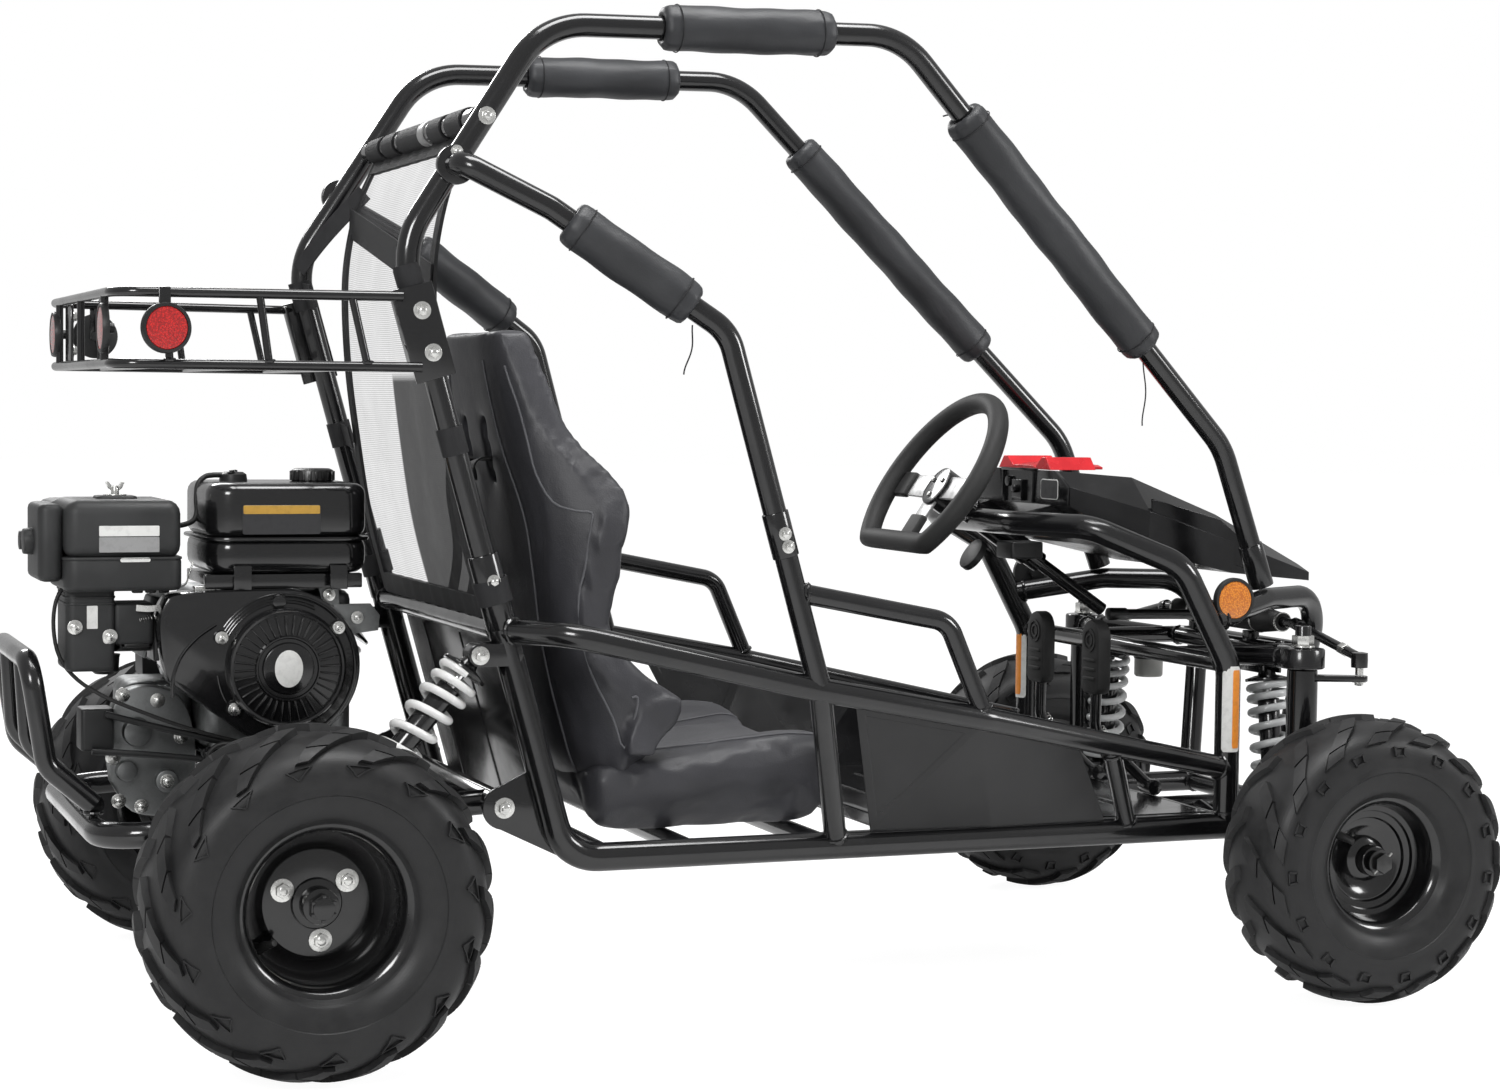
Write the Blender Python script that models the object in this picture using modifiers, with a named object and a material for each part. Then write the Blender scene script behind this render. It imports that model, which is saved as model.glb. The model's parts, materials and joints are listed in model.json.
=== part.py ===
"""Off-road go-kart with a tubular roll cage, one seat and a rear-mounted engine.

Metres, +Z up, +X forward, +Y to the driver's left. The origin lies on the ground below the middle of the
bounding box. A station is a distance ahead of the rear axle; pairs are given for the left side, y positive.
"""

import math

import bmesh
import bpy
from mathutils import Matrix, Vector

# Driving sizes of the whole kart
WHEELBASE = 1.391
REAR_HALF_TRACK = 0.448
FRONT_HALF_TRACK = 0.470
GUARD_REACH = 0.295
FIT_GAP = 0.0003
CUT_OVERRUN = 0.004
WELD_DEPTH = 0.004
MERGE_DISTANCE = 0.00006
FLAT_ANGLE = math.radians(0.1)

# Tyres and rims
REAR_TYRE_RADIUS = 0.203
REAR_TYRE_WIDTH = 0.190
REAR_RIM_RADIUS = 0.098
REAR_RIM_WIDTH = 0.150
FRONT_TYRE_RADIUS = 0.189
FRONT_TYRE_WIDTH = 0.140
FRONT_RIM_RADIUS = 0.085
FRONT_RIM_WIDTH = 0.104
RIM_WALL = 0.003
RIM_FLANGE = 0.008
REAR_DISH_DEPTH = 0.062
FRONT_DISH_DEPTH = 0.048
REAR_BORE_RADIUS = 0.030
FRONT_HUB_LENGTH = 0.075
LUG_COUNT = 16
REAR_LUG_DEPTH = 0.0085
FRONT_LUG_DEPTH = 0.0075
LUG_SWEEP = math.radians(17)
LUG_SHOULDER_SHARE = 0.6

# Tubes, by radius
RAIL_RADIUS = 0.018
POST_RADIUS = 0.017
CAGE_RADIUS = 0.0145
SIDE_RADIUS = 0.0155
STUB_RADIUS = 0.0125
RACK_ROD_RADIUS = 0.006
GUARD_RADIUS = 0.013
ARM_RADIUS = 0.0125
TUBE_BEND = 0.060
TIGHT_BEND = 0.035
HOOP_BEND = 0.105
BEND_STEP = math.radians(32)
WHEEL_STEPS = 16
ROD_SIDES = 8
ROUND_SIDES = 10
TUBE_STEPS = 2

# Main frame: places as station, half-width, height
RAIL_HALF_WIDTH = 0.300
RAIL_HEIGHT = 0.212
POST_FOOT_STATION = 0.345
POST_BEND_STATION = 0.135
POST_BEND_HEIGHT = 0.960
SPLICE_HEIGHT = 0.560
REAR_CROSS_HEIGHT = 0.497
FRONT_POST_STATION = 1.284
FRONT_POST_BEND_HEIGHT = 0.430
ARCH_SHOULDER_STATION = 1.210
ARCH_SHOULDER_DROP = 0.050
ARCH_CORNER_STATION = 1.100
ARCH_CORNER_HALF_WIDTH = 0.245
ARCH_STATION = 1.048
ARCH_HEIGHT = 0.616
SIDE_RAIL_SPREAD = 0.385
SIDE_RAIL_SPREAD_STATION = 0.325
SIDE_RAIL_MIDDLE_HALF_WIDTH = 0.420
SIDE_RAIL_MIDDLE_STATION = 0.636
SIDE_RAIL_MIDDLE_HEIGHT = 0.426
SIDE_RAIL_NARROWS_STATION = 0.862
SIDE_RAIL_NARROWS_HEIGHT = 0.383
SIDE_RAIL_END_HEIGHT = 0.290
SEAT_CROSS_STATIONS = (0.520, 0.700)
PEDAL_CROSS_STATION = 1.000
BAY_POST_STATION = 1.135
FOOT_LEAN = 0.075
BOX_HALF_WIDTH = 0.120
BOX_END_STATION = 1.470
NOSE_START_HEIGHT = 0.490
NOSE_SHOULDER_STATION = 1.380
NOSE_SHOULDER_HALF_WIDTH = 0.235
NOSE_SHOULDER_HEIGHT = 0.514
NOSE_FRONT_STATION = 1.512
NOSE_FRONT_HALF_WIDTH = 0.165
NOSE_FRONT_HEIGHT = 0.514
UPPER_BOX_HEIGHT = 0.432
UPPER_BOX_HALF_WIDTH = 0.160
PLATE_THICKNESS = 0.005
PIVOT_STATION = 0.269
PIVOT_HEIGHT = 0.278
PIVOT_RADIUS = 0.017
SHEET_THICKNESS = 0.002
PANEL_TOP_STATIONS = (0.690, 0.862, 1.030)
PANEL_LEAN = 0.064
FLOOR_REAR_STATION = 0.775

# Roll cage
HOOP_TOP_REAR_STATION = 0.312
HOOP_TOP_REAR_HEIGHT = 1.236
HOOP_TOP_FRONT_STATION = 0.789
HOOP_TOP_FRONT_HEIGHT = 1.248
HOOP_TOP_HALF_WIDTH = 0.293
HOOP_KNEE_STATION = 1.303
HOOP_KNEE_HALF_WIDTH = 0.240
HOOP_KNEE_HEIGHT = 0.724
CAGE_CROSS_SHARE = 0.58
MID_JOINT_SHARE = 0.36
MID_FLANGE_RADIUS = 0.024
MID_SHOULDER_STATION = 0.303
MID_SHOULDER_HALF_WIDTH = 0.365
MID_SHOULDER_HEIGHT = 1.008
MID_CORNER_STATION = 0.514
MID_CORNER_HALF_WIDTH = 0.410
MID_CORNER_HEIGHT = 0.863
MID_SPLICE_HEIGHT = 0.620
GRAB_CORNER_STATION = 0.808
GRAB_START_HEIGHT = 0.547
GRAB_CORNER_HEIGHT = 0.507
PAD_RADIUS = 0.0305
SPLICE_LENGTH = 0.060

# Seat
SEAT_HALF_WIDTH = 0.235
SEAT_THICKNESS = 0.050
SEAT_FRONT_STATION = 0.752
SEAT_BACK_STATION = 0.332
SEAT_TOP_HEIGHT = 0.868
SEAT_BOLSTER = 0.110

# Luggage rack
RACK_TOP_HEIGHT = 0.900
RACK_DEPTH = 0.084
RACK_REAR_STATION = -0.200
RACK_REAR_HALF_WIDTH = 0.268
RACK_BAR_SHARE = 0.8
RACK_STATION_SHARES = (0.18, 0.50, 0.82)
RACK_BRACKET_WIDTH = 0.050
RACK_BRACKET_MARGIN = 0.0155
REFLECTOR_RADIUS = 0.030
REFLECTOR_THICKNESS = 0.008
REFLECTOR_SHARE = 0.74
REFLECTOR_HEIGHT = 0.519
FRONT_REFLECTOR_SHARE = 0.25

# Rear guard
GUARD_HALF_WIDTH = 0.150
GUARD_TOP_HEIGHT = 0.458
GUARD_KNEE_HEIGHT = 0.330
GUARD_KNEE_REACH = 0.262
GUARD_BAR_SHARE = 0.8
GUARD_UPRIGHT_REACH = 0.275
GUARD_UPRIGHT_HEIGHT = 0.350

# Engine, with the crankshaft along y
CRANK_STATION = 0.023
CRANK_HEIGHT = 0.446
CRANK_TO_BASE = 0.106
CRANKCASE_LENGTH = 0.190
CRANKCASE_FRONT = 0.098
CRANKCASE_NEAR = -0.120
CRANKCASE_FAR = 0.090
CYLINDER_LEAN = math.radians(18)
CYLINDER_REACH = 0.145
CYLINDER_SIZE = 0.086
FIN_SHARE = 1.3
CARBURETTOR_LENGTH = 0.062
CARBURETTOR_WIDTH = 0.038
SHROUD_RADIUS = 0.096
SHROUD_DEPTH = 0.052
RECOIL_RADIUS = 0.074
RECOIL_DEPTH = 0.026
RECOIL_SLOTS = 18
SLOT_WIDTH = 0.004
SLOT_DEPTH = 0.003
TANK_LENGTH = 0.200
TANK_WIDTH = 0.190
TANK_HEIGHT = 0.112
TANK_STATION = 0.032
TANK_CENTRE_Y = -0.070
TANK_BOTTOM = 0.560
TANK_RISE = 0.024
TANK_FLANGE = 0.005
CAP_RADIUS = 0.028
TANK_FOOT_RADIUS = 0.010
CLEANER_LENGTH = 0.140
CLEANER_WIDTH = 0.150
CLEANER_HEIGHT = 0.110
CLEANER_STATION = -0.172
CLEANER_CENTRE_Y = -0.095
CLEANER_BOTTOM = 0.542
WING_NUT_RADIUS = 0.009
MUFFLER_LENGTH = 0.150
MUFFLER_WIDTH = 0.115
MUFFLER_HEIGHT = 0.105
OUTLET_LENGTH = 0.030
OUTLET_RADIUS = 0.012
COVER_RADIUS = 0.082
COVER_DEPTH = 0.060
COVER_REACH = 0.120
GEARBOX_LENGTH = 0.085
GEARBOX_WIDTH = 0.120
GEARBOX_HEIGHT = 0.150
GEARBOX_CENTRE_HEIGHT = 0.345

# Rear axle and swing arm
AXLE_RADIUS = 0.0125
AXLE_OVERHANG = 0.030
AXLE_PLAY = 0.001
HUB_RADIUS = 0.030
HUB_FLANGE_RADIUS = 0.052
HUB_FLANGE_THICKNESS = 0.008
HUB_LENGTH = 0.045
SPROCKET_RADIUS = 0.078
SPROCKET_THICKNESS = 0.005
SPROCKET_Y = 0.155
DISC_RADIUS = 0.075
DISC_THICKNESS = 0.004
DISC_Y = -0.150
SWING_HALF_WIDTH = 0.235
SWING_RADIUS = 0.016
SWING_REAR_STATION = -0.206
SWING_HEIGHT = 0.252
BEARING_RADIUS = 0.036
BEARING_WIDTH = 0.024
CHAIN_RADIUS = 0.0065
CHAIN_PLAY = 0.004
DRIVE_SPROCKET_RADIUS = 0.0275
DRIVE_SHAFT_HEIGHT = 0.330
DRIVE_SHAFT_RADIUS = 0.010
CALIPER_SIZE = (0.045, 0.036, 0.090)
CALIPER_STATION = -0.055
CALIPER_HEIGHT = 0.268
CALIPER_PLAY = 0.003

# Shock absorbers
REAR_SHOCK_TOP_STATION = 0.232
REAR_SHOCK_TOP_HEIGHT = 0.468
REAR_SHOCK_FOOT_STATION = 0.085
REAR_SHOCK_FOOT_HEIGHT = 0.296
REAR_SHOCK_HALF_WIDTH = 0.300
FRONT_SHOCK_TOP_HALF_WIDTH = 0.222
FRONT_SHOCK_TOP_HEIGHT = 0.425
FRONT_SHOCK_FOOT_HALF_WIDTH = 0.255
FRONT_SHOCK_FOOT_HEIGHT = 0.205
COIL_RADIUS = 0.026
COIL_WIRE_RADIUS = 0.0048
COIL_TURNS = 5.0
COIL_STEPS = 6
DAMPER_RADIUS = 0.014
ROD_RADIUS = 0.006
EYE_RADIUS = 0.014
EYE_WIDTH = 0.022

# Front suspension and steering
KINGPIN_HALF_WIDTH = 0.315
KINGPIN_RADIUS = 0.021
KINGPIN_TOP = 0.424
KINGPIN_BOTTOM = 0.172
LOWER_STUD_LENGTH = 0.022
KINGPIN_STUD_RADIUS = 0.011
KINGPIN_NUT_RADIUS = 0.0165
KINGPIN_NUT_HEIGHT = 0.030
ARM_RING_RADIUS = 0.030
ARM_RING_HEIGHT = 0.028
ARM_PIVOT_SPREAD = 0.055
STUD_PLAY = 0.0008
SPINDLE_RADIUS = 0.010
SPINDLE_LENGTH = 0.196
STEER_ARM_REACH = 0.071
STEER_ARM_SPREAD = 0.030
STEER_ARM_HEIGHT = 0.408
STEER_ARM_THICKNESS = 0.008
ROD_END_RADIUS = 0.0115
ROD_END_HEIGHT = 0.024
TIE_ROD_RADIUS = 0.007
RACK_HEIGHT = 0.474
RACK_HALF_LENGTH = 0.090
RACK_HOUSING_RADIUS = 0.018
BELLOWS_LENGTH = 0.060
BELLOWS_RADIUS = 0.019
BELLOWS_PLAY = 0.0015
RACK_TRAVEL = 0.0267
WHEEL_STATION = 0.979
WHEEL_RISE = 0.052
COLUMN_SLOPE = math.radians(34)
COLUMN_LENGTH = 0.330
COLUMN_RADIUS = 0.0095
COLUMN_HOUSING_RADIUS = 0.018
COLUMN_PLAY = 0.0002
COLUMN_HOUSING_START = 0.070
COLUMN_HOUSING_LENGTH = 0.110
STEERING_WHEEL_RADIUS = 0.136
STEERING_RIM_RADIUS = 0.0145
STEERING_FLAT_SHARE = 0.72
SPOKE_THICKNESS = 0.004
SPOKE_WIDTH = 0.034
SPOKE_SETBACK = 0.012
STEERING_HUB_LENGTH = 0.022

# Pedals, nose and small pieces
PEDAL_STATION = 1.195
BRAKE_Y = 0.080
THROTTLE_Y = -0.090
PEDAL_PAD_WIDTH = 0.052
PEDAL_PAD_HEIGHT = 0.105
PEDAL_PAD_THICKNESS = 0.022
PEDAL_PAD_CENTRE = 0.425
PEDAL_STEM_RADIUS = 0.008
PEDAL_BARREL_RADIUS = 0.011
FAIRING_REAR_STATION = 1.116
FAIRING_TIP_STATION = 1.530
FAIRING_HALF_WIDTH = 0.192
FAIRING_RISE = 0.024
FAIRING_DEPTH = 0.048
FAIRING_SEAT_GAP = 0.0005
FAIRING_TIP_DEPTH = 0.022
RIDGE_HEIGHT = 0.018
NET_THICKNESS = 0.003
NET_HALF_WIDTH = 0.262
BRACKET_REACH = 0.045

# The fairing's sections, as shares: along, width, fall of the top, rise of the underside
FAIRING_SHARES = ((0, 0.80, 0, 0), (0.25, 1.0, 0.06, 0.55), (0.60, 0.88, 0.45, 0.85), (1, 0.56, 1, 1))

# The seat's rows from the cushion's front edge up the back: forward, up, half-width, bolster
SEAT_SHARES = (
    (1, 0.044, 0.86, 0.18),
    (0.733, 0.024, 1, 0.45),
    (0.448, 0, 1, 0.77),
    (0.281, 0.044, 1, 1),
    (0.205, 0.162, 1, 1),
    (0.167, 0.330, 0.92, 0.32),
    (0.126, 0.482, 0.98, 0.55),
    (0.090, 0.616, 0.96, 0.77),
    (0.048, 0.768, 0.72, 0.41),
    (0.019, 0.886, 0.62, 0.27),
    (0, 1, 0.52, 0.14),
)

# One row of the seat from side to side: across, rise of the bolster
SEAT_SECTION_SHARES = ((-1, 1), (-0.86, 0.92), (-0.62, 0.1), (0, 0), (0.62, 0.1), (0.86, 0.92), (1, 1))

# The nose ridge's sections: along, width, height
RIDGE_SHARES = ((0.01, 0.26, 0.67), (0.12, 0.36, 1), (0.24, 0.30, 0.67))

# Where the middle of the bounding box lies, as a station
MIDDLE_STATION = (WHEELBASE + FRONT_TYRE_RADIUS - GUARD_REACH) / 2

PARTS = None
CUTTERS = None


def place(station, across, height):
    """A point given by its station, its distance to the left and its height."""
    return Vector((station - MIDDLE_STATION, across, height))


def material(name, colour, roughness, metallic=0.0):
    """A Principled material of one colour."""
    made = bpy.data.materials.get(name)
    if made:
        return made
    made = bpy.data.materials.new(name)
    made.use_nodes = True
    shader = made.node_tree.nodes["Principled BSDF"]
    shader.inputs["Base Color"].default_value = (*colour, 1.0)
    shader.inputs["Roughness"].default_value = roughness
    shader.inputs["Metallic"].default_value = metallic
    made.diffuse_color = (*colour, 1.0)
    return made


def gloss_black():
    return material("gloss_black_paint", (0.012, 0.012, 0.013), 0.22, 0.2)


def satin_black():
    return material("satin_black_plastic", (0.022, 0.023, 0.024), 0.45)


def pad_cloth():
    return material("grey_black_leatherette", (0.045, 0.047, 0.050), 0.55)


def seat_cloth():
    return material("dark_grey_leatherette", (0.060, 0.060, 0.068), 0.50)


def net_cloth():
    return material("black_mesh_net", (0.030, 0.030, 0.030), 0.80)


def rubber():
    return material("black_rubber", (0.024, 0.024, 0.025), 0.62)


def bright_steel():
    return material("bright_zinc_steel", (0.62, 0.62, 0.60), 0.28, 1.0)


def cast_aluminium():
    return material("cast_aluminium", (0.33, 0.34, 0.34), 0.42, 0.9)


def spring_white():
    return material("white_powder_coat", (0.80, 0.80, 0.79), 0.30)


def red_plastic():
    return material("red_plastic", (0.50, 0.010, 0.018), 0.30)


def new_object(name, mesh, finish, collection=None):
    """A new object of the parts collection, or of the collection given."""
    made = bpy.data.objects.new(name, mesh)
    (collection or PARTS).objects.link(made)
    if finish:
        mesh.materials.clear()
        mesh.materials.append(finish)
    return made


def smooth(mesh, angle=math.radians(35)):
    """Smooth shading with sharp edges past the angle."""
    mesh.shade_smooth()
    mesh.set_sharp_from_angle(angle=angle)


def solid_mesh(source):
    """The evaluated shape of an object as a closed mesh in world space; the object goes."""
    bpy.context.view_layer.update()
    graph = bpy.context.evaluated_depsgraph_get()
    mesh = bpy.data.meshes.new_from_object(source.evaluated_get(graph))
    mesh.transform(source.matrix_world)
    shape = bmesh.new()
    shape.from_mesh(mesh)
    bmesh.ops.remove_doubles(shape, verts=shape.verts, dist=1e-5)
    shape.to_mesh(mesh)
    shape.free()
    bpy.data.objects.remove(source)
    return mesh


def bent(points, radius=TUBE_BEND):
    """The points of a centre line with each corner bent to an arc of this radius."""
    line = [points[0]]
    for before, corner, after in zip(points, points[1:], points[2:]):
        back = (before - corner).normalized()
        ahead = (after - corner).normalized()
        half = back.angle(ahead) / 2
        reach = radius / math.tan(half)
        room = 0.48 * min((before - corner).length, (after - corner).length)
        used = min(reach, room)
        arc_radius = used * math.tan(half)
        centre = corner + (back + ahead).normalized() * arc_radius / math.sin(half)
        start = corner + back * used - centre
        turn = math.pi - 2 * half
        steps = max(1, round(turn / BEND_STEP))
        axis = start.cross(corner + ahead * used - centre).normalized()
        line += [centre + Matrix.Rotation(turn * i / steps, 3, axis) @ start for i in range(steps + 1)]
    return line + [points[-1]]


def tube(points, radius, roundness=None, cyclic=False):
    """A round tube along the points, as a closed mesh object among the cutters."""
    data = bpy.data.curves.new("tube", "CURVE")
    data.dimensions = "3D"
    spline = data.splines.new("POLY")
    spline.points.add(len(points) - 1)
    for point, at in zip(spline.points, points):
        point.co = (*at, 1.0)
    spline.use_cyclic_u = cyclic
    data.bevel_depth = radius
    thin = 0 if radius > CAGE_RADIUS else 1
    data.bevel_resolution = TUBE_STEPS - thin if roundness is None else roundness
    data.use_fill_caps = not cyclic
    mesh = solid_mesh(new_object("tube", data, None, CUTTERS))
    return new_object("tube", mesh, None, CUTTERS)


def rod(start, end, radius, sides=ROD_SIDES, end_radius=None):
    """A straight round bar or cone between two points."""
    shape = bmesh.new()
    along = end - start
    turn = along.to_track_quat("Z", "Y").to_matrix().to_4x4()
    bmesh.ops.create_cone(
        shape,
        cap_ends=True,
        segments=sides,
        radius1=radius,
        radius2=radius if end_radius is None else end_radius,
        depth=along.length,
        matrix=Matrix.Translation((start + end) / 2) @ turn,
    )
    mesh = bpy.data.meshes.new("rod")
    shape.to_mesh(mesh)
    shape.free()
    return new_object("rod", mesh, None, CUTTERS)


def block(centre, size, turn=None, bevel=0.0, segments=1):
    """A box with its edges rounded, turned about its centre."""
    shape = bmesh.new()
    bmesh.ops.create_cube(shape, size=1.0)
    bmesh.ops.scale(shape, vec=size, verts=shape.verts)
    if bevel:
        edges = shape.edges[:]
        bmesh.ops.bevel(shape, geom=edges, offset=bevel, segments=segments, affect="EDGES", profile=0.5)
    frame = Matrix.Translation(centre) @ (turn.to_4x4() if turn else Matrix())
    bmesh.ops.transform(shape, matrix=frame, verts=shape.verts)
    mesh = bpy.data.meshes.new("block")
    shape.to_mesh(mesh)
    shape.free()
    return new_object("block", mesh, None, CUTTERS)


def plate(outline, thickness, frame):
    """A flat sheet: its outline lies in the frame's xy plane, and its thickness spans both sides of it."""
    data = bpy.data.curves.new("plate", "CURVE")
    data.dimensions = "2D"
    data.fill_mode = "BOTH"
    data.extrude = thickness / 2
    spline = data.splines.new("POLY")
    spline.points.add(len(outline) - 1)
    for point, at in zip(spline.points, outline):
        point.co = (at[0], at[1], 0.0, 1.0)
    spline.use_cyclic_u = True
    flat = new_object("plate", data, None, CUTTERS)
    flat.matrix_world = frame
    return new_object("plate", solid_mesh(flat), None, CUTTERS)


def side_frame(across):
    """A frame whose x is forward and whose y is up, in the upright plane at this distance to the left."""
    return Matrix.Translation((0, across, 0)) @ Matrix.Rotation(math.radians(90), 4, "X")


def arc(centre, radius, start, end, steps):
    """Points on an arc in a plane, from angle start to angle end in degrees."""
    angles = [math.radians(start + (end - start) * i / steps) for i in range(steps + 1)]
    return [(centre[0] + radius * math.cos(a), centre[1] + radius * math.sin(a)) for a in angles]


def turned(profile, centre, axis, steps):
    """A turned solid: the profile is pairs of radius and place along the axis, from axis to axis."""
    data = bpy.data.meshes.new("turned")
    points = [(radius, 0.0, along) for radius, along in profile]
    data.from_pydata(points, [(i, i + 1) for i in range(len(points) - 1)], [])
    made = new_object("turned", data, None, CUTTERS)
    screw = made.modifiers.new("turn", "SCREW")
    screw.steps = steps
    screw.render_steps = steps
    screw.use_merge_vertices = True
    screw.merge_threshold = 1e-5
    made.matrix_world = Matrix.Translation(centre) @ axis.to_track_quat("Z", "Y").to_matrix().to_4x4()
    mesh = solid_mesh(made)
    shape = bmesh.new()
    shape.from_mesh(mesh)
    bmesh.ops.recalc_face_normals(shape, faces=shape.faces)
    shape.to_mesh(mesh)
    shape.free()
    return new_object("turned", mesh, None, CUTTERS)


def ring(profile, centre, axis, steps):
    """A turned ring: a closed profile of pairs of radius and place along the axis."""
    return turned(profile + profile[:1], centre, axis, steps)


def weld(name, finish, pieces, cuts=()):
    """One solid of several overlapping pieces, less the cuts."""
    base = pieces[0]
    for operation, others in (("UNION", pieces[1:]), ("DIFFERENCE", cuts)):
        for other in others:
            step = base.modifiers.new(operation.lower(), "BOOLEAN")
            step.operation = operation
            step.object = other
            step.solver = "EXACT"
    mesh = solid_mesh(base)
    for other in (*pieces[1:], *cuts):
        bpy.data.objects.remove(other)
    tidy(mesh)
    smooth(mesh)
    return new_object(name, mesh, finish)


def tidy(mesh):
    """Joins the faces that lie in one plane, and the points that all but coincide."""
    shape = bmesh.new()
    shape.from_mesh(mesh)
    bmesh.ops.dissolve_degenerate(shape, edges=shape.edges, dist=MERGE_DISTANCE)
    bmesh.ops.dissolve_limit(shape, angle_limit=FLAT_ANGLE, verts=shape.verts, edges=shape.edges)
    bmesh.ops.triangulate(shape, faces=shape.faces, ngon_method="BEAUTY")
    shape.to_mesh(mesh)
    shape.free()


def set_origin(piece, origin):
    """Moves the object's origin to a point of its joint's axis, with the shape left in place."""
    piece.data.transform(Matrix.Translation(-(origin - piece.location)))
    piece.location = origin
    return piece


def mirrored(piece, name):
    """The same piece on the other side of the kart."""
    mesh = piece.data.copy()
    mesh.transform(Matrix.Scale(-1, 4, (0, 1, 0)))
    mesh.flip_normals()
    made = new_object(name, mesh, None)
    made.location = piece.location * Vector((1, -1, 1))
    return made


def on_line(start, end, height):
    """The point of the line through two points at this height."""
    share = (height - start.z) / (end.z - start.z)
    return start.lerp(end, share)


def post_foot():
    return place(POST_FOOT_STATION, RAIL_HALF_WIDTH, RAIL_HEIGHT)


def post_bend():
    return place(POST_BEND_STATION, RAIL_HALF_WIDTH, POST_BEND_HEIGHT)


def on_post(height):
    return on_line(post_foot(), post_bend(), height)


def side_rail_points():
    return [
        on_post(REAR_CROSS_HEIGHT),
        place(SIDE_RAIL_SPREAD_STATION, SIDE_RAIL_SPREAD, REAR_CROSS_HEIGHT),
        place(SIDE_RAIL_MIDDLE_STATION, SIDE_RAIL_MIDDLE_HALF_WIDTH, SIDE_RAIL_MIDDLE_HEIGHT),
        place(SIDE_RAIL_NARROWS_STATION, SIDE_RAIL_MIDDLE_HALF_WIDTH, SIDE_RAIL_NARROWS_HEIGHT),
        place(FRONT_POST_STATION, RAIL_HALF_WIDTH, SIDE_RAIL_END_HEIGHT),
    ]


def mid_corner():
    return place(MID_CORNER_STATION, MID_CORNER_HALF_WIDTH, MID_CORNER_HEIGHT)


def side_rail_middle():
    return side_rail_points()[2]


def nose_points():
    front = place(NOSE_FRONT_STATION, NOSE_FRONT_HALF_WIDTH, NOSE_FRONT_HEIGHT)
    foot = place(BOX_END_STATION, BOX_HALF_WIDTH, RAIL_HEIGHT)
    start = place(FRONT_POST_STATION - FOOT_LEAN / 3, RAIL_HALF_WIDTH, NOSE_START_HEIGHT)
    shoulder = place(NOSE_SHOULDER_STATION, NOSE_SHOULDER_HALF_WIDTH, NOSE_SHOULDER_HEIGHT)
    return [start, shoulder, front, foot]


def across(point, y):
    """The same station and height at another distance to the left."""
    return Vector((point.x, y, point.z))


def both_sides(points):
    """A line of points carried on to its mirror image."""
    return points + [across(point, -point.y) for point in reversed(points)]


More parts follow.
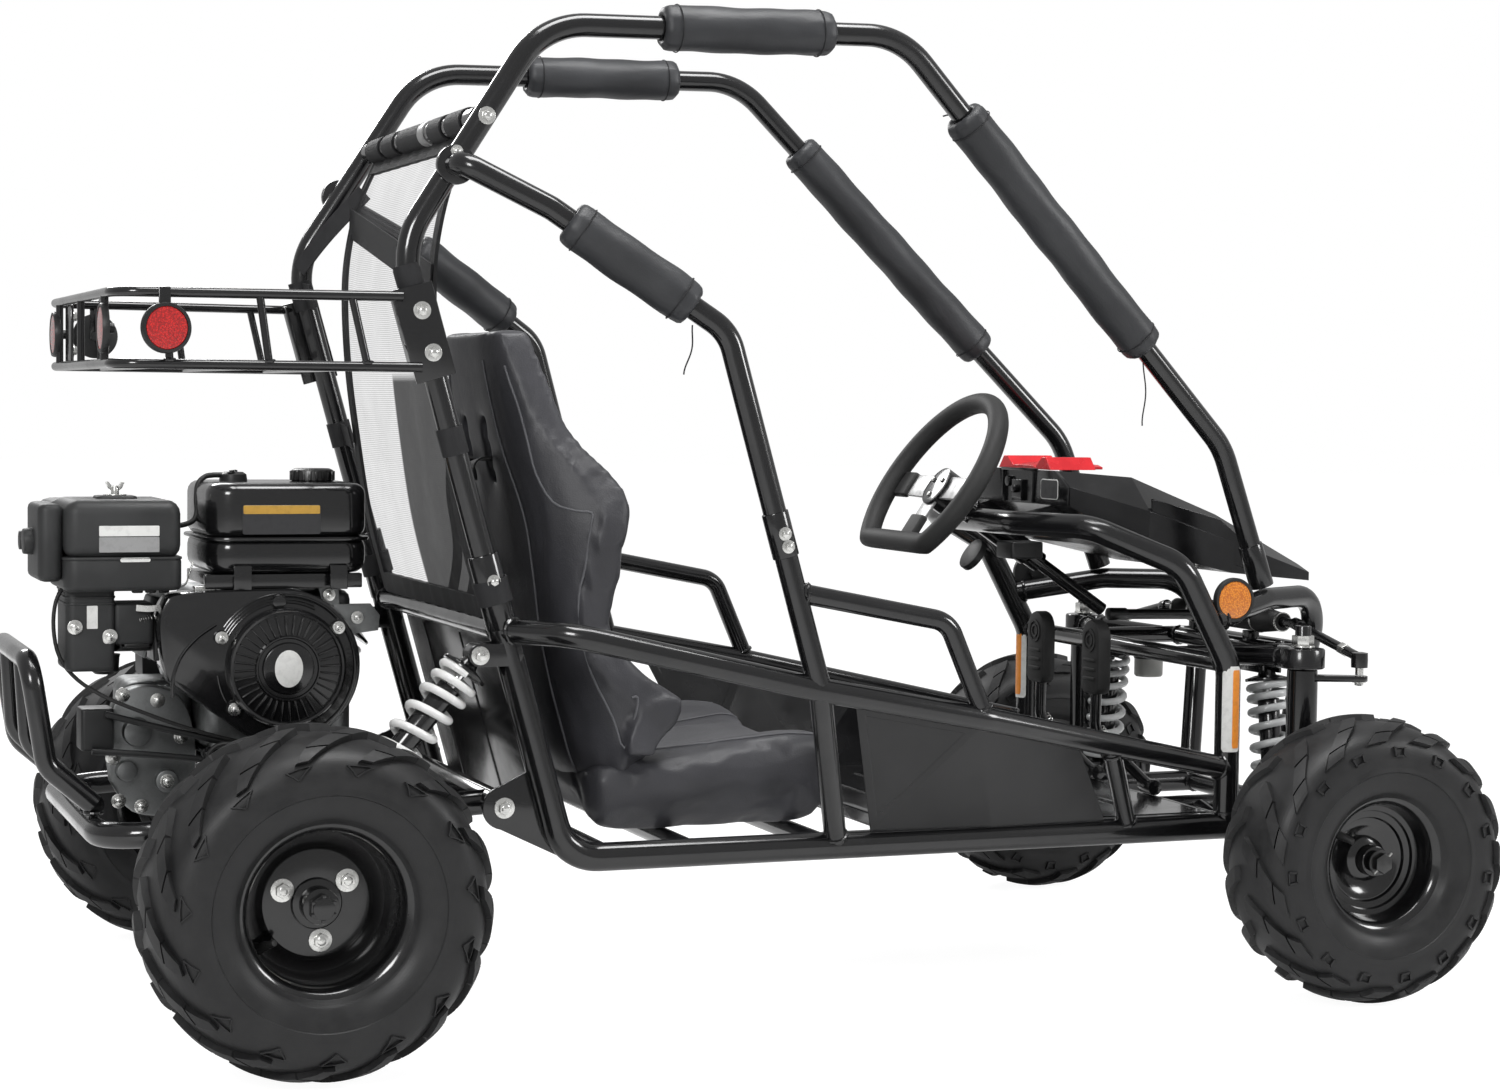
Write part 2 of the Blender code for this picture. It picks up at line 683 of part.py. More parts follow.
def main_frame():
    """Rails, posts and cross tubes, welded."""
    rail_front = place(FRONT_POST_STATION, RAIL_HALF_WIDTH, RAIL_HEIGHT)
    front_post = [
        rail_front,
        place(FRONT_POST_STATION, RAIL_HALF_WIDTH, FRONT_POST_BEND_HEIGHT),
        place(ARCH_SHOULDER_STATION, RAIL_HALF_WIDTH, ARCH_HEIGHT - ARCH_SHOULDER_DROP),
        place(ARCH_CORNER_STATION, ARCH_CORNER_HALF_WIDTH, ARCH_HEIGHT),
        place(ARCH_STATION, ARCH_CORNER_HALF_WIDTH / 2, ARCH_HEIGHT),
    ]
    stub_foot = across(side_rail_middle(), RAIL_HALF_WIDTH)
    stub_foot.z = RAIL_HEIGHT
    stub_foot.x += FOOT_LEAN
    bay_foot = place(BAY_POST_STATION, RAIL_HALF_WIDTH, RAIL_HEIGHT)
    rail = side_rail_points()
    bay_top = rail[3].lerp(rail[4], 0.5)
    splice = on_line(mid_corner(), side_rail_middle(), MID_SPLICE_HEIGHT - SPLICE_LENGTH / 2)
    grab_start = on_line(mid_corner(), side_rail_middle(), GRAB_START_HEIGHT)
    grab_corner = place(GRAB_CORNER_STATION, SIDE_RAIL_MIDDLE_HALF_WIDTH, GRAB_CORNER_HEIGHT)
    nose = nose_points()
    box_rear = place(PEDAL_CROSS_STATION, BOX_HALF_WIDTH, RAIL_HEIGHT)
    upper_rear = place(FRONT_POST_STATION, UPPER_BOX_HALF_WIDTH, UPPER_BOX_HEIGHT)
    upper_front = on_line(nose[2], nose[3], UPPER_BOX_HEIGHT)
    upper_front.y = UPPER_BOX_HALF_WIDTH
    column_start, column_end = column_housing_ends()
    pieces = [tube(bent(both_sides(front_post), TUBE_BEND), POST_RADIUS)]
    for side in (1, -1):
        flip = Vector((1, side, 1))
        runs = (
            (bent([on_post(SPLICE_HEIGHT), post_foot(), rail_front], TUBE_BEND), RAIL_RADIUS),
            (bent(rail, TUBE_BEND), SIDE_RADIUS),
            (bent([stub_foot, side_rail_middle(), splice], TIGHT_BEND), CAGE_RADIUS),
            (bent([grab_start, grab_corner, rail[3]], TIGHT_BEND), STUB_RADIUS),
            ([bay_foot, bay_top], STUB_RADIUS),
            (bent(nose, TUBE_BEND), SIDE_RADIUS),
            ([box_rear, nose[3]], SIDE_RADIUS),
            ([upper_rear, upper_front], STUB_RADIUS),
        )
        for points, radius in runs:
            pieces.append(tube([point * flip for point in points], radius))
    crosses = (
        (on_post(REAR_CROSS_HEIGHT), CAGE_RADIUS),
        (place(POST_FOOT_STATION + TUBE_BEND, RAIL_HALF_WIDTH, RAIL_HEIGHT), STUB_RADIUS),
        *((place(station, RAIL_HALF_WIDTH, RAIL_HEIGHT), STUB_RADIUS) for station in SEAT_CROSS_STATIONS),
        (place(PEDAL_CROSS_STATION, RAIL_HALF_WIDTH, RAIL_HEIGHT), STUB_RADIUS),
        (rail_front, CAGE_RADIUS),
        (place(FRONT_POST_STATION, RAIL_HALF_WIDTH, UPPER_BOX_HEIGHT), STUB_RADIUS),
        (nose[3], STUB_RADIUS),
        (upper_front, STUB_RADIUS),
    )
    for end, radius in crosses:
        inside = across(end, end.y - WELD_DEPTH)
        pieces.append(rod(inside, across(inside, -inside.y), radius))
    pieces += pivot_plates() + shock_ears() + rack_saddles() + fairing_brackets() + front_reflectors()
    pieces.append(rod(column_start, column_end, COLUMN_HOUSING_RADIUS, ROUND_SIDES))
    inner = (COLUMN_RADIUS + COLUMN_PLAY) / math.cos(math.pi / ROUND_SIDES)
    along = (column_end - column_start).normalized() * CUT_OVERRUN
    bore = rod(column_start - along, column_end + along, inner, ROUND_SIDES)
    return weld("main_frame", gloss_black(), pieces, [bore])


def pivot_plates():
    """The plates at the posts' feet that hold the swing arm's pivot."""
    made = []
    foot = post_foot()
    pivot = place(PIVOT_STATION, 0, PIVOT_HEIGHT)
    post = on_post(PIVOT_HEIGHT + 3 * PIVOT_RADIUS)
    outline = arc((pivot.x, pivot.z), 1.6 * PIVOT_RADIUS, 100, 260, 6)
    outline += [(foot.x, foot.z), (foot.x, pivot.z), (post.x, post.z)]
    for side in (1, -1):
        middle = side * (RAIL_HALF_WIDTH - PLATE_THICKNESS)
        made.append(plate(outline, PLATE_THICKNESS, side_frame(middle)))
    return made


def shock_ears():
    """The ears that hold the top eyes of the shock absorbers, with the bolts through them."""
    made = []
    top = place(REAR_SHOCK_TOP_STATION, REAR_SHOCK_HALF_WIDTH, REAR_SHOCK_TOP_HEIGHT)
    post = on_post(REAR_SHOCK_TOP_HEIGHT)
    front_top = place(WHEELBASE, FRONT_SHOCK_TOP_HALF_WIDTH, FRONT_SHOCK_TOP_HEIGHT)
    for side in (1, -1):
        for ear in (-1, 1):
            shift = ear * (EYE_WIDTH / 2 + FIT_GAP + PLATE_THICKNESS / 2)
            outline = arc((top.x, top.z), EYE_RADIUS, 90, 270, 4)
            outline += arc((post.x, top.z), EYE_RADIUS, -90, 90, 2)
            made.append(plate(outline, PLATE_THICKNESS, side_frame(side * (top.y + shift))))
            inner = UPPER_BOX_HALF_WIDTH + WELD_DEPTH
            outer = front_top.y + EYE_RADIUS
            middle = Vector((front_top.x + shift, side * (inner + outer) / 2, front_top.z))
            made.append(block(middle, (PLATE_THICKNESS, outer - inner, 2 * EYE_RADIUS)))
    return made


def rack_saddles():
    """The cross tube under the steering rack, with the two saddles that hold it."""
    middle = place(WHEELBASE + STEER_ARM_REACH, 0, UPPER_BOX_HEIGHT)
    end = across(middle, UPPER_BOX_HALF_WIDTH)
    made = [rod(end, across(end, -end.y), STUB_RADIUS)]
    top = RACK_HEIGHT - RACK_HOUSING_RADIUS - FIT_GAP
    for side in (1, -1):
        centre = Vector((middle.x, side * RACK_HALF_LENGTH * 0.7, (UPPER_BOX_HEIGHT + top) / 2))
        made.append(block(centre, (RACK_HOUSING_RADIUS, RACK_HOUSING_RADIUS, top - UPPER_BOX_HEIGHT)))
    return made


def fairing_brackets():
    """The upright plates on the dash arch that carry the nose fairing."""
    rear = place(ARCH_STATION, 0, ARCH_HEIGHT)
    front_station = FAIRING_REAR_STATION + BRACKET_REACH
    nose = place(front_station, 0, fairing_bottom(front_station))
    edge = place(FAIRING_REAR_STATION, 0, fairing_rear_bottom())
    outline = [
        (rear.x, rear.z - POST_RADIUS / 2),
        (rear.x, rear.z + POST_RADIUS / 2),
        (edge.x, edge.z - FIT_GAP),
        (nose.x, nose.z - FIT_GAP),
        (nose.x, rear.z - POST_RADIUS / 2),
    ]
    half = ARCH_CORNER_HALF_WIDTH * 0.4
    return [plate(outline, PLATE_THICKNESS, side_frame(side * half)) for side in (1, -1)]


def front_reflectors():
    """The round reflectors on the sides of the nose tubes, just ahead of the posts."""
    start, shoulder = nose_points()[:2]
    middle = start.lerp(shoulder, FRONT_REFLECTOR_SHARE)
    centre = Vector((middle.x, middle.y + SIDE_RADIUS / 2, REFLECTOR_HEIGHT))
    out = Vector((0, SIDE_RADIUS / 2 + REFLECTOR_THICKNESS, 0))
    made = []
    for side in (1, -1):
        flip = Vector((1, side, 1))
        made.append(rod(centre * flip, (centre + out) * flip, REFLECTOR_RADIUS, ROUND_SIDES))
    return made


def column_axis():
    return Vector((math.cos(COLUMN_SLOPE), 0, -math.sin(COLUMN_SLOPE)))


def wheel_centre():
    return place(WHEEL_STATION, 0, ARCH_HEIGHT + WHEEL_RISE)


def column_housing_ends():
    start = wheel_centre() + column_axis() * COLUMN_HOUSING_START
    return start, start + column_axis() * COLUMN_HOUSING_LENGTH


def hoop_points():
    top_rear = place(HOOP_TOP_REAR_STATION, HOOP_TOP_HALF_WIDTH, HOOP_TOP_REAR_HEIGHT)
    top_front = place(HOOP_TOP_FRONT_STATION, HOOP_TOP_HALF_WIDTH, HOOP_TOP_FRONT_HEIGHT)
    knee = place(HOOP_KNEE_STATION, HOOP_KNEE_HALF_WIDTH, HOOP_KNEE_HEIGHT)
    shoulder = nose_points()[1]
    foot = shoulder + (knee - shoulder).normalized() * (SIDE_RADIUS + FIT_GAP)
    foot.z += CAGE_RADIUS / 2
    return [on_post(SPLICE_HEIGHT + FIT_GAP), post_bend(), top_rear, top_front, knee, foot]


def cage_hoop():
    """The right half of the roll cage: one bent tube from the rear post over the roof to the nose."""
    points = [across(point, -point.y) for point in hoop_points()]
    hoop = tube(bent(points, HOOP_BEND), CAGE_RADIUS, TUBE_STEPS)
    nose = [across(point, -point.y) for point in nose_points()]
    seat = tube(bent(nose, TUBE_BEND), SIDE_RADIUS + FIT_GAP)
    return weld("cage_hoop_right", gloss_black(), [hoop], [seat])


def cage_cross_end():
    """The left end of the tube between the hoops."""
    points = hoop_points()
    end = points[1].lerp(points[2], CAGE_CROSS_SHARE)
    end.y -= CAGE_RADIUS + FIT_GAP
    return end


def cage_cross():
    """The cross tube bolted between the hoops, behind the driver's head."""
    end = cage_cross_end()
    return weld("cage_cross_tube", gloss_black(), [rod(end, across(end, -end.y), CAGE_RADIUS)])


def mid_bar():
    """The right bar from the rear hoop down beside the seat to its splice."""
    points = hoop_points()
    joint = points[1].lerp(points[2], MID_JOINT_SHARE)
    joint.y += CAGE_RADIUS + FIT_GAP
    shoulder = place(MID_SHOULDER_STATION, MID_SHOULDER_HALF_WIDTH, MID_SHOULDER_HEIGHT)
    splice = on_line(mid_corner(), side_rail_middle(), MID_SPLICE_HEIGHT - SPLICE_LENGTH / 2 + FIT_GAP)
    out = joint + Vector((0, TIGHT_BEND, 0))
    line = bent([joint, out, shoulder, mid_corner(), splice], TUBE_BEND)
    flip = Vector((1, -1, 1))
    bar = tube([point * flip for point in line], CAGE_RADIUS, TUBE_STEPS)
    disc_start = across(joint, -joint.y + WELD_DEPTH)
    disc_end = across(joint, -joint.y - WELD_DEPTH * 2)
    flange = rod(disc_start, disc_end, MID_FLANGE_RADIUS, ROUND_SIDES)
    hoop = [across(point, -point.y) for point in points]
    saddle = tube(bent(hoop, HOOP_BEND), CAGE_RADIUS + FIT_GAP, TUBE_STEPS)
    return weld("mid_bar_right", gloss_black(), [bar, flange], [saddle])


def sleeve(name, line, radius, start_share, end_share):
    """A padded sleeve round a tube's straight run."""
    start = line[0].lerp(line[1], start_share)
    end = line[0].lerp(line[1], end_share)
    flip = Vector((1, -1, 1))
    start, end = start * flip, end * flip
    outer = rod(start, end, PAD_RADIUS, ROUND_SIDES)
    along = (end - start).normalized() * CUT_OVERRUN
    inner = (radius + FIT_GAP) / math.cos(math.pi / ROUND_SIDES)
    bore = rod(start - along, end + along, inner, ROUND_SIDES)
    return weld(name, pad_cloth(), [outer], [bore])


def pads():
    """The six padded sleeves of the roll cage, right side first."""
    points = hoop_points()
    shoulder = place(MID_SHOULDER_STATION, MID_SHOULDER_HALF_WIDTH, MID_SHOULDER_HEIGHT)
    runs = (
        ("top_pad", points[2:4], 0.32, 0.80),
        ("front_pad", points[3:5], 0.18, 0.745),
        ("mid_pad", [shoulder, mid_corner()], 0.10, 0.80),
    )
    made = []
    for name, line, start, end in runs:
        right = sleeve(name + "_right", line, CAGE_RADIUS, start, end)
        made += [right, mirrored(right, name + "_left")]
    return made


def seat():
    """The bucket seat: a loft of cross-sections from the cushion's front edge to the top of the back."""
    bottom = RAIL_HEIGHT + STUB_RADIUS + SEAT_THICKNESS - 2 * FIT_GAP
    length = SEAT_FRONT_STATION - SEAT_BACK_STATION
    height = SEAT_TOP_HEIGHT - bottom
    points = []
    for along, up, _, _ in SEAT_SHARES:
        points.append(place(SEAT_BACK_STATION + length * along, 0, bottom + height * up))
    rows = []
    for i, (_, _, width, bolster) in enumerate(SEAT_SHARES):
        ahead = points[min(i + 1, len(points) - 1)] - points[max(i - 1, 0)]
        normal = Vector((ahead.z, 0, -ahead.x)).normalized()
        half = SEAT_HALF_WIDTH * width
        row = []
        for across_share, rise in SEAT_SECTION_SHARES:
            lift = normal * SEAT_BOLSTER * bolster * rise
            row.append(points[i] + Vector((0, half * across_share, 0)) + lift)
        rows.append(row)
    data = bpy.data.meshes.new("seat")
    width = len(rows[0])
    faces = []
    for i in range(len(rows) - 1):
        for j in range(width - 1):
            a = i * width + j
            faces.append((a, a + 1, a + width + 1, a + width))
    data.from_pydata([point for row in rows for point in row], [], faces)
    made = new_object("seat", data, None, CUTTERS)
    shell = made.modifiers.new("thickness", "SOLIDIFY")
    shell.thickness = SEAT_THICKNESS
    shell.offset = -1
    mesh = solid_mesh(made)
    shape = bmesh.new()
    shape.from_mesh(mesh)
    bmesh.ops.recalc_face_normals(shape, faces=shape.faces)
    shape.to_mesh(mesh)
    shape.free()
    smooth(mesh, math.radians(50))
    return new_object("seat", mesh, seat_cloth())


def rear_net():
    """The mesh sheet that hangs behind the seat."""
    top = cage_cross_end() * Vector((1, 0, 1)) - Vector((0, 0, CAGE_RADIUS + FIT_GAP))
    bottom = on_post(REAR_CROSS_HEIGHT) * Vector((1, 0, 1)) + Vector((0, 0, CAGE_RADIUS + FIT_GAP))
    outline = [(-NET_HALF_WIDTH, 0), (NET_HALF_WIDTH, 0), (NET_HALF_WIDTH, 1), (-NET_HALF_WIDTH, 1)]
    up = top - bottom
    side = Vector((0, 1, 0))
    frame = Matrix((side, up, side.cross(up).normalized())).transposed().to_4x4()
    sheet = plate(outline, NET_THICKNESS, Matrix.Translation(bottom) @ frame)
    return weld("rear_net", net_cloth(), [sheet])


def luggage_rack():
    """Two rod loops behind the cage, on bracket plates bolted to the posts."""
    pieces = []
    loops = []
    for height in (RACK_TOP_HEIGHT, RACK_TOP_HEIGHT - RACK_DEPTH):
        start = on_post(height)
        start.x -= CAGE_RADIUS + WELD_DEPTH
        start.y += CAGE_RADIUS + RACK_ROD_RADIUS
        corner = place(RACK_REAR_STATION, RACK_REAR_HALF_WIDTH, height)
        loops.append((start, corner))
        pieces.append(tube(bent(both_sides([start, corner]), TIGHT_BEND), RACK_ROD_RADIUS, 1))
    (top_start, top_corner), (low_start, low_corner) = loops
    for share in RACK_STATION_SHARES:
        for side in (1, -1):
            flip = Vector((1, side, 1))
            top = top_start.lerp(top_corner, share) * flip
            low = low_start.lerp(low_corner, share) * flip
            pieces.append(rod(low, top, RACK_ROD_RADIUS * RACK_BAR_SHARE))
    for share in RACK_STATION_SHARES:
        low = low_start.lerp(low_corner, share)
        pieces.append(rod(low, across(low, -low.y), RACK_ROD_RADIUS * RACK_BAR_SHARE))
    for share in (-0.75, 0, 0.75):
        top = across(top_corner, top_corner.y * share)
        pieces.append(rod(across(low_corner, top.y), top, RACK_ROD_RADIUS * RACK_BAR_SHARE))
    for side in (1, -1):
        middle = (top_start + low_start) / 2
        middle.y = RAIL_HALF_WIDTH + CAGE_RADIUS + FIT_GAP + PLATE_THICKNESS / 2
        centre = middle * Vector((1, side, 1))
        height = RACK_DEPTH + 2 * RACK_BRACKET_MARGIN
        size = (RACK_BRACKET_WIDTH, PLATE_THICKNESS, height)
        lean = post_bend() - post_foot()
        turn = Matrix.Rotation(math.atan2(lean.x, lean.z), 3, "Y")
        pieces.append(block(centre + Vector((CAGE_RADIUS, 0, 0)), size, turn))
        side_run = (top_corner.y - top_start.y) / (top_corner.x - top_start.x)
        top = top_start.lerp(top_corner, REFLECTOR_SHARE)
        aim = Vector((side_run, -1, 0)).normalized() * Vector((1, -1, 1))
        disc = top - Vector((0, 0, RACK_DEPTH / 2)) + aim * REFLECTOR_THICKNESS
        face = disc + aim * REFLECTOR_THICKNESS
        flip = Vector((1, side, 1))
        pieces.append(rod(disc * flip, face * flip, REFLECTOR_RADIUS, ROUND_SIDES))
        strap = (RACK_BRACKET_WIDTH / 3, 3 * RACK_ROD_RADIUS, RACK_DEPTH / 2)
        pieces.append(block(((top + disc) / 2) * flip, strap))
    return weld("luggage_rack", gloss_black(), pieces)


def rear_guard():
    """The bent tube guard behind the engine."""
    top_x = -GUARD_REACH + GUARD_RADIUS
    foot = place(SWING_REAR_STATION, GUARD_HALF_WIDTH, SWING_HEIGHT + SWING_RADIUS + FIT_GAP + GUARD_RADIUS)
    pieces = []
    inner_half = GUARD_HALF_WIDTH / 2
    inner_top = place(top_x, inner_half, GUARD_TOP_HEIGHT)
    inner_knee = place(-GUARD_UPRIGHT_REACH, inner_half, GUARD_UPRIGHT_HEIGHT)
    knee = place(-GUARD_KNEE_REACH, GUARD_HALF_WIDTH, GUARD_KNEE_HEIGHT)
    loop = [foot, knee, place(top_x, GUARD_HALF_WIDTH, GUARD_TOP_HEIGHT)]
    pieces.append(tube(bent(both_sides(loop), TIGHT_BEND), GUARD_RADIUS, TUBE_STEPS))
    for side in (1, -1):
        flip = Vector((1, side, 1))
        upright = [inner_top, inner_knee, across(foot, inner_half)]
        line = [point * flip for point in bent(upright, TIGHT_BEND)]
        pieces.append(tube(line, GUARD_RADIUS * GUARD_BAR_SHARE))
    foot.z -= WELD_DEPTH / 2
    pieces.append(rod(foot, across(foot, -foot.y), GUARD_RADIUS))
    saddle = tube(swing_line(), SWING_RADIUS + FIT_GAP)
    return weld("rear_guard", gloss_black(), pieces, [saddle])


def side_panel():
    """The right sheet panel between the side rail and the floor rail, beside the driver's legs."""
    flip = Vector((1, -1, 1))
    rail = side_rail_points()
    sections = []
    for station in PANEL_TOP_STATIONS:
        top_centre = at_station(rail, station)
        foot_centre = place(station + PANEL_LEAN, RAIL_HALF_WIDTH, RAIL_HEIGHT)
        run = at_station(rail, station + PANEL_LEAN / 4) - at_station(rail, station - PANEL_LEAN / 4)
        top = beside(top_centre, foot_centre, run.normalized(), SIDE_RADIUS + 3 * FIT_GAP)
        foot = beside(foot_centre, top_centre, Vector((1, 0, 0)), RAIL_RADIUS + FIT_GAP)
        out = Vector((0, SHEET_THICKNESS, 0))
        sections.append([point * flip for point in (top, top + out, foot + out, foot)])
    return weld("side_panel_right", satin_black(), [loft("panel", sections)])


def beside(centre, target, axis, distance):
    """The point at a distance from a tube's centre, square to its axis, on the side of a target."""
    aim = target - centre
    aim -= axis * aim.dot(axis)
    return centre + aim.normalized() * distance


def at_station(line, station):
    """The point of a line of points at this station."""
    x = place(station, 0, 0).x
    start, end = next((pair for pair in zip(line, line[1:]) if pair[0].x <= x <= pair[1].x), line[-2:])
    return start.lerp(end, (x - start.x) / (end.x - start.x))


def floor_pan():
    """The sheet floor under the driver's feet."""
    bottom = RAIL_HEIGHT + SIDE_RADIUS + FIT_GAP
    rear = place(FLOOR_REAR_STATION, 0, bottom)
    front = place(FRONT_POST_STATION - CAGE_RADIUS - CUT_OVERRUN, 0, bottom)
    half = RAIL_HALF_WIDTH - RAIL_RADIUS - FIT_GAP
    centre = (rear + front) / 2 + Vector((0, 0, SHEET_THICKNESS / 2))
    return weld("floor_pan", satin_black(), [block(centre, (front.x - rear.x, 2 * half, SHEET_THICKNESS))])


def crank_centre():
    return place(CRANK_STATION, 0, CRANK_HEIGHT)


def engine_base():
    return CRANK_HEIGHT - CRANK_TO_BASE


def case_top():
    return TANK_BOTTOM - TANK_RISE


def engine():
    """Crankcase, leaning finned cylinder and head, as one heavy block."""
    crank = crank_centre()
    front = crank.x + CRANKCASE_FRONT
    middle_y = (CRANKCASE_NEAR + CRANKCASE_FAR) / 2
    width = CRANKCASE_FAR - CRANKCASE_NEAR
    height = case_top() - engine_base()
    case_centre = Vector((front - CRANKCASE_LENGTH / 2, middle_y, engine_base() + height / 2))
    case = block(case_centre, (CRANKCASE_LENGTH, width, height), bevel=0.012)
    along = Vector((-math.cos(CYLINDER_LEAN), 0, math.sin(CYLINDER_LEAN)))
    pieces = [case]
    core_centre = crank + along * CYLINDER_REACH * 0.6 + Vector((0, middle_y, 0))
    turn = along.to_track_quat("X", "Z").to_matrix()
    pieces.append(block(core_centre, (CYLINDER_REACH, CYLINDER_SIZE * 0.8, CYLINDER_SIZE * 0.8), turn))
    for i in range(5):
        centre = crank + along * (CYLINDER_REACH * (0.66 + 0.09 * i)) + Vector((0, middle_y, 0))
        pieces.append(block(centre, (CYLINDER_REACH * 0.04, CYLINDER_SIZE * FIN_SHARE, CYLINDER_SIZE), turn))
    feet_size = (CRANKCASE_LENGTH * 0.9, width * 1.1, WELD_DEPTH * 2)
    feet_centre = Vector((case_centre.x, middle_y, engine_base() + WELD_DEPTH))
    pieces.append(block(feet_centre, feet_size))
    return weld("engine", cast_aluminium(), pieces)


def fan_shroud():
    """The round fan housing with its air duct over the cylinder and the recoil starter."""
    crank = crank_centre()
    near = CRANKCASE_NEAR - FIT_GAP
    outline = arc((crank.x, crank.z), SHROUD_RADIUS, -120, 90, 14)
    outline += [
        (crank.x - SHROUD_RADIUS * 1.35, crank.z + SHROUD_RADIUS * 0.98),
        (crank.x - SHROUD_RADIUS * 1.60, crank.z + SHROUD_RADIUS * 0.62),
        (crank.x - SHROUD_RADIUS * 1.52, crank.z - SHROUD_RADIUS * 0.10),
    ]
    housing = plate(outline, SHROUD_DEPTH, side_frame(near - SHROUD_DEPTH / 2))
    face = across(crank, near - SHROUD_DEPTH)
    profile = [
        (0, RECOIL_DEPTH),
        (RECOIL_RADIUS * 0.86, RECOIL_DEPTH),
        (RECOIL_RADIUS, RECOIL_DEPTH * 0.6),
        (RECOIL_RADIUS, -WELD_DEPTH),
        (0, -WELD_DEPTH),
    ]
    recoil = turned(profile, face, Vector((0, -1, 0)), WHEEL_STEPS)
    slots = []
    cover = face - Vector((0, RECOIL_DEPTH, 0))
    size = (RECOIL_RADIUS * 0.4, 2 * SLOT_DEPTH, SLOT_WIDTH)
    for i in range(RECOIL_SLOTS):
        turn = Matrix.Rotation(2 * math.pi * i / RECOIL_SLOTS, 3, "Y")
        slots.append(block(cover + turn @ Vector((RECOIL_RADIUS * 0.58, 0, 0)), size, turn))
    return weld("fan_shroud", gloss_black(), [housing, recoil], slots)


def fuel_tank():
    """The two pressed halves of the tank, their seam flange and the cap."""
    centre = place(TANK_STATION, TANK_CENTRE_Y, TANK_BOTTOM + TANK_HEIGHT / 2)
    shell = block(centre, (TANK_LENGTH, TANK_WIDTH, TANK_HEIGHT), bevel=0.018, segments=2)
    flange = block(centre, (TANK_LENGTH + 2 * TANK_FLANGE, TANK_WIDTH + 2 * TANK_FLANGE, TANK_FLANGE))
    top = centre + Vector((TANK_LENGTH * 0.26, TANK_WIDTH * 0.12, TANK_HEIGHT / 2 - WELD_DEPTH))
    cap = rod(top, top + Vector((0, 0, CAP_RADIUS * 0.7)), CAP_RADIUS, ROUND_SIDES)
    vent = centre + Vector((-TANK_LENGTH * 0.25, TANK_WIDTH * 0.1, TANK_HEIGHT / 2 - WELD_DEPTH))
    neck = rod(vent, vent + Vector((0, 0, CAP_RADIUS * 0.45)), CAP_RADIUS * 0.6, ROUND_SIDES)
    feet = []
    for end in (-0.3, 0.3):
        foot = centre + Vector((TANK_LENGTH * end, 0, -TANK_HEIGHT / 2 + WELD_DEPTH))
        feet.append(rod(foot, Vector((foot.x, foot.y, case_top() + FIT_GAP)), TANK_FOOT_RADIUS))
    return weld("fuel_tank", gloss_black(), [shell, flange, cap, neck, *feet])


def air_cleaner():
    """The air cleaner's box with its elbow and the carburettor below it."""
    centre = place(CLEANER_STATION, CLEANER_CENTRE_Y, CLEANER_BOTTOM + CLEANER_HEIGHT / 2)
    box = block(centre, (CLEANER_LENGTH, CLEANER_WIDTH, CLEANER_HEIGHT), bevel=0.012, segments=2)
    lid_top = centre + Vector((0, 0, CLEANER_HEIGHT / 2 - WELD_DEPTH))
    nut = rod(lid_top, lid_top + Vector((0, 0, 2 * WING_NUT_RADIUS)), WING_NUT_RADIUS)
    elbow_centre = centre + Vector((-CLEANER_LENGTH * 0.26, -CLEANER_WIDTH * 0.05, -CLEANER_HEIGHT * 0.9))
    elbow = block(elbow_centre, (CLEANER_LENGTH * 0.42, CLEANER_WIDTH * 0.6, CLEANER_HEIGHT), bevel=0.008)
    fins_near = (CRANKCASE_NEAR + CRANKCASE_FAR) / 2 - CYLINDER_SIZE * FIN_SHARE / 2
    size = (CARBURETTOR_LENGTH, CARBURETTOR_WIDTH, CARBURETTOR_WIDTH)
    elbow_front = elbow_centre.x + CLEANER_LENGTH * 0.2
    corner = Vector((elbow_front, fins_near - FIT_GAP, CRANK_HEIGHT))
    middle = corner + Vector((size[0], -size[1], size[2])) / 2
    return weld("air_cleaner", satin_black(), [box, nut, elbow, block(middle, size)])


def muffler():
    """The silencer's box on the far side of the air cleaner."""
    far = CLEANER_CENTRE_Y + CLEANER_WIDTH / 2 + FIT_GAP
    centre = place(CLEANER_STATION, far + MUFFLER_WIDTH / 2, CLEANER_BOTTOM + MUFFLER_HEIGHT / 2)
    box = block(centre, (MUFFLER_LENGTH, MUFFLER_WIDTH, MUFFLER_HEIGHT), bevel=0.016, segments=2)
    outlet_start = centre + Vector((-MUFFLER_LENGTH / 2 + WELD_DEPTH, 0, 0))
    outlet = rod(outlet_start, outlet_start - Vector((OUTLET_LENGTH, 0, 0)), OUTLET_RADIUS, ROUND_SIDES)
    return weld("muffler", satin_black(), [box, outlet])


def drive_cover():
    """The rounded cover of the belt drive on the engine's far side."""
    crank = crank_centre()
    near = CRANKCASE_FAR + FIT_GAP
    behind = (crank.x - COVER_REACH * 0.5, crank.z - COVER_REACH * 0.12)
    outline = arc((crank.x, crank.z), COVER_RADIUS, -100, 80, 8)
    outline += arc(behind, COVER_RADIUS * 0.9, 80, 260, 8)
    cover = plate(outline, COVER_DEPTH, side_frame(near + COVER_DEPTH / 2))
    return weld("drive_cover", satin_black(), [cover])


def swing_line():
    """The centre line of the swing arm's bent tube."""
    pivot = place(PIVOT_STATION, SWING_HALF_WIDTH, PIVOT_HEIGHT)
    rear = place(SWING_REAR_STATION, SWING_HALF_WIDTH, SWING_HEIGHT)
    knee = place(REAR_SHOCK_FOOT_STATION, SWING_HALF_WIDTH, SWING_HEIGHT + SWING_RADIUS)
    return bent(both_sides([pivot, knee, rear]), TUBE_BEND)


